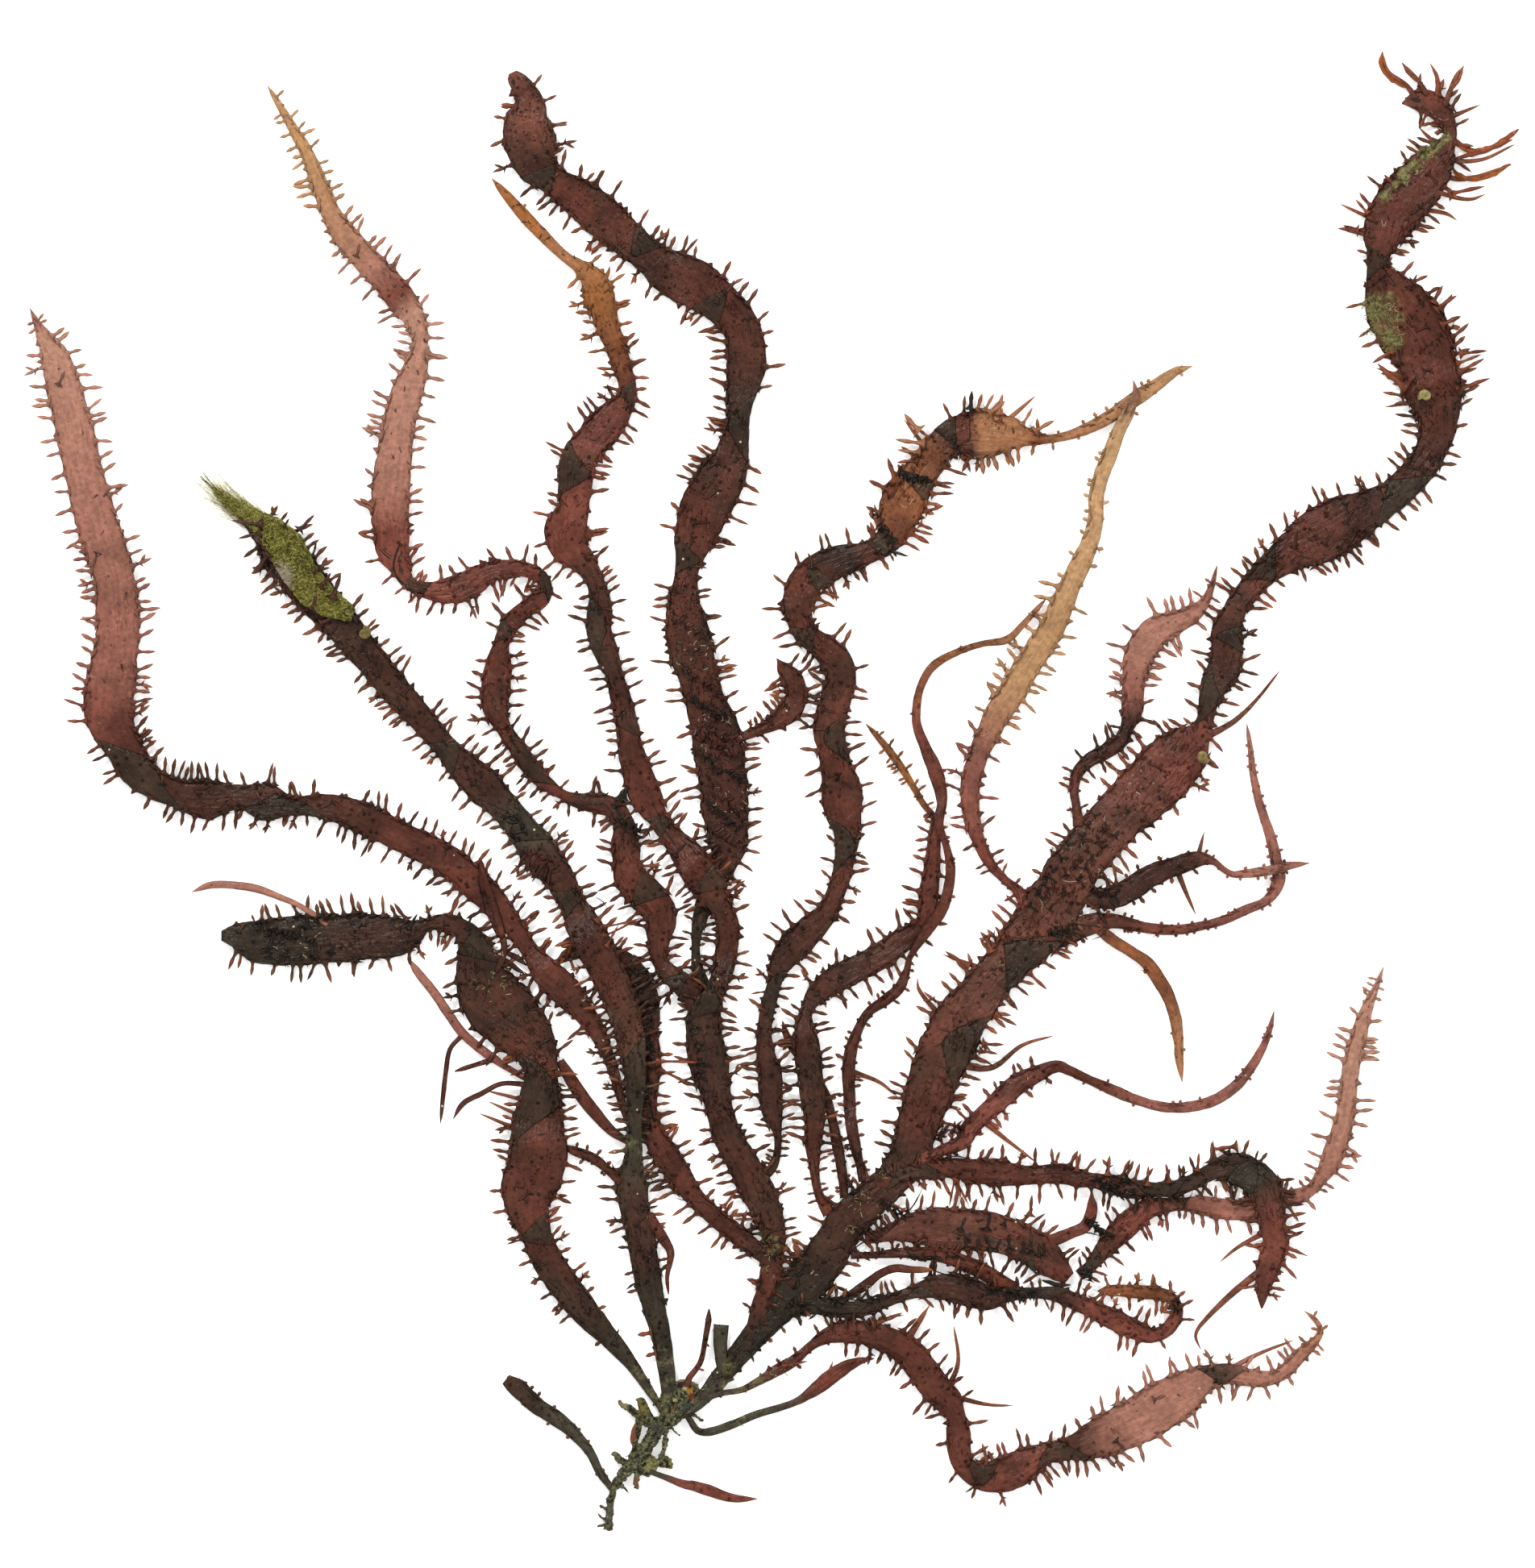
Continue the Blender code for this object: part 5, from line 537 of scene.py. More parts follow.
# Where a blade lies folded over lengthwise: (from, to, side of the fold, share of the width that it covers)
FOLDS = {
    "far_left_frond": [((-50, 82.5), (-62, 84), L, .8), ((-70, 84.2), (-80, 93.5), L, .9)],
    "left_tall_frond": [((-7, 34), (-7.2, 50), R, 1), ((-15.2, 67.6), (-17.2, 71.6), L, 1),
                        ((-20.5, 76.3), (-25, 82.2), R, .9), ((-30.8, 88.3), (-34.5, 92.8), L, 1)],
    "left_blunt_frond": [((-21.6, 25), (-19.8, 20), R, 1), ((-20.6, 35.2), (-20.4, 49), L, 1),
                         ((-28.8, 60), (-31, 65.4), R, 1), ((-56, 63.6), (-65, 64.4), L, 1)],
    "middle_frond": [((3, 52), (4.8, 58), L, 1), ((4.4, 70), (2.2, 73.4), R, 1),
                     ((-2, 79), (-4, 81.6), L, 1), ((-7.8, 92), (-8.6, 97), R, 1),
                     ((-10.6, 103), (-12, 113), L, .8), ((-15.4, 126), (-13.8, 132.5), L, .9),
                     ((-8.4, 139.4), (-8.1, 142.4), R, 1)],
    "upper_left_frond": [((.6, 56.8), (-2, 59.2), L, 1), ((-4, 68.4), (-7.4, 72.2), R, 1),
                         ((-8.4, 79.5), (-9, 81.6), L, 1), ((-18, 84.6), (-25, 93.4), R, .9),
                         ((-25.4, 105.4), (-24.4, 108.4), L, 1), ((-19.8, 112), (-20.6, 115.2), R, 1),
                         ((-35.4, 112.8), (-39.4, 115), R, 1)],
    "bumpy_frond": [((.3, 115), (1.4, 120), L, .9), ((7.3, 131.5), (8.1, 141), R, .9),
                    ((6.8, 152), (3.2, 155.2), L, .8), ((-4.4, 159.6), (-8, 162.6), R, .8),
                    ((-17.6, 170.2), (-20.9, 172.8), L, 1)],
    "curled_frond": [((11.6, 52.5), (13.3, 60), R, 1), ((22.2, 72.5), (22.8, 81.5), L, .9),
                     ((21.7, 87.8), (20.6, 96.5), R, .7), ((19, 105.2), (16.6, 108.2), L, 1),
                     ((17, 113.6), (20, 116.2), R, .8), ((26, 118.3), (29, 120.6), L, 1),
                     ((31.6, 127), (33.6, 129.6), R, .9), ((36.6, 133.6), (39, 134.8), L, .9)],
    "right_tall_frond": [((34.8, 43.5), (41, 55.5), R, .6), ((43.4, 58.4), (50, 65.6), R, .8),
                         ((72.8, 93.4), (75.6, 101.4), L, 1), ((76.4, 104.4), (76.9, 108.8), R, .8),
                         ((79.6, 113.2), (84.6, 117.7), L, .9), ((96, 124.2), (103.8, 130.6), R, .9),
                         ((98, 157.4), (97.9, 161.4), L, 1)],
    "bent_down_frond": [((28, 29.5), (37, 31.6), R, .9), ((62.8, 28.8), (71, 29.6), L, 1),
                        ((76, 31.6), (81.6, 29.2), R, .9)],
    "pale_tip_frond": [((55.8, 16.8), (59, 20.2), L, 1)],
    "looped_frond": [((17, 12), (27, 12.4), L, .8), ((30, 13.5), (36, 15), R, .7),
                     ((45, 13.9), (54, 13.4), L, .9)],
    "lowest_frond": [((39.4, -10), (44.8, -11.4), L, .8), ((48.6, -9.5), (56.5, -7), R, .9),
                     ((72.6, 1.8), (79, 2.4), L, 1)],
}

# Short dark ridges and spines that lie on a blade's face, for each millimetre of its length
RIDGES = {
    "right_tall_frond": 1.6, "left_blunt_frond": 1, "left_tall_frond": .9, "middle_frond": .6,
    "bumpy_frond": .5, "upper_left_frond": .3, "curled_frond": .3, "looped_frond": .5, "lowest_frond": .25,
    "far_left_frond": .2, "bent_down_frond": .3, "wide_red_blade": .4, "slim_frond_long": .3,
}


# Raised dots on each square millimetre of the roughest blades
DOTS = {"bumpy_frond": 2.4, "left_blunt_frond": 1.6}
OTHER_DOTS = 1.1
DOT_SIDES = 5

# Where a blade's margins turn nearly bare: the share of its length, and the part of the spines kept there
BARE = {
    "middle_frond": (.9, .06), "curled_frond": (.86, .3), "pale_frond": (.62, .6),
    "slim_frond_bent": (.35, .15), "arched_branch": (.15, .7), "hooked_branch": (0, .12),
    "rising_branch": (.35, .4), "falling_branch": (0, .7),
}

# Olive film on the older parts and along the right tip's margin: (x, y, reach, strength)
FILMS = [
    (-2.4, -1, 5, .42), (-3.2, 5, 4, .25), (9.5, 1.4, 4, .5), (6, 3, 3, .35), (-10, -14, 7, .2),
    (97.6, 152, 4.2, .85), (99.4, 148.4, 3, .8), (98.5, 168.3, 1.1, .9), (99.9, 169.9, 1.2, 1),
    (101.3, 171.4, 1.2, 1), (102.7, 172.9, 1.2, 1.1), (104.2, 174.3, 1.3, 1.1), (105.8, 175.5, 1.3, 1.2),
    (107.2, 176.5, 1.1, 1.1), (9, -4, 5, .35), (-7, 3, 4, .2), (12.6, 21.5, 3, .4), (-7, 35, 2.5, .3),
]

# Where a blade's root runs on into what it grows from
ROOTS = {
    "right_tall_frond": [(-1.2, -3.2, 1.4), (.6, -2.2, 1.9)], "left_tall_frond": [(-2.8, -3.2, 1.2)],
    "left_blunt_frond": [(-2.2, -4, .9)], "crown_blade": [(.3, .8, 1.1), (.6, 1.6, 1)],
    "low_folded_blade": [(-.4, -2, .9)], "low_red_blade": [(-8, -10, .8)],
    "low_left_blade": [(-10.1, -14.4, .7)], "lowest_frond": [(3.2, -.6, .8)], "cut_stump": [(6.4, 1.6, 1.6)],
    "middle_frond": [(8, 4.6, 1.2)], "crossing_frond": [(15.6, 15.2, 1.2)],
}

# The materials' own colours, in the renderer's linear values
DOT_BLACK = (0.010, 0.008, 0.007, 1.0)
CRACK_BLACK = (0.008, 0.007, 0.006, 1.0)
SPECK_CREAM = (0.50, 0.46, 0.32, 1.0)
SPECK_WHITE = (0.50, 0.50, 0.42, 1.0)
FILM_DARK = (0.050, 0.046, 0.016, 1.0)
FILM_LIGHT = (0.20, 0.185, 0.065, 1.0)

# Colours of the marks that lie on the fronds
INKS = {
    "k": paint(40, 34, 30), "r": paint(70, 33, 27), "b": paint(126, 68, 46), "o": paint(150, 80, 36),
    "t": paint(156, 104, 74), "s": paint(116, 104, 72), "m": paint(80, 46, 40), "g": paint(62, 62, 52),
    "y": paint(150, 147, 98), "w": paint(176, 166, 140),
}

# Black wrinkles, fold edges and rolled margins: (ink, radius, points...)
CREASES = [
    ("k", .10, (-17.5, 83.2), (-14, 82.8), (-11, 82.8), (-9.5, 80.4), (-8, 79), (-6, 77.6)),
    ("k", .10, (-4.4, 83), (-3.4, 81), (-2.5, 79), (-.5, 76.2)),
    ("k", .12, (-30, 84), (-27, 82.8), (-24, 81.5)), ("k", .09, (-24, 79.8), (-22.6, 79.6), (-21.6, 78.6)),
    ("r", .50, (-28.6, 75.4), (-28.1, 72.5), (-27.9, 70), (-27, 67.4), (-25.4, 65)),
    ("k", .09, (-12.6, 70), (-11.2, 69), (-10.6, 68.2)),
    ("r", .42, (-29.6, 61.6), (-27, 61.8), (-24.6, 60.6), (-22.4, 59)),
    ("r", .40, (-25.6, 62.2), (-23.6, 61.4), (-22, 60.2)),
    ("o", .40, (-17.8, 60.2), (-16.6, 61.6), (-15.4, 63.8)),
    ("k", .09, (.8, 52), (1.4, 49), (1.2, 46.5), (2.4, 43.2)),
    ("k", .09, (2.6, 51), (3.2, 48), (2.8, 45.6), (3.6, 42.6)),
    ("k", .10, (-1, 27.4), (1.2, 27), (3, 26.8), (4.4, 25.6), (5.6, 25)),
    ("k", .09, (18.2, 34), (18.5, 31.4), (19.3, 28.6)),
    ("k", .10, (17.6, 11.8), (18.6, 12.8), (20.5, 13.3), (24, 13.2), (26, 12.9)),
    ("k", .10, (20.6, 12.2), (22.6, 12.3), (24.5, 12.1), (26, 11.8)),
    ("k", .10, (23.5, 19.6), (24.5, 20.8), (26.2, 21.6), (28, 22.2), (30, 24), (32, 26), (33.6, 28.8)),
    ("k", .08, (26, 22.3), (28.5, 23.4), (30, 24.2)),
    ("k", .10, (27, 29.2), (29, 29), (31, 29.8), (33, 30.2), (34.5, 30.3)),
    ("k", .10, (33.5, 32.6), (35.5, 33.5), (38, 33.4), (40.5, 33)),
    ("k", .10, (34, 17.8), (37.4, 16.7), (39, 17.5), (40.6, 15.6), (43, 14.3), (46, 13.9)),
    ("g", .42, (41, 22), (44, 21.3), (46.6, 20.3), (48.4, 18.8), (49.6, 16.8)),
    ("k", .32, (41.6, 58.2), (43, 59.4), (44.6, 60.2)), ("k", .12, (44.5, 60.5), (47, 63.2), (49, 64.6)),
    ("k", .12, (49, 61.4), (51, 61.4), (52, 62.6), (54.5, 63)),
    ("k", .12, (53.5, 66.2), (57.8, 65.7), (59, 65.6), (60, 65.9)),
    ("k", .10, (57.4, 63.8), (58.8, 64.4), (59.6, 65.6)), ("w", .04, (52.5, 72.6), (54, 72), (57, 72.1)),
    ("w", .04, (49.4, 70.2), (50.4, 69), (50.3, 67.2)),
    ("k", .10, (56, 30.6), (58.2, 30.4), (59.2, 29.6), (60, 28.6)),
    ("k", .10, (69, 27.4), (71, 27.4), (71.6, 28.6)), ("k", .10, (55.4, 22.7), (57, 22.6), (58.6, 22.2)),
    ("k", .35, (50.4, 16), (52.4, 15.4), (54.4, 15.3)), ("k", .09, (54.4, 31.1), (55.6, 30.5), (57, 30.5)),
    ("k", .08, (3.9, 8.6), (4.4, 9.2), (5.2, 9), (6.2, 9.3), (6.6, 9.1)),
    ("s", .24, (-1.5, .8), (-.9, 1.5), (0, 1.75), (1, 1.6), (1.8, 1), (2.1, .2)),
    ("o", .20, (-.2, .8), (.5, 1), (1.2, .5)), ("k", .30, (-.7, 1.2), (-.1, 1.2), (.3, .6)),
    ("k", .22, (-.4, -.1), (.8, .1), (2, -.3)), ("s", .24, (-1.6, -.4), (-.9, -1), (-1.3, -1.8)),
    ("g", .34, (.4, -1.2), (-1.2, -2.6), (-2.6, -4.1), (-3.9, -5.8), (-5, -8), (-7.2, -10.2), (-9.2, -12.4)),
    ("k", .12, (-3.2, -4.2), (-4.5, -6.6), (-5.7, -9)), ("k", .14, (-8.2, -8.8), (-6.6, -8.7), (-5.2, -8.9)),
    ("b", .45, (-6.6, -3.9), (-7, -5.8), (-7, -7.8)), ("k", .10, (-4.9, -1.8), (-4.3, -3.4), (-3.3, -4.2)),
    ("g", .30, (-2, 4), (-1.5, 2), (-1, 0)), ("k", .12, (-2.4, 3.6), (-2, 2), (-1.7, .4)),
    ("k", .10, (-3.9, .2), (-3.1, -1.4), (-2.5, -2.6)), ("s", .22, (1.8, -2.6), (3, -1.9), (4.4, -.8)),
    ("k", .30, (4.2, 1.4), (4.7, 1.8), (5.2, 1.7)), ("s", .26, (6, 3), (6.6, 3.5), (7.1, 3.6)),
    ("k", .22, (5.1, 5.4), (5.6, 4.9)),
    ("m", .55, (-60.6, 120.8), (-59.2, 119.8), (-58.3, 118.2), (-58, 116.4)),
    ("k", .10, (-46.8, 105.3), (-45.4, 105.4), (-44, 105)),
    ("k", .10, (-46.2, 103.9), (-44.4, 103.8), (-42.6, 103.2)),
    ("k", .10, (-45.2, 102.5), (-43.6, 102.9), (-42.4, 102.4)),
    ("k", .10, (-43, 119.6), (-41.6, 118), (-40.2, 117.4)),
    ("g", .26, (-39, 119.6), (-39.6, 117.6), (-39.8, 115), (-37.8, 113.2), (-35, 112.8)),
    ("k", .10, (96.4, 155.4), (98.2, 156.6), (100.4, 155.4)),
    ("k", .12, (98.2, 158.4), (99.6, 156.6), (100.8, 155)),
    ("r", .42, (-42.9, 119.8), (-41.6, 118.5), (-40.2, 117.5)),
    ("k", .14, (-43.1, 119.2), (-41.9, 117.9), (-40.6, 117)),
    ("r", .5, (-38.8, 120.5), (-39.5, 118.6), (-40.1, 117.2), (-39.6, 115.3), (-37.7, 113.3), (-35.2, 112.6)),
    ("k", .16, (-39.6, 120), (-40.3, 118.4), (-40.8, 116.4), (-40, 114.4), (-38, 112.6)),
    ("r", .5, (-28.6, 74.2), (-27.9, 70.6), (-26.9, 67), (-25.5, 63.8)),
    ("k", .13, (-29.1, 73), (-28.4, 70), (-27.4, 66.6)),
    ("r", .5, (-29.2, 52.2), (-26, 53), (-22.6, 51.6), (-19.9, 49)),
    ("k", .13, (-28.6, 51.5), (-26, 52.2), (-22.8, 50.8)),
    ("o", .42, (98.3, 188.7), (98.1, 187), (99.2, 185.2), (102.4, 183.3)),
    ("b", .30, (101, 187.2), (102.2, 185.5), (103.9, 184)),
    ("b", .26, (105, 187), (105.9, 185.2), (105.8, 183.6)),
    ("b", .28, (109.7, 186.7), (109, 184.8), (107.6, 183)),
    ("o", .42, (108.4, 176.2), (110.6, 174.8), (114, 175.4), (117.4, 177.8)),
    ("b", .32, (108.4, 173.7), (112, 174.5), (116.5, 176.3)),
    ("o", .44, (107.8, 172), (110, 170.9), (113, 171.2), (116.3, 172.9)),
    ("k", .34, (101.4, 182.2), (104, 181.8), (106.2, 182)),
    ("w", .035, (104.8, 180.6), (105.6, 179.6), (107, 179), (108, 179.6)),
    ("w", .035, (98, 166), (98.4, 164), (99, 165.6)),
    ("g", .28, (26.8, 125), (27.6, 122.4), (27.5, 120), (29, 118.6), (31.6, 117.7)),
    ("k", .09, (22.2, 118.2), (23.4, 118.5), (24.6, 118.6)),
    ("k", .09, (22.3, 116.4), (23.6, 116.6), (24.6, 117.1)),
    ("k", .10, (26.2, 119.4), (24.6, 117.6), (21.8, 115.8), (20.4, 113.8)),
    ("k", .10, (40.3, 138.8), (40.2, 136), (40.2, 134.2), (38.6, 132.6), (37.2, 130.6)),
    ("b", .12, (45.4, 136.8), (45.3, 135.9), (45, 135)),
    ("w", .04, (30, 125.4), (31.4, 124.6), (32.6, 126.4)),
]

# Rows of spines that lie on a face: (ink, from x, from y, to x, to y, how many, heading in degrees, length)
COMBS = [
    ("m", 2.6, 94, 7.2, 91.5, 11, 20, 1.3), ("r", 2.8, 92, 7, 89.6, 10, 110, 1.2),
    ("k", 3, 89, 8, 86, 9, 10, 1.2), ("r", 4, 85, 8, 81, 8, 30, 1.1), ("k", 3.4, 83, 7.6, 79.4, 8, 120, 1),
    ("m", 3.6, 79.5, 8, 77, 7, 40, 1.3), ("m", -1, 109, 3, 106, 7, 30, 1),
    ("r", 0, 101.5, 4.5, 98.6, 8, 20, 1), ("k", 1.2, 97.4, 5.4, 95, 8, 100, 1.1),
    ("k", -58.5, 62.6, -51, 66.6, 9, 70, 1.4), ("k", -59.5, 66, -52, 63.4, 9, -60, 1.3),
    ("k", -58, 61.4, -49, 62, 8, 80, 1.2), ("k", 40, 20.6, 51, 19.6, 9, 88, 1.9),
    ("k", 49.5, 71, 57.7, 81.1, 8, 30, 1.2), ("r", 50.9, 69.6, 59.6, 79.4, 8, 100, 1.1),
    ("k", 51.9, 68.4, 60.4, 78.6, 7, 60, 1), ("r", -22.4, 76.4, -19.2, 75.6, 7, 235, 2.6),
    ("r", -20, 75, -18.6, 73.6, 5, 262, 2.8), ("k", -23.6, 81.2, -21.8, 78.8, 4, 172, 2.2),
    ("k", -9.8, 82.4, -8.2, 84.2, 6, 60, 1.8), ("k", -9.4, 80.8, -6.8, 79.2, 8, 80, 1.5),
    ("k", -7, 57.6, -5, 53.4, 5, 30, 2.6), ("k", -7.4, 59.2, -5.4, 58.6, 3, 5, 2.4),
    ("k", -4.8, 54.2, -4.2, 51.8, 4, 190, 1.4), ("k", 1.2, 51.4, 2.6, 42.8, 9, 350, 1.7),
    ("k", -4.6, 43.8, -4.6, 36.8, 7, 180, 1.2), ("k", -5.2, 50.4, -4.4, 47.2, 6, 300, 1.4),
    ("k", 20.6, 12.9, 27.2, 13.5, 14, 20, 1.6), ("k", 28, 26.6, 31, 25.4, 8, 320, 1.4),
    ("r", 34.4, 33.1, 40, 33.2, 7, 80, 1.1), ("r", 35.4, 35.6, 38.8, 37.4, 8, 55, 2.2),
    ("k", 39.6, 23, 45.6, 23.6, 3, 76, 2.5), ("k", 51.6, 64.8, 54.6, 65.6, 7, 335, 2.6),
    ("k", 57.6, 71.4, 60.4, 70.2, 5, 300, 2.4), ("k", 48.6, 68.8, 51.2, 72.8, 4, 315, 1.8),
    ("k", 57.8, 30.2, 61.6, 28.2, 11, 300, 1.3), ("k", 62.3, 30.4, 63.3, 28, 6, 200, .9),
    ("k", 56.6, 24.4, 59, 22.2, 10, 340, 1.4), ("k", 55, 18.4, 57.2, 16, 14, 60, 1.5),
    ("k", 69.6, 13.4, 69, 12, 5, 180, .9), ("k", 30.2, 129.2, 34, 128.2, 13, 20, 1.3),
    ("k", 27.2, 123.4, 29.4, 118.8, 12, 330, 1.2), ("k", 43, 14.6, 49, 13.9, 9, 285, 1.2),
    ("k", 31.6, 19.4, 38, 19.2, 7, 350, 1.6),
]

# Single spines read off one by one: (ink, root x, root y, tip x, tip y, width)
LAID = [
    ("b", -3.8, 46.7, 2.2, 46.9, .5), ("b", -3.6, 45.7, 1.2, 43.4, .5), ("b", 6, 46.6, 9, 47.8, .4),
    ("b", -11.6, 65.6, -5.8, 66.3, .4), ("b", -11.4, 64.3, -6.4, 66.1, .4),
    ("b", -10.8, 62.9, -9.2, 65.9, .4), ("b", -12.2, 66.4, -9.8, 69, .7), ("b", 40.2, 60.2, 36.6, 61.8, .7),
    ("b", 39.8, 60, 37.8, 58.2, .6), ("b", 43.4, 62.2, 42.2, 64.4, .6), ("b", 45, 64.2, 43.9, 65.8, .5),
    ("b", 46.7, 56.4, 49.3, 52.7, .8), ("b", 48.5, 59.2, 51, 56.7, .6), ("b", 51.4, 60.7, 52.8, 57.6, .6),
    ("b", 43.8, 53.3, 46.9, 51.8, .6), ("b", 42.8, 50.8, 45.5, 49.7, .6), ("b", 42, 49.2, 45, 48.8, .6),
    ("b", 41.6, 48.2, 44.2, 47.9, .5), ("b", 40.8, 47.6, 43.4, 46.1, .5), ("b", 39.4, 44.8, 41.8, 43.8, .6),
    ("b", 34.2, 29.8, 34.1, 26.8, .4), ("b", 36.8, 30.2, 37.7, 26.8, .4), ("b", 38.2, 30.2, 37, 26.4, .4),
    ("b", 38.4, 30, 39.7, 26.6, .4), ("b", 45.4, 29, 44.4, 25.6, .5), ("b", 46.6, 25.4, 47.4, 27.8, .6),
    ("b", 48.7, 25, 49, 28, .6), ("b", 50.7, 24.6, 51.2, 28, .6), ("b", 54.6, 24, 54.5, 27.4, .6),
    ("b", 77.8, 34.8, 74.4, 34.4, .7), ("b", 52.3, 32.4, 52.9, 34.1, .5), ("b", 55.2, 31.4, 55.5, 33.7, .5),
    ("b", 59.6, 30.8, 59.8, 32.9, .5), ("b", 65.2, 29.4, 65.2, 32.1, .5), ("b", 68.3, 29.8, 67.8, 32.5, .5),
    ("b", 70.6, 30.8, 70.5, 33.3, .6), ("b", 72.2, 31.4, 72.6, 33.9, .5), ("b", 31, 25.8, 28.9, 27, .4),
    ("r", 38.9, 6, 38.1, 9.6, .6), ("b", 26.6, 9.8, 30.9, 10.9, .7), ("b", -4.5, 8.6, -6.5, 8.2, .8),
    ("b", -3.9, 5.7, -5.4, 5.4, .7), ("b", 14, 3.9, 17.5, 4.5, .4), ("b", 14.8, 2.9, 16.6, 2.7, .4),
    ("b", 2.2, 3.5, 2.9, 3.2, .4), ("b", 3.1, 7.2, 3.6, 6.6, .4), ("k", 60.4, 24.6, 59.4, 26.2, .4),
    ("b", 64.2, 22.6, 65.9, 21, .5), ("m", -54, 121.4, -51.9, 123.6, .6),
    ("m", -52.6, 119.4, -51, 121.1, .5), ("m", -52.1, 117.8, -51.5, 119.7, .4),
    ("m", -52, 115.5, -49.7, 116.2, .5), ("m", -50.9, 113.4, -49.4, 115.3, .6),
    ("m", -49.2, 111.8, -48.1, 115.2, .7), ("m", -59.2, 122.2, -63.4, 122.3, .6),
    ("m", -59.4, 121, -62.6, 120.3, .5), ("m", -58.4, 118, -60, 115.1, .7),
    ("m", -57.6, 116.2, -59.1, 114.7, .5), ("m", -56.4, 112.6, -57.6, 113.5, .4),
    ("m", -53, 110.3, -55, 109.8, .4), ("m", -47.2, 110.4, -45.6, 108.2, .5),
    ("m", -52.2, 110.3, -51.5, 112.3, .5), ("m", -51, 108.3, -48.9, 109.3, .6),
    ("m", -47.6, 109.6, -46, 111.2, .4), ("m", -60.6, 121.6, -62.2, 123, .4),
    ("m", -56, 121.8, -55.4, 123, .4), ("b", 109.2, 146.2, 113.1, 146.7, .6),
    ("b", 108.8, 144.8, 112.2, 146, .5), ("b", 109, 143.6, 112.7, 145.4, .6),
    ("b", 108.8, 141, 113.3, 143, .7), ("b", 101.6, 141.4, 97.3, 144.3, 1),
    ("b", 99.6, 146.6, 96.8, 145, .6), ("b", 95.6, 165.4, 92.1, 167.5, .9), ("b", 96.2, 166, 94.6, 168, .5),
    ("b", 94.8, 163.6, 92, 163.9, .6), ("b", 100.2, 169.6, 98.4, 171.3, .6),
    ("b", 105.4, 153.4, 106.8, 155.8, .7), ("b", 105.8, 152.4, 108.6, 154.6, .7),
    ("b", 106.6, 150.2, 109.3, 151.6, .8), ("b", 107.6, 168.6, 112.6, 169.7, .7),
    ("b", 107, 167.2, 108.8, 166, .6), ("b", 94.8, 153.6, 92.2, 152.8, .9),
    ("b", 95.4, 151.6, 93.2, 151.2, .5), ("b", 96.8, 148.6, 94.4, 148.3, .8),
    ("t", 33.2, 135.4, 30.8, 137.5, .9), ("k", 40.3, 138.4, 40.6, 141, .7),
    ("t", 43, 137.8, 45.3, 139.3, .9), ("b", 44.5, 136.6, 45, 138.5, .5), ("t", 49.4, 135.2, 52, 137, .7),
    ("b", 40.2, 131.8, 39.1, 129.6, .7), ("t", 41.8, 131.8, 42.2, 129.2, .8),
    ("t", 43.3, 132, 44.4, 129.8, .8), ("t", 45.5, 132.6, 46.4, 130.2, .8),
    ("t", 47.6, 132.4, 49.2, 131, .7), ("b", 36.4, 130.4, 39.8, 128.7, .6),
    ("b", 35.4, 128, 38.2, 128.1, .5), ("b", 34.8, 126.4, 38, 126.8, .6), ("b", 34, 124, 36.7, 124.6, .6),
    ("b", 33.2, 122.2, 35, 121.3, .6), ("b", 31.8, 121, 34.6, 119.5, .8),
    ("t", 33.8, 133.6, 29.7, 134.1, .7), ("t", 33.2, 132.4, 30, 132.5, .6),
    ("b", 32.8, 131.2, 30, 131.2, .6), ("b", 29.8, 128.2, 28.8, 131.6, .8),
    ("b", 29.2, 126.8, 26.2, 128.4, .7), ("b", 14.2, 20.4, 16.8, 18.8, .5), ("b", 10.6, 24.6, 7.2, 24.4, .5),
    ("b", 5.6, 26.2, 7.8, 28.8, .5),
]

# Dark grains, and yellow-green and whitish bits caught on the plant: (ink, x, y, reach, how many)
FLECKS = [
    ("k", .4, 111, 2.6, 40), ("k", 1.6, 104.5, 3, 60), ("k", 3.4, 98, 3, 60), ("k", 4.8, 92, 3.4, 70),
    ("r", 5.6, 85, 3.4, 50), ("k", 5.8, 79, 3.4, 46), ("w", 1.6, 104, 3, 14), ("w", 5, 93, 3.3, 22),
    ("w", 5.6, 84, 3, 14), ("k", -54.6, 63.8, 4.6, 40), ("w", -54, 63.6, 4, 12), ("k", -24, 52, 4.4, 40),
    ("k", -20, 45, 3.4, 24), ("k", 54.6, 75, 5.5, 46), ("k", 61, 84.6, 3.6, 16), ("w", 56.6, 76.6, 4.6, 20),
    ("w", 63.6, 87.6, 3, 12), ("y", 97.6, 151.4, 3, 150), ("y", 99.6, 148.2, 1.8, 60),
    ("w", 98, 152, 1.6, 10), ("y", 103, 172.4, 1.2, 20), ("y", 105, 174.6, 1, 14), ("y", 101, 170.4, .9, 12),
    ("y", 100.4, 158.8, 1, 10), ("w", -56.2, 115.2, 1.6, 24), ("y", 12.2, 20.6, 1.4, 16),
    ("y", 12, 17, 1, 6), ("y", 23.4, 23.4, .8, 8), ("y", 24.8, 26.8, 1.4, 12), ("y", 28.2, 31, .6, 8),
    ("w", 26.2, 15, .5, 6), ("w", 59.4, 29.6, .7, 8), ("y", 13.8, 3.4, 1.8, 22), ("y", 8.6, -3.8, 1.8, 8),
    ("y", -4.6, 42.6, .8, 8), ("w", -26, 62.3, .6, 9), ("y", -26.6, 57.6, 2.6, 18),
    ("w", -13.6, 55.2, .7, 6), ("y", 44.4, 60.2, .6, 5), ("w", 18, 16.6, .5, 3), ("y", 3.4, 1.2, 2.2, 8),
]


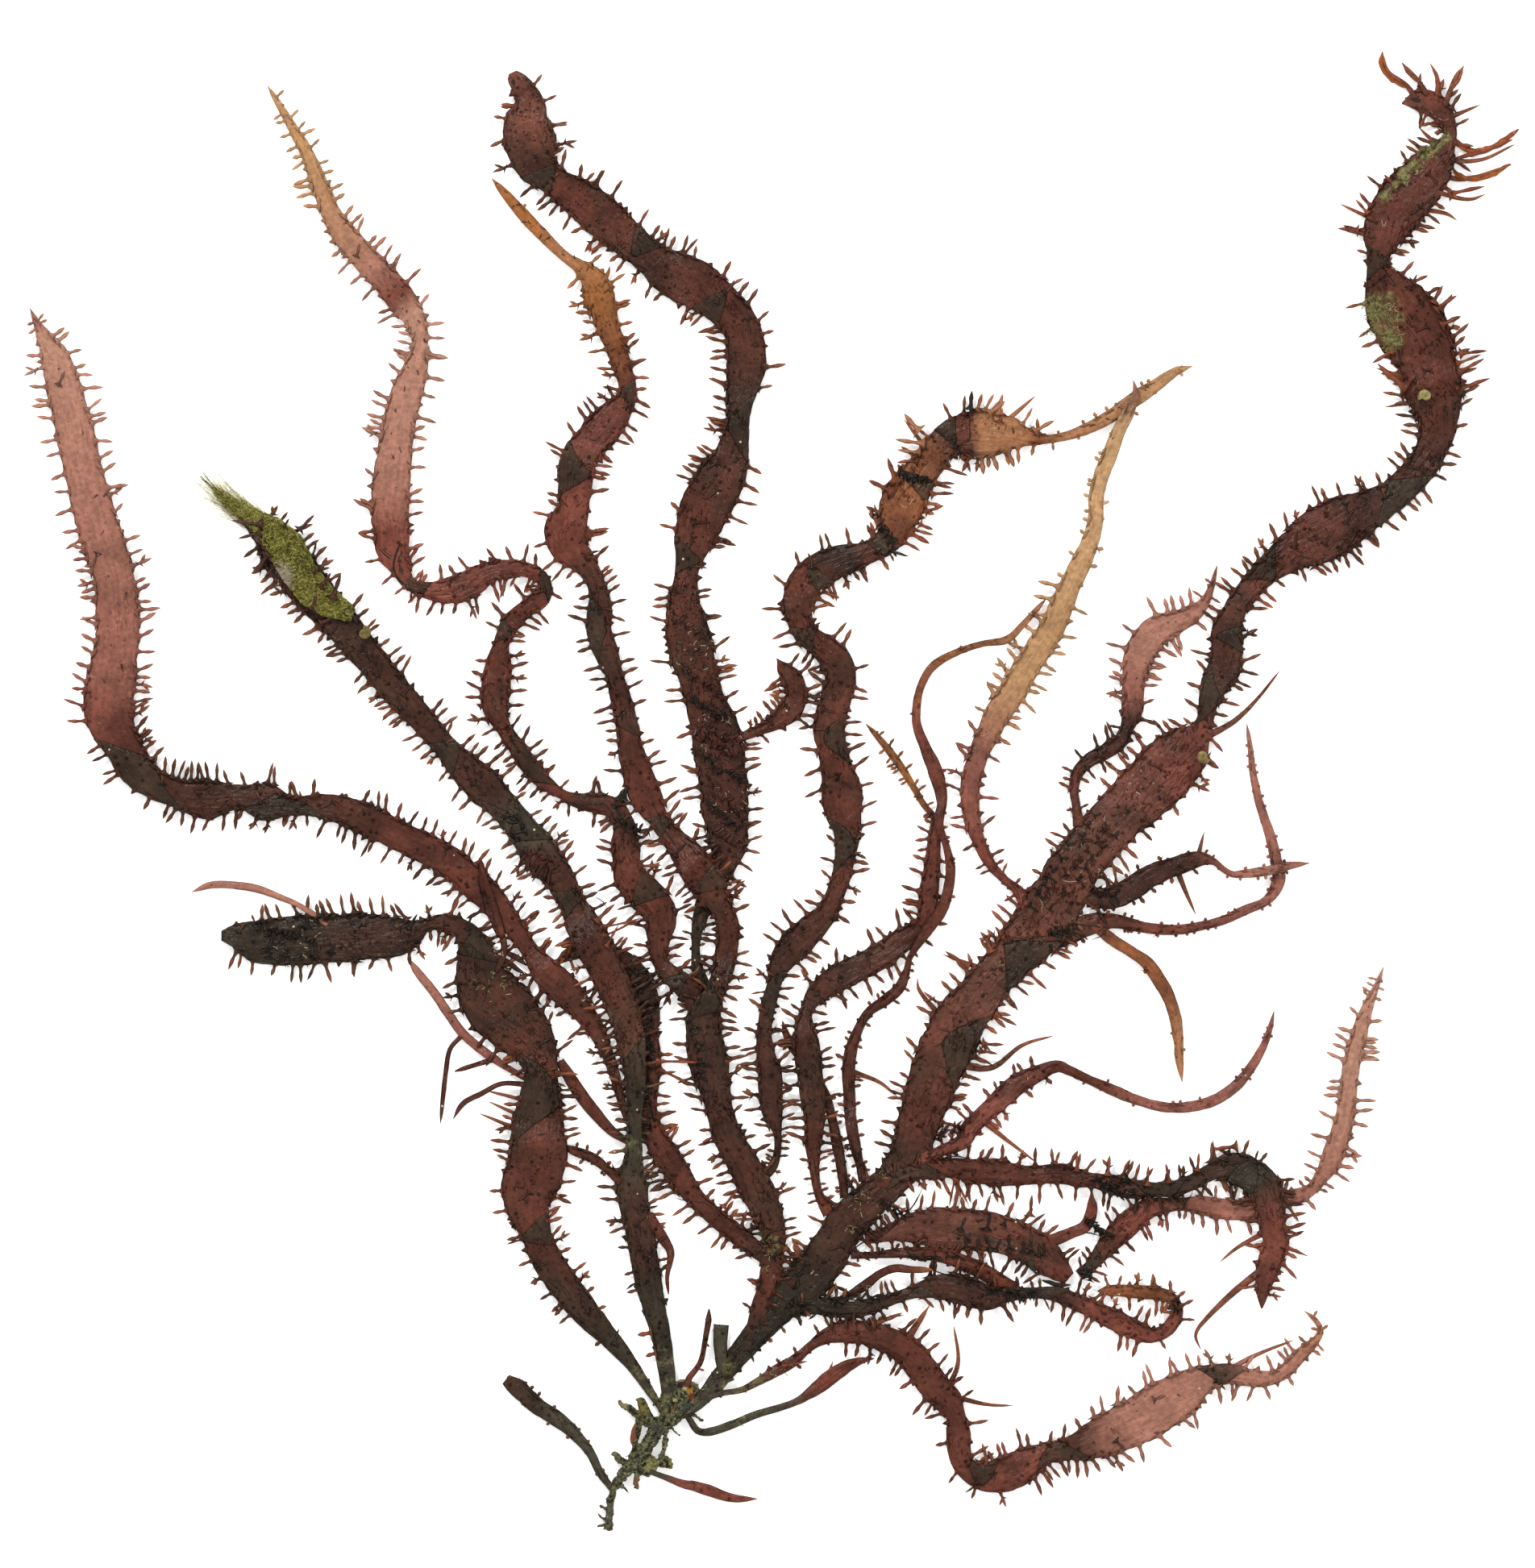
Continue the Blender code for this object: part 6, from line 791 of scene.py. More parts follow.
def smooth_curve(points):
    """A smooth curve through the given rows of values, read off every FINE_STEP of its length."""
    rows = np.array(points, float)
    ends = np.vstack([2 * rows[0] - rows[1], rows, 2 * rows[-1] - rows[-2]])
    dense = []
    for before, start, end, after in zip(ends, ends[1:], ends[2:], ends[3:]):
        for t in np.linspace(0.0, 1.0, CURVE_PARTS, endpoint=False):
            dense.append(0.5 * (2 * start + (end - before) * t
                                + (2 * before - 5 * start + 4 * end - after) * t ** 2
                                + (3 * start - 3 * end + after - before) * t ** 3))
    dense = np.array(dense + [rows[-1]])
    steps = np.hypot(np.diff(dense[:, 0]), np.diff(dense[:, 1]))
    length = np.concatenate([[0.0], np.cumsum(steps)])
    count = max(4, int(round(length[-1] / FINE_STEP)) + 1)
    at = np.linspace(0.0, length[-1], count)
    return at, np.column_stack([np.interp(at, length, column) for column in dense.T])


def solid_surface(node):
    """The node's solid as a tree that rays can be cast at, in millimetres."""
    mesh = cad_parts[node].data
    corners = [vertex.co / MM for vertex in mesh.vertices]
    return BVHTree.FromPolygons(corners, [tuple(face.vertices) for face in mesh.polygons])


def height_on(surface, x, y):
    """The height of a solid's upper face at a place, or not a number beside the solid."""
    hit = surface.ray_cast(Vector((x, y, RAY_HEIGHT)), DOWN)[0]
    return math.nan if hit is None else hit.z


def soften(values, reach):
    """A running mean over reach samples on either side."""
    padded = np.pad(values, reach, mode="edge")
    kernel = np.hanning(2 * reach + 3)[1:-1]
    return np.convolve(padded, kernel / kernel.sum(), mode="valid")


class Course:
    """Where a strap runs: its fine centre line, half widths and the height of its middle."""

    def __init__(self, name, points, thickness, surface, parent):
        self.name = name
        self.at, curve = smooth_curve([point[:3] for point in points])
        self.centre = curve[:, :2]
        self.half = np.maximum(curve[:, 2], LEAST_WIDTH) / 2
        if points[-1][2] <= 1.0:
            self.half[-len(TIP_TAPER):] *= TIP_TAPER
        self.folds = [point[3] if len(point) > 3 else None for point in points]
        self.route = np.array([point[:2] for point in points], float)
        tangent = np.gradient(self.centre, axis=0)
        self.tangent = tangent / np.linalg.norm(tangent, axis=1)[:, None]
        self.normal = np.column_stack([-self.tangent[:, 1], self.tangent[:, 0]])
        found = np.array([height_on(surface, x, y) for x, y in self.centre]) - thickness / 2
        known = np.flatnonzero(~np.isnan(found))
        if parent is not None and (len(known) == 0 or known[0] > 0):
            found[0] = parent.height[parent.nearest(self.centre[0])]
            known = np.flatnonzero(~np.isnan(found))
        self.height = soften(np.interp(np.arange(len(found)), known, found[known]), 3)

    def nearest(self, point):
        return int(np.hypot(*(self.centre - np.array(point)).T).argmin())

    def fold_at(self, i):
        return self.folds[np.hypot(*(self.route - self.centre[i]).T).argmin()]

    def outward(self, i, sign, lean):
        """The direction away from the centre line, to the left for sign 1, leaning to the tip."""
        return sign * self.normal[i] * math.cos(lean) + self.tangent[i] * math.sin(lean)


class Layers:
    """Square cells that know which heights are taken, and by which blade."""

    def __init__(self):
        self.cells = {}

    def key(self, point):
        return (int(math.floor(point[0] / CELL)), int(math.floor(point[1] / CELL)))

    def cover(self, owner, point, low, high):
        spans = self.cells.setdefault(self.key(point), {})
        old = spans.get(owner, (low, high))
        spans[owner] = (min(low, old[0]), max(high, old[1]))

    def spans(self, point, ignore):
        found = self.cells.get(self.key(point), {})
        return [span for owner, span in found.items() if owner != ignore]

    def under(self, point, height, ignore):
        return any(high < height for _, high in self.spans(point, ignore))


def above_floor(height):
    """A height in millimetres, where what would sink into the floor is pressed flat just above it."""
    if height > NEAR_FLOOR:
        return height
    room = NEAR_FLOOR - LEAST_HEIGHT
    return LEAST_HEIGHT + room * math.exp((height - NEAR_FLOOR) / room)


class Build:
    """Vertices, faces and per-vertex values of one piece, gathered from its blades and spines."""

    def __init__(self):
        self.vertices = []
        self.faces = []
        self.tints = []
        self.courses = []

    def add(self, rings, tints, courses=None):
        """Join rings of equal size into a closed skin. tints and courses have one entry for each vertex."""
        first = len(self.vertices)
        size = len(rings[0])
        for ring in rings:
            self.vertices += ring
        self.tints += tints
        self.courses += courses if courses is not None else [OFF_STRAP] * len(tints)
        for k in range(len(rings) - 1):
            for j in range(size):
                a, b = first + k * size + j, first + k * size + (j + 1) % size
                self.faces.append((a, b, b + size, a + size))
        last = first + (len(rings) - 1) * size
        self.faces.append(tuple(range(first, first + size))[::-1])
        self.faces.append(tuple(range(last, last + size)))

    def make(self, name, material):
        mesh = bpy.data.meshes.new(name)
        mesh.from_pydata([(x * MM, y * MM, above_floor(z) * MM) for x, y, z in self.vertices], [], self.faces)
        films = [film_at(x, y) for x, y, z in self.vertices]
        give_values(mesh, [(*t[:3], film) for t, film in zip(self.tints, films)], self.courses)
        mesh.materials.append(material)
        mesh.shade_smooth()
        made = bpy.data.objects.new(name, mesh)
        bpy.context.scene.collection.objects.link(made)
        return made


def give_values(mesh, tints, courses):
    """Colour with the amount of olive film as its fourth value, and the place across and along the strap."""
    tint = mesh.attributes.new("tint", "FLOAT_COLOR", "POINT")
    tint.data.foreach_set("color", np.array(tints, np.float32).ravel())
    course = mesh.attributes.new("course", "FLOAT_VECTOR", "POINT")
    course.data.foreach_set("vector", np.array(courses, np.float32).ravel())


def film_at(x, y):
    """How strong the olive film is at a place, from 0 to about 1."""
    return max(strength * max(0.0, 1.0 - (math.hypot(x - at_x, y - at_y) / reach) ** 2)
               for at_x, at_y, reach, strength in FILMS)


def tint_at(stops, share):
    """The colour at a share of a blade's length."""
    places = [place for place, colour in stops]
    return np.array([np.interp(share, places, [colour[c] for place, colour in stops]) for c in range(3)])


def bumps(x, y, scale, seed=0.0):
    """Smooth noise from -1 to 1 whose hills are about scale millimetres apart."""
    return noise.noise(Vector((x / scale, y / scale, seed)))


class Strap:
    """The waved, wrinkled surface of one strap, asked for by station and by place across it."""

    def __init__(self, course, seed, ruffle=RUFFLE_HEIGHT):
        self.course = course
        self.seed = seed
        self.ruffle = ruffle

    def point(self, i, u):
        """x, y, the height of the middle and the thickness at station i, u from 1 on the left to -1."""
        course = self.course
        along = course.at[i]
        half = course.half[i]
        side = 0.0 if u > 0 else 5.0
        wobble = 1.0 + OUTLINE_WOBBLE * bumps(along, self.seed + side, 2.2)
        wobble += OUTLINE_WOBBLE * bumps(along, self.seed + 9 + side, 0.9)
        spread = half * wobble * u
        x, y = course.centre[i] + course.normal[i] * spread
        thick = EDGE_THICKNESS + (MID_THICKNESS - EDGE_THICKNESS) * (1 - abs(u) ** 3)
        thick = min(thick, 0.8 * half + 0.08)
        wave = bumps(along, self.seed + 50 + 4 * side, RUFFLE_LENGTH / 2)
        middle = course.height[i] + self.ruffle * min(1.0, half / 1.5) * 1.6 * wave * u ** 2
        middle += WRINKLE_HEIGHT * bumps(along * 0.35, spread * 2.2, 1.0, self.seed)
        middle += 0.7 * WRINKLE_HEIGHT * bumps(x, y, 0.8, self.seed + 3)
        return x, y, max(middle, LOWEST + thick / 2), thick

    def top(self, i, u):
        x, y, middle, thick = self.point(i, u)
        return np.array([x, y, middle + thick / 2])


def add_strap(build, strap, layers, tint, clear):
    """A closed strap with thin, ruffled margins that turn grey in places, and wrinkles along it. clear goes
    from 0 for a dark, opaque blade to 1, and a clear one gets painted shade where it lies over another."""
    course = strap.course
    widest = 2 * course.half.max()
    across = np.linspace(1.0, -1.0, 1 + next(count for limit, count in COLUMNS if widest < limit))
    across = np.sign(across) * np.abs(across) ** 0.6
    share = course.at / course.at[-1]
    rings, tints, places = [], [], []
    for i in range(len(course.at)):
        colour = tint_at(tint, share[i])
        grey = [0.3 + 0.7 * bumps(course.at[i], strap.seed + seed, 7.0) for seed in (5.0, 29.0)]
        top, bottom, top_tint, top_place = [], [], [], []
        for u in across:
            x, y, middle, thick = strap.point(i, u)
            top.append((x, y, middle + thick / 2))
            bottom.append((x, y, middle - thick / 2))
            dark = 1.0 - (0.6 - 0.35 * clear) * abs(u) ** 20
            # Painted shade: a clear blade is darkened where it lies over another, standing in for the light
            # through it that the blade below keeps back
            if clear > 0 and layers.under((x, y), course.height[i] - 0.2, course.name):
                dark *= 1.0 - 0.6 * clear
            edge = max(0.0, abs(u) - 0.25) / 0.75
            edge = max(0.0, 1.0 - 2.0 * clear) * edge * grey[0 if u > 0 else 1]
            top_tint.append(blend(colour, BLACKISH, edge) * dark)
            top_place.append((u * course.half[i], course.at[i], strap.seed))
        rings.append(top + bottom[-2:0:-1])
        tints += top_tint + top_tint[-2:0:-1]
        places += top_place + top_place[-2:0:-1]
    build.add(rings, tints, places)


def add_fold(build, strap, tint, start, end, side, reach):
    """The part of a strap that lies folded over its face: a smooth dark flap from the fold to a free margin,
    which starts and ends on a slant and carries its own short spines."""
    course = strap.course
    first, last = sorted((course.nearest(start), course.nearest(end)))
    begin, finish = course.at[first], course.at[last]
    sign = 1.0 if side == L else -1.0
    lead = min(0.45 * (finish - begin), 2.2 * course.half[first:last + 1].mean() + 0.4)
    rings, tints, places, free = [], [], [], []
    for i in range(first, last + 1):
        along = course.at[i]
        cut = min(1.0, (along - begin) / lead + 0.04, (finish - along) / lead + 0.04)
        wander = 0.10 * bumps(along, strap.seed + 31, 1.6)
        inner = sign * (FOLD_MARGIN - 2 * FOLD_MARGIN * reach * cut * (1.0 + wander))
        inner = max(-FOLD_MARGIN, min(FOLD_MARGIN, inner))
        patch = 0.18 + 0.35 * max(0.0, bumps(along, strap.seed + 77, 4.0))
        colour = blend(BLACKISH, tint_at(tint, along / course.at[-1]), patch)
        top, bottom, top_tint, top_place = [], [], [], []
        for row in FOLD_ROWS:
            u = sign * FOLD_MARGIN + (inner - sign * FOLD_MARGIN) * row
            x, y, middle, thick = strap.point(i, u)
            face = middle + thick / 2
            rim = row in (FOLD_ROWS[0], FOLD_ROWS[-1])
            lift = FOLD_RIM if rim else 0.18 + 0.20 * (1 - row) ** 2
            top.append((x, y, face + lift))
            bottom.append((x, y, face - FOLD_RIM))
            # Painted shade: the rim rows are darkened to a quarter, a thin dark line standing in for the
            # shadow along the flap's edge
            top_tint.append(colour * (0.25 if rim else 1.0))
            top_place.append((u * course.half[i], along, strap.seed + 4))
        rings.append(top + bottom[::-1])
        tints += top_tint + top_tint[::-1]
        places += top_place + top_place[::-1]
        free.append((i, inner, cut))
    build.add(rings, tints, places)
    along = rng.uniform(0.4, 1.6)
    while along < finish - begin:
        i, inner, cut = free[min(len(free) - 1, int(along / FINE_STEP))]
        along += rng.uniform(1.2, 3.0)
        if cut < 0.5 or rng.random() < 0.25:
            continue
        direction = course.outward(i, -sign, math.radians(rng.uniform(-35, 45)))
        root = strap.top(i, max(-1.0, min(1.0, inner))) + np.array([0, 0, 0.08])
        add_spine(build, root, direction, 0.05, rng.uniform(1.0, 2.2), rng.uniform(0.34, 0.5), RIDGE_AND_SHADE,
                  blend(RIDGE_AND_SHADE, SPINE_TIP, 0.5), rng.uniform(-0.3, 0.3))


def add_spine(build, root, direction, rise, length, width, root_tint, tip_tint, bend=0.0, sink=0.3,
              shape=SPINDLE, sides=SPINE_SIDES):
    """One spine: a foot sunk in the margin, a spindle that is widest past its middle, and a point. Its flanks
    are painted darker than its back, as painted shade, and its back and belly painted lighter."""
    flat = np.array([direction[0], direction[1], 0.0])
    flat /= np.linalg.norm(flat)
    aside = np.array([-flat[1], flat[0], 0.0])
    up = np.array([0.0, 0.0, 1.0])
    start = np.array(root) - flat * sink
    rings, tints = [], []
    for share, radius in shape:
        middle = start + flat * (length + sink) * share + aside * bend * length * share ** 2
        middle += up * rise * share
        radius = radius * width / FULL_RADIUS / 2
        colour = blend(root_tint, tip_tint, share)
        ring = []
        for k in range(sides):
            turn = 2 * math.pi * k / sides
            ring.append(tuple(middle + aside * radius * math.cos(turn) + up * radius * 0.7 * math.sin(turn)))
            # Painted shade on the flanks and painted light on the back and belly, as if lit from above
            tints.append(colour * (0.45 + 0.85 * abs(math.sin(turn))))
        rings.append(ring)
    build.add(rings, tints)


def spine_rise(layers, tip, height, owner):
    """How far a spine's tip goes up or down to pass over or under what lies in its way."""
    rise = rng.uniform(-0.2, 0.5)
    for low, high in layers.spans(tip, owner):
        if low - SPINE_ROOM < height + rise < high + SPINE_ROOM:
            over = (low + high) / 2 <= height + 0.2
            rise = high + SPINE_ROOM - height if over else low - SPINE_ROOM - height
    return max(rise, LOWEST + 0.15 - height)


def add_margin_spines(build, strap, layers, length, tint, clear):
    """Spines along both margins, at uneven distances, leaning to the tip, a few of them forked. They are
    fewer and shorter near the crown and where the margin turns bare."""
    course = strap.course
    bare, kept = BARE.get(course.name, (1.0, 1.0))
    for side, sign, seed in ((L, 1.0, 3), (R, -1.0, 17)):
        along = rng.uniform(1.0, 3.0)
        while along < course.at[-1] - 1.2:
            i = int(along / FINE_STEP)
            crowd = bumps(course.at[i], strap.seed + seed, 4.0)
            along += SPINE_PITCH * rng.choice(PITCH_SHARES) * (1.0 - 0.7 * crowd)
            if course.fold_at(i) == side:
                continue
            slim = min(1.0, max(0.45, course.half[i] / 1.2))
            share = rng.choice(LENGTH_SHARES)
            away = min(1.0, max(0.15, (math.hypot(*course.centre[i]) - 7.0) / 18.0))
            full = course.at[i] < bare * course.at[-1]
            if rng.random() > (0.2 + 0.8 * away) * (1.0 if full else kept):
                continue
            size = length * slim * share * away * (1.0 if full else 0.4)
            direction = course.outward(i, sign, math.radians(rng.uniform(-12, 26)))
            x, y, height, _ = strap.point(i, sign)
            tip = (x + direction[0] * size, y + direction[1] * size)
            rise = spine_rise(layers, tip, height, course.name)
            colour = tint_at(tint, course.at[i] / course.at[-1])
            own = 0.35 + 0.45 * min(1.0, 1.6 * clear)
            tip_colour = blend(SPINE_TIP, 0.9 * colour, own) * rng.uniform(0.85, 1.6)
            # Painted shade: a tip that lies over another blade is darkened, standing in for the light from
            # below that the blade under it keeps back
            if layers.under(tip, height + rise, course.name):
                tip_colour = blend(tip_colour, RIDGE_AND_SHADE, 0.75)
            width = rng.uniform(0.52, 0.73) * (0.6 + 0.4 * slim)
            if share < 0.4 or away < 0.35:
                add_spine(build, (x, y, height), direction, rise * 0.3, size, width * 0.75, colour * 0.6,
                          colour * 0.7, 0.0, 0.2, NUB_SHAPE, 5)
                continue
            bend = rng.uniform(-0.14, 0.14)
            add_spine(build, (x, y, height), direction, rise, size, width, colour * 0.7, tip_colour, bend)
            if rng.random() < 0.07:
                middle = np.array([x, y, height + rise * 0.4]) + 0.4 * size * np.array([*direction, 0.0])
                turned = direction + 0.8 * rng.choice((-1, 1)) * np.array([-direction[1], direction[0]])
                add_spine(build, middle, turned, 0.05, size * 0.5, width * 0.8, colour * 0.6, tip_colour)


def add_face_ridges(build, strap, each_mm, tint):
    """Short dark ridges, and now and then a whole spine, lying on the face."""
    course = strap.course
    for _ in range(int(course.at[-1] * each_mm)):
        i = rng.randrange(4, len(course.at) - 4)
        if rng.random() > course.half[i] / course.half.max() + 0.15:
            continue
        u = rng.uniform(-0.85, 0.85)
        turn = rng.uniform(0, 2 * math.pi)
        direction = (math.cos(turn), math.sin(turn))
        long_one = rng.random() < 0.14
        size = min(rng.uniform(1.5, 2.4) if long_one else rng.uniform(0.4, 1.0), 1.5 * course.half[i])
        root = strap.top(i, u) + np.array([0, 0, 0.03])
        colour = blend(tint_at(tint, course.at[i] / course.at[-1]), RIDGE_AND_SHADE, 0.7)
        if long_one:
            add_spine(build, root, direction, 0.1, size, 0.42, colour, colour * 1.6, rng.uniform(-0.4, 0.4))
        else:
            add_spine(build, root, direction, 0.04, size, rng.uniform(0.2, 0.32), colour, colour,
                      rng.uniform(-0.4, 0.4), 0.0, RIDGE_SHAPE, 5)


def add_dots(build, strap, each_mm2, tint):
    """Tiny dark raised dots all over the face."""
    course = strap.course
    area = 2 * course.half * FINE_STEP
    for _ in range(int(area.sum() * each_mm2)):
        i = rng.choices(range(len(area)), weights=area)[0]
        u = rng.uniform(-0.92, 0.92)
        if bumps(course.centre[i][0], course.centre[i][1] + u * 3, 3.0, 8.0) < rng.uniform(-0.5, 0.3):
            continue
        x, y, z = strap.top(i, u)
        radius = rng.choice((0.06, 0.07, 0.09, 0.12))
        height = radius * rng.uniform(1.0, 1.7)
        colour = blend(tint_at(tint, course.at[i] / course.at[-1]), RIDGE_AND_SHADE, 0.75)
        rings = [[(x + radius * r * math.cos(turn), y + radius * r * math.sin(turn), z + h)
                  for turn in np.linspace(0, 2 * math.pi, DOT_SIDES, endpoint=False)]
                 for r, h in ((1.25, -0.03), (0.8, 0.6 * height), (0.2, height))]
        build.add(rings, [colour] * DOT_SIDES * len(rings))


class Shading:
    """Small helpers for building one material's node tree."""

    def __init__(self, name):
        self.material = bpy.data.materials.new(name)
        self.material.use_nodes = True
        self.tree = self.material.node_tree
        self.shader = self.tree.nodes["Principled BSDF"]
        self.link = self.tree.links.new
        self.position = self.tree.nodes.new("ShaderNodeTexCoord").outputs["Object"]

    def attribute(self, name):
        node = self.tree.nodes.new("ShaderNodeAttribute")
        node.attribute_name = name
        return node.outputs

    def noise(self, scale, detail, source=None, stretch=None):
        """Soft noise. scale counts its hills along a metre, or along a millimetre of a strap's own course."""
        texture = self.tree.nodes.new("ShaderNodeTexNoise")
        texture.inputs["Scale"].default_value = scale
        texture.inputs["Detail"].default_value = detail
        source = source or self.position
        if stretch is not None:
            mapping = self.tree.nodes.new("ShaderNodeMapping")
            mapping.inputs["Scale"].default_value = stretch
            self.link(source, mapping.inputs["Vector"])
            source = mapping.outputs["Vector"]
        self.link(source, texture.inputs["Vector"])
        return texture.outputs["Fac"]

    def cells(self, scale):
        texture = self.tree.nodes.new("ShaderNodeTexVoronoi")
        texture.inputs["Scale"].default_value = scale
        self.link(self.position, texture.inputs["Vector"])
        return texture.outputs

    def ramp(self, value, *stops):
        made = self.tree.nodes.new("ShaderNodeMapRange")
        made.clamp = True
        for name, number in zip(("From Min", "From Max", "To Min", "To Max"),
                                (stops[0][0], stops[-1][0], stops[0][1], stops[-1][1])):
            made.inputs[name].default_value = number
        self.link(value, made.inputs["Value"])
        return made.outputs["Result"]

    def math(self, operation, a, b):
        made = self.tree.nodes.new("ShaderNodeMath")
        made.operation = operation
        for socket, value in zip(made.inputs, (a, b)):
            if isinstance(value, (int, float)):
                socket.default_value = value
            else:
                self.link(value, socket)
        return made.outputs["Value"]

    def mix(self, kind, share, a, b):
        made = self.tree.nodes.new("ShaderNodeMix")
        made.data_type = "RGBA"
        made.blend_type = kind
        colour_a, colour_b, result = made.inputs[6], made.inputs[7], made.outputs[2]
        for socket, value in zip((made.inputs["Factor"], colour_a, colour_b), (share, a, b)):
            if isinstance(value, (int, float, tuple)):
                socket.default_value = value
            else:
                self.link(value, socket)
        return result

    def specks(self, scale, near, share):
        """Round specks in a share of the cells. near gives where a speck starts and ends to fade."""
        cells = self.cells(scale)
        split = self.tree.nodes.new("ShaderNodeSeparateColor")
        self.link(cells["Color"], split.inputs["Color"])
        spot = self.ramp(cells["Distance"], (near[0], 1.0), (near[1], 0.0))
        return self.math("MULTIPLY", spot, self.math("GREATER_THAN", split.outputs["Red"], 1.0 - share))

    def finish(self, colour, height, roughness, spread, specular):
        """Wires the shader: roughness wanders by spread on either side, and height goes to the bump."""
        self.link(colour, self.shader.inputs["Base Color"])
        self.link(self.ramp(self.noise(500.0, 3.0), (0.3, roughness - spread), (0.7, roughness + spread)),
                  self.shader.inputs["Roughness"])
        self.shader.inputs["Specular IOR Level"].default_value = specular
        bump = self.tree.nodes.new("ShaderNodeBump")
        bump.inputs["Strength"].default_value = 1.0
        bump.inputs["Distance"].default_value = BUMP_DEPTH
        self.link(height, bump.inputs["Height"])
        self.link(bump.outputs["Normal"], self.shader.inputs["Normal"])
        return self.material


def blade_material(name):
    """Leathery seaweed: the strap's tint with its painted shade, soft mottling, fine lengthwise streaks, dark
    dots and cracks on the dark parts, a few pale specks, and an olive film where the tint's fourth value asks
    for it."""
    make = Shading(name)
    tint = make.attribute("tint")
    course = make.attribute("course")["Vector"]

    # Dark zones, mottling, grain and streaks, which are weaker on pale parts
    bright = make.tree.nodes.new("ShaderNodeRGBToBW")
    make.link(tint["Color"], bright.inputs["Color"])
    darkness = make.ramp(bright.outputs["Val"], (0.05, 1.0), (0.17, 0.12))
    zone = make.ramp(make.noise(120.0, 3.0), (0.50, 0.0), (0.66, 0.50))
    colour = make.mix("MIX", make.math("MULTIPLY", zone, darkness), tint["Color"], (*BLACKISH, 1.0))
    mottle = make.ramp(make.noise(260.0, 6.0), (0.36, 0.70), (0.64, 1.26))
    colour = make.mix("MULTIPLY", make.math("MAXIMUM", darkness, 0.2), colour, mottle)
    grain = make.ramp(make.noise(1500.0, 3.0), (0.35, 0.82), (0.65, 1.16))
    colour = make.mix("MULTIPLY", 1.0, colour, grain)
    streaks = make.noise(1.0, 4.0, course, (1.9, 0.28, 3.0))
    colour = make.mix("MULTIPLY", 1.0, colour, make.ramp(streaks, (0.36, 0.86), (0.6, 1.06)))

    # Dark dots, lengthwise cracks and pale specks
    spots = make.cells(900.0)
    dot = make.ramp(spots["Distance"], (0.12, 1.0), (0.28, 0.0))
    dot = make.math("MULTIPLY", dot, make.ramp(make.noise(350.0, 2.0), (0.46, 0.0), (0.56, 1.0)))
    dot = make.math("MULTIPLY", dot, darkness)
    colour = make.mix("MIX", make.math("MULTIPLY", dot, 0.75), colour, DOT_BLACK)

    along = make.noise(1.0, 4.0, course, (0.9, 0.3, 5.0))
    near_half = make.math("ABSOLUTE", make.math("SUBTRACT", along, 0.5), 0.0)
    crack = make.math("MULTIPLY", make.ramp(near_half, (0.0, 1.0), (0.016, 0.0)), darkness)
    crack = make.math("MULTIPLY", crack, make.ramp(make.noise(140.0, 2.0), (0.52, 0.0), (0.62, 1.0)))
    colour = make.mix("MIX", make.math("MULTIPLY", crack, 0.35), colour, CRACK_BLACK)
    colour = make.mix("MIX", make.specks(620.0, (0.06, 0.12), 0.045), colour, SPECK_CREAM)

    # The olive film
    amount = make.math("ADD", make.noise(600.0, 8.0), make.math("MULTIPLY", tint["Alpha"], 0.42))
    film = make.ramp(amount, (0.62, 0.0), (0.90, 0.92))
    film = make.math("MULTIPLY", film, make.ramp(tint["Alpha"], (0.0, 0.0), (0.2, 1.0)))
    film_grain = make.ramp(make.noise(1900.0, 3.0), (0.38, 0.0), (0.62, 1.0))
    shade = make.mix("MIX", film_grain, FILM_DARK, FILM_LIGHT)
    colour = make.mix("MIX", film, colour, shade)

    height = make.math("ADD", make.math("MULTIPLY", streaks, 0.7), make.math("MULTIPLY", dot, 0.6))
    height = make.math("ADD", height, make.math("MULTIPLY", make.noise(1400.0, 3.0), 0.42))
    height = make.math("ADD", height, make.math("MULTIPLY", crack, 0.4))
    return make.finish(colour, height, roughness=0.25, spread=0.07, specular=0.10)


def crust_material(name, dark, light, white_share, roughness, scale):
    """Old stalk, threads and shells: two colours broken up finely over the tint, with whitish specks."""
    make = Shading(name)
    tint = make.attribute("tint")
    grain = make.ramp(make.noise(scale, 8.0), (0.36, 0.0), (0.64, 1.0))
    shade = make.mix("MIX", grain, (*dark, 1.0), (*light, 1.0))
    colour = make.mix("MIX", tint["Alpha"], shade, tint["Color"])
    fine = make.noise(scale * 2.4, 4.0)
    colour = make.mix("MULTIPLY", 1.0, colour, make.ramp(fine, (0.35, 0.62), (0.65, 1.3)))
    colour = make.mix("MIX", make.specks(scale * 1.3, (0.12, 0.26), white_share), colour, SPECK_WHITE)
    height = make.math("ADD", make.noise(scale, 8.0), make.math("MULTIPLY", fine, 0.6))
    return make.finish(colour, height, roughness, spread=0.1, specular=0.12)


def place_piece(piece, node):
    """The piece takes the node's place, which is hidden, and moves with the root body."""
    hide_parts(node)
    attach(piece, "root")


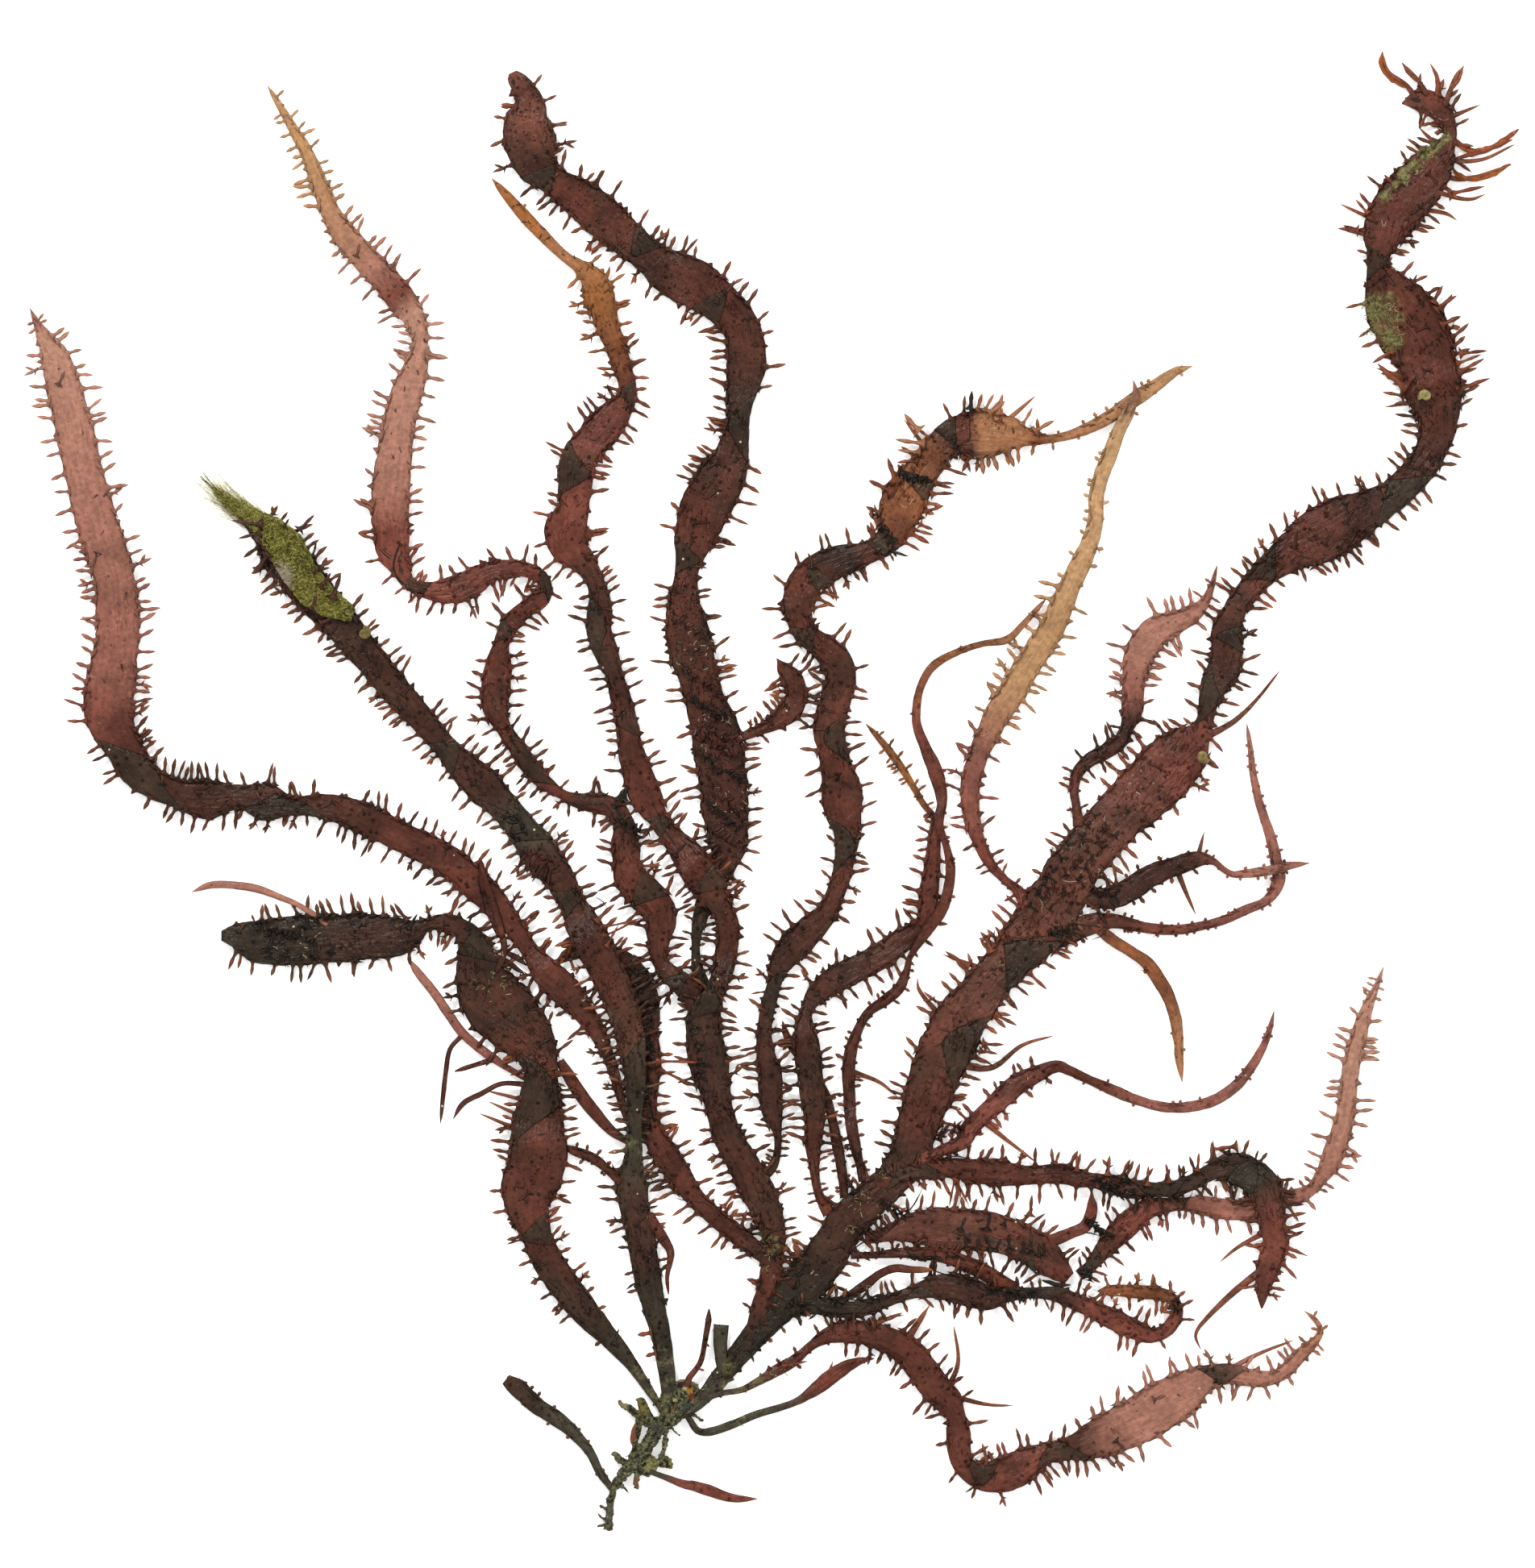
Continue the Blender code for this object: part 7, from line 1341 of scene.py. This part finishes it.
def lay_courses():
    """The course of every blade and spur, and the map of the heights that they take."""
    surfaces = {name: solid_surface(name) for name in BLADES if name not in MAIN_OF}
    courses = {"stipe": Course("stipe", STIPE, STIPE_THICKNESS, solid_surface("stipe"), None)}
    spurs = {}
    for name, blade in BLADES.items():
        surface = surfaces[MAIN_OF.get(name, name)]
        route = ROOTS.get(name, []) + blade.route
        courses[name] = Course(name, route, blade.thickness, surface, courses.get(blade.on))
        spurs[name] = []
        for width, *route in blade.spurs:
            points = [(x, y, w) for (x, y), w in zip(route, np.linspace(width, 0.3, len(route)))]
            spurs[name].append(Course(name, points, SPUR_THICKNESS, surface, courses[name]))
    layers = Layers()
    for course in [*courses.values(), *(spur for group in spurs.values() for spur in group)]:
        for i in range(len(course.at)):
            low, high = course.height[i] - STRAP_ROOM, course.height[i] + STRAP_ROOM
            for u in np.linspace(-1, 1, max(2, int(course.half[i] / 0.2))):
                layers.cover(course.name, course.centre[i] + course.normal[i] * course.half[i] * u, low, high)
    return courses, spurs, layers


def build_fronds(courses, spurs, layers):
    """Every frond with its side blades, spurs and spines, each in place of its solid."""
    leather = blade_material("leather_blade")
    for number, name in enumerate(BLADES):
        if name in MAIN_OF or name == "green_tuft":
            continue
        build = Build()
        for k, branch in enumerate([name] + FUSED.get(name, [])):
            tint, clear = TINTS.get(branch, PLAIN)
            strap = Strap(courses[branch], number * BLADE_SEED + k * BRANCH_SEED)
            add_strap(build, strap, layers, tint, clear)
            for fold in FOLDS.get(branch, []):
                add_fold(build, strap, tint, *fold)
            for spur in spurs[branch]:
                share = courses[branch].nearest(spur.centre[0]) / len(courses[branch].at)
                root = tuple(tint_at(tint, share))
                add_strap(build, Strap(spur, strap.seed + 1, 0.1), layers, [(0, root), (1, SPINE_TIP)], 0.3)
            if BLADES[branch].spine > 0:
                add_margin_spines(build, strap, layers, BLADES[branch].spine, tint, clear)
            add_face_ridges(build, strap, RIDGES.get(branch, 0.0), tint)
            add_dots(build, strap, DOTS.get(branch, OTHER_DOTS) * max(0.1, 1.0 - 1.7 * clear), tint)
        place_piece(build.make(name + "_fine", leather), name)


def furrow(place, scale):
    """How far a place lies from the nearest furrow of the lumpy skin, from 0 in it."""
    return abs(noise.noise(place / scale * 1.4 + Vector((7, 3, 1))))


def roughened(node, name, cell, height, scale):
    """The node's solid as an even, lumpy skin, remeshed to small faces that noise pushes in and out."""
    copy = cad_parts[node].copy()
    copy.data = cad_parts[node].data.copy()
    bpy.context.scene.collection.objects.link(copy)
    remesh = copy.modifiers.new("remesh", "REMESH")
    remesh.mode = "VOXEL"
    remesh.voxel_size = cell * MM
    smooth = copy.modifiers.new("smooth", "SMOOTH")
    smooth.factor = 0.6
    smooth.iterations = 3
    mesh = bpy.data.meshes.new_from_object(copy.evaluated_get(bpy.context.evaluated_depsgraph_get()))
    bpy.data.objects.remove(copy)
    mesh.name = name
    mesh.materials.clear()
    for vertex, normal in zip(mesh.vertices, [v.normal.copy() for v in mesh.vertices]):
        place = vertex.co / MM
        push = height * (noise.noise(place / scale) + 0.5 * noise.noise(place / scale * 2.7))
        push += 0.7 * height * (0.35 - 2.2 * furrow(place, scale))
        vertex.co += normal * push * MM
        vertex.co.z = max(vertex.co.z, 0.0)
    mesh.shade_smooth()
    made = bpy.data.objects.new(name, mesh)
    bpy.context.scene.collection.objects.link(made)
    return made


# The length of the stalk's lumps
STALK_SCALE = 0.9

# Coloured spots on the crown and stalk: (x, y, reach, colour, share)
STALK_SPOTS = [
    (-0.4, 1.3, .7, paint(48, 26, 16), .9), (0.9, 0.5, .6, paint(170, 118, 40), .85),
    (1.2, -0.4, .8, paint(112, 50, 30), .7), (0.2, 0.9, .6, paint(196, 184, 140), .6),
    (1.6, -1, .6, paint(150, 138, 90), .5), (-1.2, -0.9, .5, paint(176, 168, 130), .7),
    (0.6, -2, 1.2, paint(70, 72, 66), .8), (-1.4, -2, .5, paint(120, 70, 36), .6),
    (-5.8, -2, 1.3, paint(120, 104, 48), .6), (-8.6, -1.6, 1.2, paint(138, 128, 92), .6),
    (-9.4, -8.2, 1, paint(136, 128, 96), .6), (-4.6, -10.2, 1.5, paint(140, 134, 84), .75),
    (-1.8, -9.6, .9, paint(134, 126, 70), .7), (-3, -7.4, .9, paint(150, 148, 110), .5),
    (-6.6, -12.6, 1.2, paint(122, 88, 56), .8), (-10.6, -17, 3.2, paint(84, 80, 70), .6),
    (-3.8, -4.8, 1.2, paint(60, 60, 52), .7),
]


def set_fourth(made, value):
    """Gives the fourth value of every vertex's tint."""
    for entry in made.data.attributes["tint"].data:
        entry.color = (*entry.color[:3], value)


def nearness(x, y, centre, reach):
    """From 1 at the centre down to 0 at reach from it."""
    return max(0.0, 1.0 - math.hypot(x - centre[0], y - centre[1]) / reach)


def build_stipe():
    """The knotted stalk with its stubs and crown: dark in the furrows, and with coloured spots."""
    stalk = roughened("stipe", "stipe_fine", 0.13, 0.24, STALK_SCALE)
    tints = []
    for vertex in stalk.data.vertices:
        x, y, _ = vertex.co / MM
        colour = np.array(paint(22, 20, 15))
        share = min(0.6, max(0.0, 2.6 * furrow(vertex.co / MM, STALK_SCALE) - 0.45))
        for at_x, at_y, reach, spot, strength in STALK_SPOTS:
            near = strength * max(0.0, 1.0 - (math.hypot(x - at_x, y - at_y) / reach) ** 2)
            if near > share:
                colour, share = np.array(spot), near
        tints.append((*colour, min(1.0, share * 1.4)))
    give_values(stalk.data, tints, [(0.0, 0.0, 0.0)] * len(tints))
    bark = crust_material("old_stalk", paint(40, 41, 32), paint(128, 126, 88), 0.12, 0.5, 2600.0)
    stalk.data.materials.append(bark)
    place_piece(stalk, "stipe")


def tube(build, points, radii, tint, sides=6, flat=1.0):
    """A bent strand through points in millimetres, flat times as high as it is wide."""
    points = np.array(points, float)
    tangent = np.gradient(points, axis=0)
    tangent /= np.linalg.norm(tangent, axis=1)[:, None]
    rings, tints = [], []
    for middle, along, radius in zip(points, tangent, radii):
        aside = np.cross(along, (0.0, 0.0, 1.0))
        aside /= max(1e-6, np.linalg.norm(aside))
        up = np.cross(aside, along)
        rings.append([tuple(middle + radius * (aside * math.cos(turn) + flat * up * math.sin(turn)))
                      for turn in np.linspace(0, 2 * math.pi, sides, endpoint=False)])
        tints += [tint] * sides
    build.add(rings, tints)


def top_at(x, y):
    """The height of whatever lies uppermost at a place, in millimetres, or None over the bare floor."""
    graph = bpy.context.evaluated_depsgraph_get()
    above = Vector((x * MM, y * MM, RAY_HEIGHT * MM))
    hit, place = bpy.context.scene.ray_cast(graph, above, DOWN)[:2]
    return place.z / MM if hit and place.z > 0 else None


def drape(points, lift):
    """Points laid on what is under them, at their heights plus lift. Gaps are bridged."""
    found = [top_at(x, y) for x, y in points]
    known = [k for k, z in enumerate(found) if z is not None]
    if not known:
        return None
    heights = soften(np.interp(range(len(found)), known, [found[k] for k in known]), 1)
    return [(x, y, z + lift) for (x, y), z in zip(points, heights)]


def lay_spine(build, ink, root, tip, width):
    """One spine from root to tip, each end as high as what it lies on."""
    course = drape([root, tip], 0.12)
    if course is None:
        return
    start, end = np.array(course[0]), np.array(course[1])
    flat = end - start
    reach = math.hypot(flat[0], flat[1])
    rise = max(-0.7, min(0.7, flat[2]))
    colour = np.array(INKS[ink])
    add_spine(build, start, flat, rise, reach, width, 0.7 * colour, colour, rng.uniform(-0.12, 0.12), 0.1)


def lay_crease(build, ink, radius, points):
    """A wrinkle, fold edge or rolled margin that wanders a little and thins out at both ends."""
    rows = smooth_curve([(x, y, radius) for x, y in points])[1]
    route = [(x + 0.12 * bumps(x, y, 0.7), y + 0.12 * bumps(y, x, 0.7)) for x, y, _ in rows]
    laid = drape(route, -0.45 * radius)
    if laid is not None:
        ends = np.minimum(1.0, 0.25 + 0.3 * np.minimum(range(len(rows)), range(len(rows))[::-1]))
        wander = [1.0 + 0.35 * bumps(x, y, 1.1, 5.0) for x, y, _ in rows]
        tube(build, laid, radius * ends * wander, np.array(INKS[ink]), 7, 0.5 if radius > 0.2 else 1.0)


def lay_comb(build, ink, x0, y0, x1, y1, count, heading, length):
    """A row of lying spines, each a little off its place and heading."""
    for k in range(count):
        t = (k + rng.uniform(-0.3, 0.3)) / max(1, count - 1)
        turn = math.radians(heading + rng.gauss(0, 14))
        x, y = x0 + (x1 - x0) * t + rng.gauss(0, 0.2), y0 + (y1 - y0) * t + rng.gauss(0, 0.2)
        size = length * rng.uniform(0.7, 1.15)
        tip = (x + size * math.cos(turn), y + size * math.sin(turn))
        lay_spine(build, ink, (x, y), tip, rng.uniform(0.36, 0.5))


def lay_flecks(build, ink, x, y, reach, count):
    """Short bent bits strewn round a place."""
    for _ in range(count):
        turn, away = rng.uniform(0, 2 * math.pi), reach * math.sqrt(rng.random())
        points = [np.array([x + away * math.cos(turn), y + away * math.sin(turn)])]
        swing = rng.uniform(0, 2 * math.pi)
        for _ in range(rng.choice((2, 3, 5))):
            swing += rng.uniform(-1.2, 1.2)
            points.append(points[-1] + 0.16 * np.array([math.cos(swing), math.sin(swing)]))
        laid = drape(points, 0.03)
        if laid is not None:
            radius = rng.uniform(0.035, 0.07)
            tube(build, laid, [radius] * len(laid), np.array(INKS[ink]) * rng.uniform(0.6, 1.1), 4)


def build_marks():
    """Wrinkles, rolled margins, spines and caught bits that lie on the fronds, in one piece."""
    build = Build()
    for ink, radius, *points in CREASES:
        lay_crease(build, ink, radius, points)
    for comb in COMBS:
        lay_comb(build, *comb)
    for ink, x0, y0, x1, y1, width in LAID:
        lay_spine(build, ink, (x0, y0), (x1, y1), width)
    for flecks in FLECKS:
        lay_flecks(build, *flecks)
    marks = build.make("surface_marks", blade_material("leather_marks"))
    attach(marks, "root")


def build_tuft_core(course):
    """The mat's lumpy core, slimmed toward the tail, with a pale and a green patch."""
    core = roughened("green_tuft", "green_threads_core", 0.18, 0.16, 0.7)
    tints = []
    for vertex in core.data.vertices:
        x, y, z = vertex.co / MM
        slim = 0.7 * min(1.0, max(0.0, (TAIL_START[0] - x + 0.5 * (y - 122.0)) / 3.0))
        inner = course.centre[course.nearest((x, y))]
        slimmed = (x + (inner[0] - x) * slim, y + (inner[1] - y) * slim, z * (1.0 - 0.5 * slim))
        vertex.co = Vector(slimmed) * MM
        pale = nearness(x, y, PALE_PATCH, 2.2)
        green = nearness(x, y, GREEN_PATCH, 2.6)
        shade = paint(178, 162, 148) if pale > green else paint(70, 84, 30)
        tints.append((*shade, min(0.85, 1.6 * max(pale, 0.7 * green))))
    give_values(core.data, tints, [(0.0, 0.0, 0.0)] * len(tints))
    mat = crust_material("thread_mat", paint(46, 44, 18), paint(158, 154, 80), 0.08, 0.8, 2600.0)
    core.data.materials.append(mat)
    place_piece(core, "green_tuft")


def lay_mat_threads(threads, course):
    """Short threads that lie all over the core, fewer and paler on its pale patch."""
    surface = solid_surface("green_tuft")
    for _ in range(MAT_THREADS):
        i = rng.randrange(1, len(course.at) - 8)
        x, y = course.centre[i] + course.normal[i] * course.half[i] * rng.uniform(-0.9, 0.9)
        turn = rng.gauss(math.atan2(course.tangent[i][1], course.tangent[i][0]), 1.0)
        reach = rng.uniform(0.8, 2.2)
        points = []
        for t in np.linspace(0.0, 1.0, 6):
            px = x + math.cos(turn + 0.9 * t) * reach * t
            py = y + math.sin(turn + 0.9 * t) * reach * t
            height = height_on(surface, px, py)
            if math.isnan(height):
                break
            points.append((px, py, height + 0.05 + 0.18 * math.sin(math.pi * t) * rng.random()))
        on_pale = math.hypot(x - PALE_PATCH[0], y - PALE_PATCH[1]) < 1.9
        if on_pale and rng.random() < 0.55:
            continue
        if len(points) > 3:
            colour = np.array(paint(*rng.choice(MAT_GREENS)))
            if on_pale:
                colour = blend(colour, paint(196, 180, 160), 0.6)
            tube(threads, points, [THREAD_RADIUS] * len(points), colour, 3)


def stream_tail_threads(threads, course):
    """Long threads that stream off the core's outer end, sink to the floor and thin out."""
    root = course.nearest(TAIL_START)
    for _ in range(TAIL_THREADS):
        x, y = course.centre[root] + rng.uniform(-1, 1) * course.normal[root] * course.half[root] \
            + rng.uniform(-3, 1.5) * course.tangent[root]
        goal = np.array(TAIL_END) + rng.gauss(0, 1.6) * np.array([0.5, 0.9])
        reach = rng.choice((0.35, 0.5, 0.65, 0.8, 0.95, 1.1, 1.3))
        sway = rng.gauss(0, 0.7)
        points = []
        for t in np.linspace(0.0, 1.0, TAIL_POINTS):
            px = x + (goal[0] - x) * t * reach + sway * math.sin(3.4 * t)
            py = y + (goal[1] - y) * t * reach + sway * math.cos(4.1 * t) * t
            points.append((px, py, 0.9 - 0.6 * t + 0.15 * math.sin(7 * t + x)))
        colour = np.array(paint(*rng.choice(TAIL_GREENS)))
        tube(threads, points, np.linspace(0.04, 0.014, TAIL_POINTS), colour, 3)


def build_tuft(course):
    """The mat of green threads on the end of the left tall frond, and its tail."""
    build_tuft_core(course)
    threads = Build()
    lay_mat_threads(threads, course)
    stream_tail_threads(threads, course)
    green = crust_material("thread_strand", paint(96, 94, 36), paint(150, 146, 76), 0.0, 0.7, 900.0)
    strands = threads.make("green_threads_strands", green)
    set_fourth(strands, 1.0)
    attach(strands, "root")


def build_shells():
    """Three tiny snail shells: a tube that widens as it winds down, with a dark seam between its turns."""
    for number, (node, shade) in enumerate(SHELLS):
        corners = np.array([vertex.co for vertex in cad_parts[node].data.vertices]) / MM
        low, high = corners.min(axis=0), corners.max(axis=0)
        radius = 0.6 * (high[0] - low[0])
        middle = (low + high) / 2
        build = Build()
        points, radii = [], []
        for t in np.linspace(0.0, 1.0, 64):
            grown = 0.06 + 0.94 * t ** 1.7
            turn = 2 * math.pi * SHELL_TURNS * t + number * 2.1
            points.append((middle[0] + 0.62 * radius * grown * math.cos(turn),
                           middle[1] + 0.62 * radius * grown * math.sin(turn),
                           high[2] - 0.16 * radius - (high[2] - low[2]) * 0.42 * t ** 1.2))
            radii.append(0.47 * radius * grown)
        tube(build, points, radii, np.array(paint(*shade)), 12)
        seam = [np.array(p) + (0, 0, 0.5 * r) for p, r in zip(points, radii)]
        seam = [s - 0.93 * (s - middle) * (1, 1, 0) * 0.8 for s in seam]
        outer_turns = seam[24:]
        tube(build, outer_turns, [0.05] * len(outer_turns), np.array(paint(60, 46, 28)), 5)
        horn = crust_material("shell_" + str(number), paint(70, 62, 34), paint(*shade), 0.0, 0.35, 700.0)
        shell = build.make(node + "_fine", horn)
        set_fourth(shell, 0.55)
        place_piece(shell, node)


def build_stage():
    """A white floor, a sky that is brightest overhead, so that hardly a shadow shows, two small lamps for the
    glints on wet ridges, and a camera that looks straight down."""
    bpy.ops.mesh.primitive_plane_add(size=3.0, location=(VIEW_CENTRE[0] * MM, VIEW_CENTRE[1] * MM, -0.0001))
    floor = bpy.context.object
    floor.name = "floor"
    finish = bpy.data.materials.new("floor_white")
    finish.use_nodes = True
    shader = finish.node_tree.nodes["Principled BSDF"]
    shader.inputs["Base Color"].default_value = (0.93, 0.93, 0.925, 1.0)
    shader.inputs["Roughness"].default_value = 0.9
    shader.inputs["Specular IOR Level"].default_value = 0.0
    shader.inputs["Emission Color"].default_value = (1.0, 1.0, 0.995, 1.0)
    shader.inputs["Emission Strength"].default_value = 0.4
    floor.data.materials.append(finish)

    world = bpy.data.worlds.new("soft_sky")
    world.use_nodes = True
    world.node_tree.nodes["Background"].inputs["Color"].default_value = (1.0, 0.995, 0.985, 1.0)
    link = world.node_tree.links.new
    place = world.node_tree.nodes.new("ShaderNodeTexCoord")
    split = world.node_tree.nodes.new("ShaderNodeSeparateXYZ")
    link(place.outputs["Generated"], split.inputs["Vector"])
    ring = world.node_tree.nodes.new("ShaderNodeMapRange")
    for name, number in (("From Min", 0.4), ("From Max", 0.75), ("To Min", 0.5), ("To Max", 1.08)):
        ring.inputs[name].default_value = number
    link(split.outputs["Z"], ring.inputs["Value"])
    link(ring.outputs["Result"], world.node_tree.nodes["Background"].inputs["Strength"])
    bpy.context.scene.world = world

    for name, offset, size, power in (("top_lamp", (-0.30, 0.62, 0.85), 0.07, 8.0),
                                      ("side_lamp", (0.7, -0.2, 0.90), 0.12, 2.0)):
        lamp = bpy.data.objects.new(name, bpy.data.lights.new(name, "AREA"))
        lamp.data.size = size
        lamp.data.energy = power
        lamp.location = (VIEW_CENTRE[0] * MM + offset[0], VIEW_CENTRE[1] * MM + offset[1], offset[2])
        aim = Vector((VIEW_CENTRE[0] * MM, VIEW_CENTRE[1] * MM, 0.0)) - lamp.location
        lamp.rotation_euler = aim.to_track_quat("-Z", "Y").to_euler()
        bpy.context.scene.collection.objects.link(lamp)

    camera = bpy.data.objects.new("camera", bpy.data.cameras.new("camera"))
    camera.data.lens = LENS
    camera.data.sensor_width = SENSOR
    camera.location = (VIEW_CENTRE[0] * MM, VIEW_CENTRE[1] * MM, VIEW_HEIGHT * MM * LENS / SENSOR)
    camera.rotation_euler = (0.0, 0.0, 0.0)
    bpy.context.scene.collection.objects.link(camera)
    bpy.context.scene.camera = camera
    bpy.context.scene.view_settings.view_transform = "Standard"


build_stage()
all_courses, all_spurs, height_map = lay_courses()
build_fronds(all_courses, all_spurs, height_map)
build_stipe()
build_tuft(all_courses["green_tuft"])
build_shells()
build_marks()
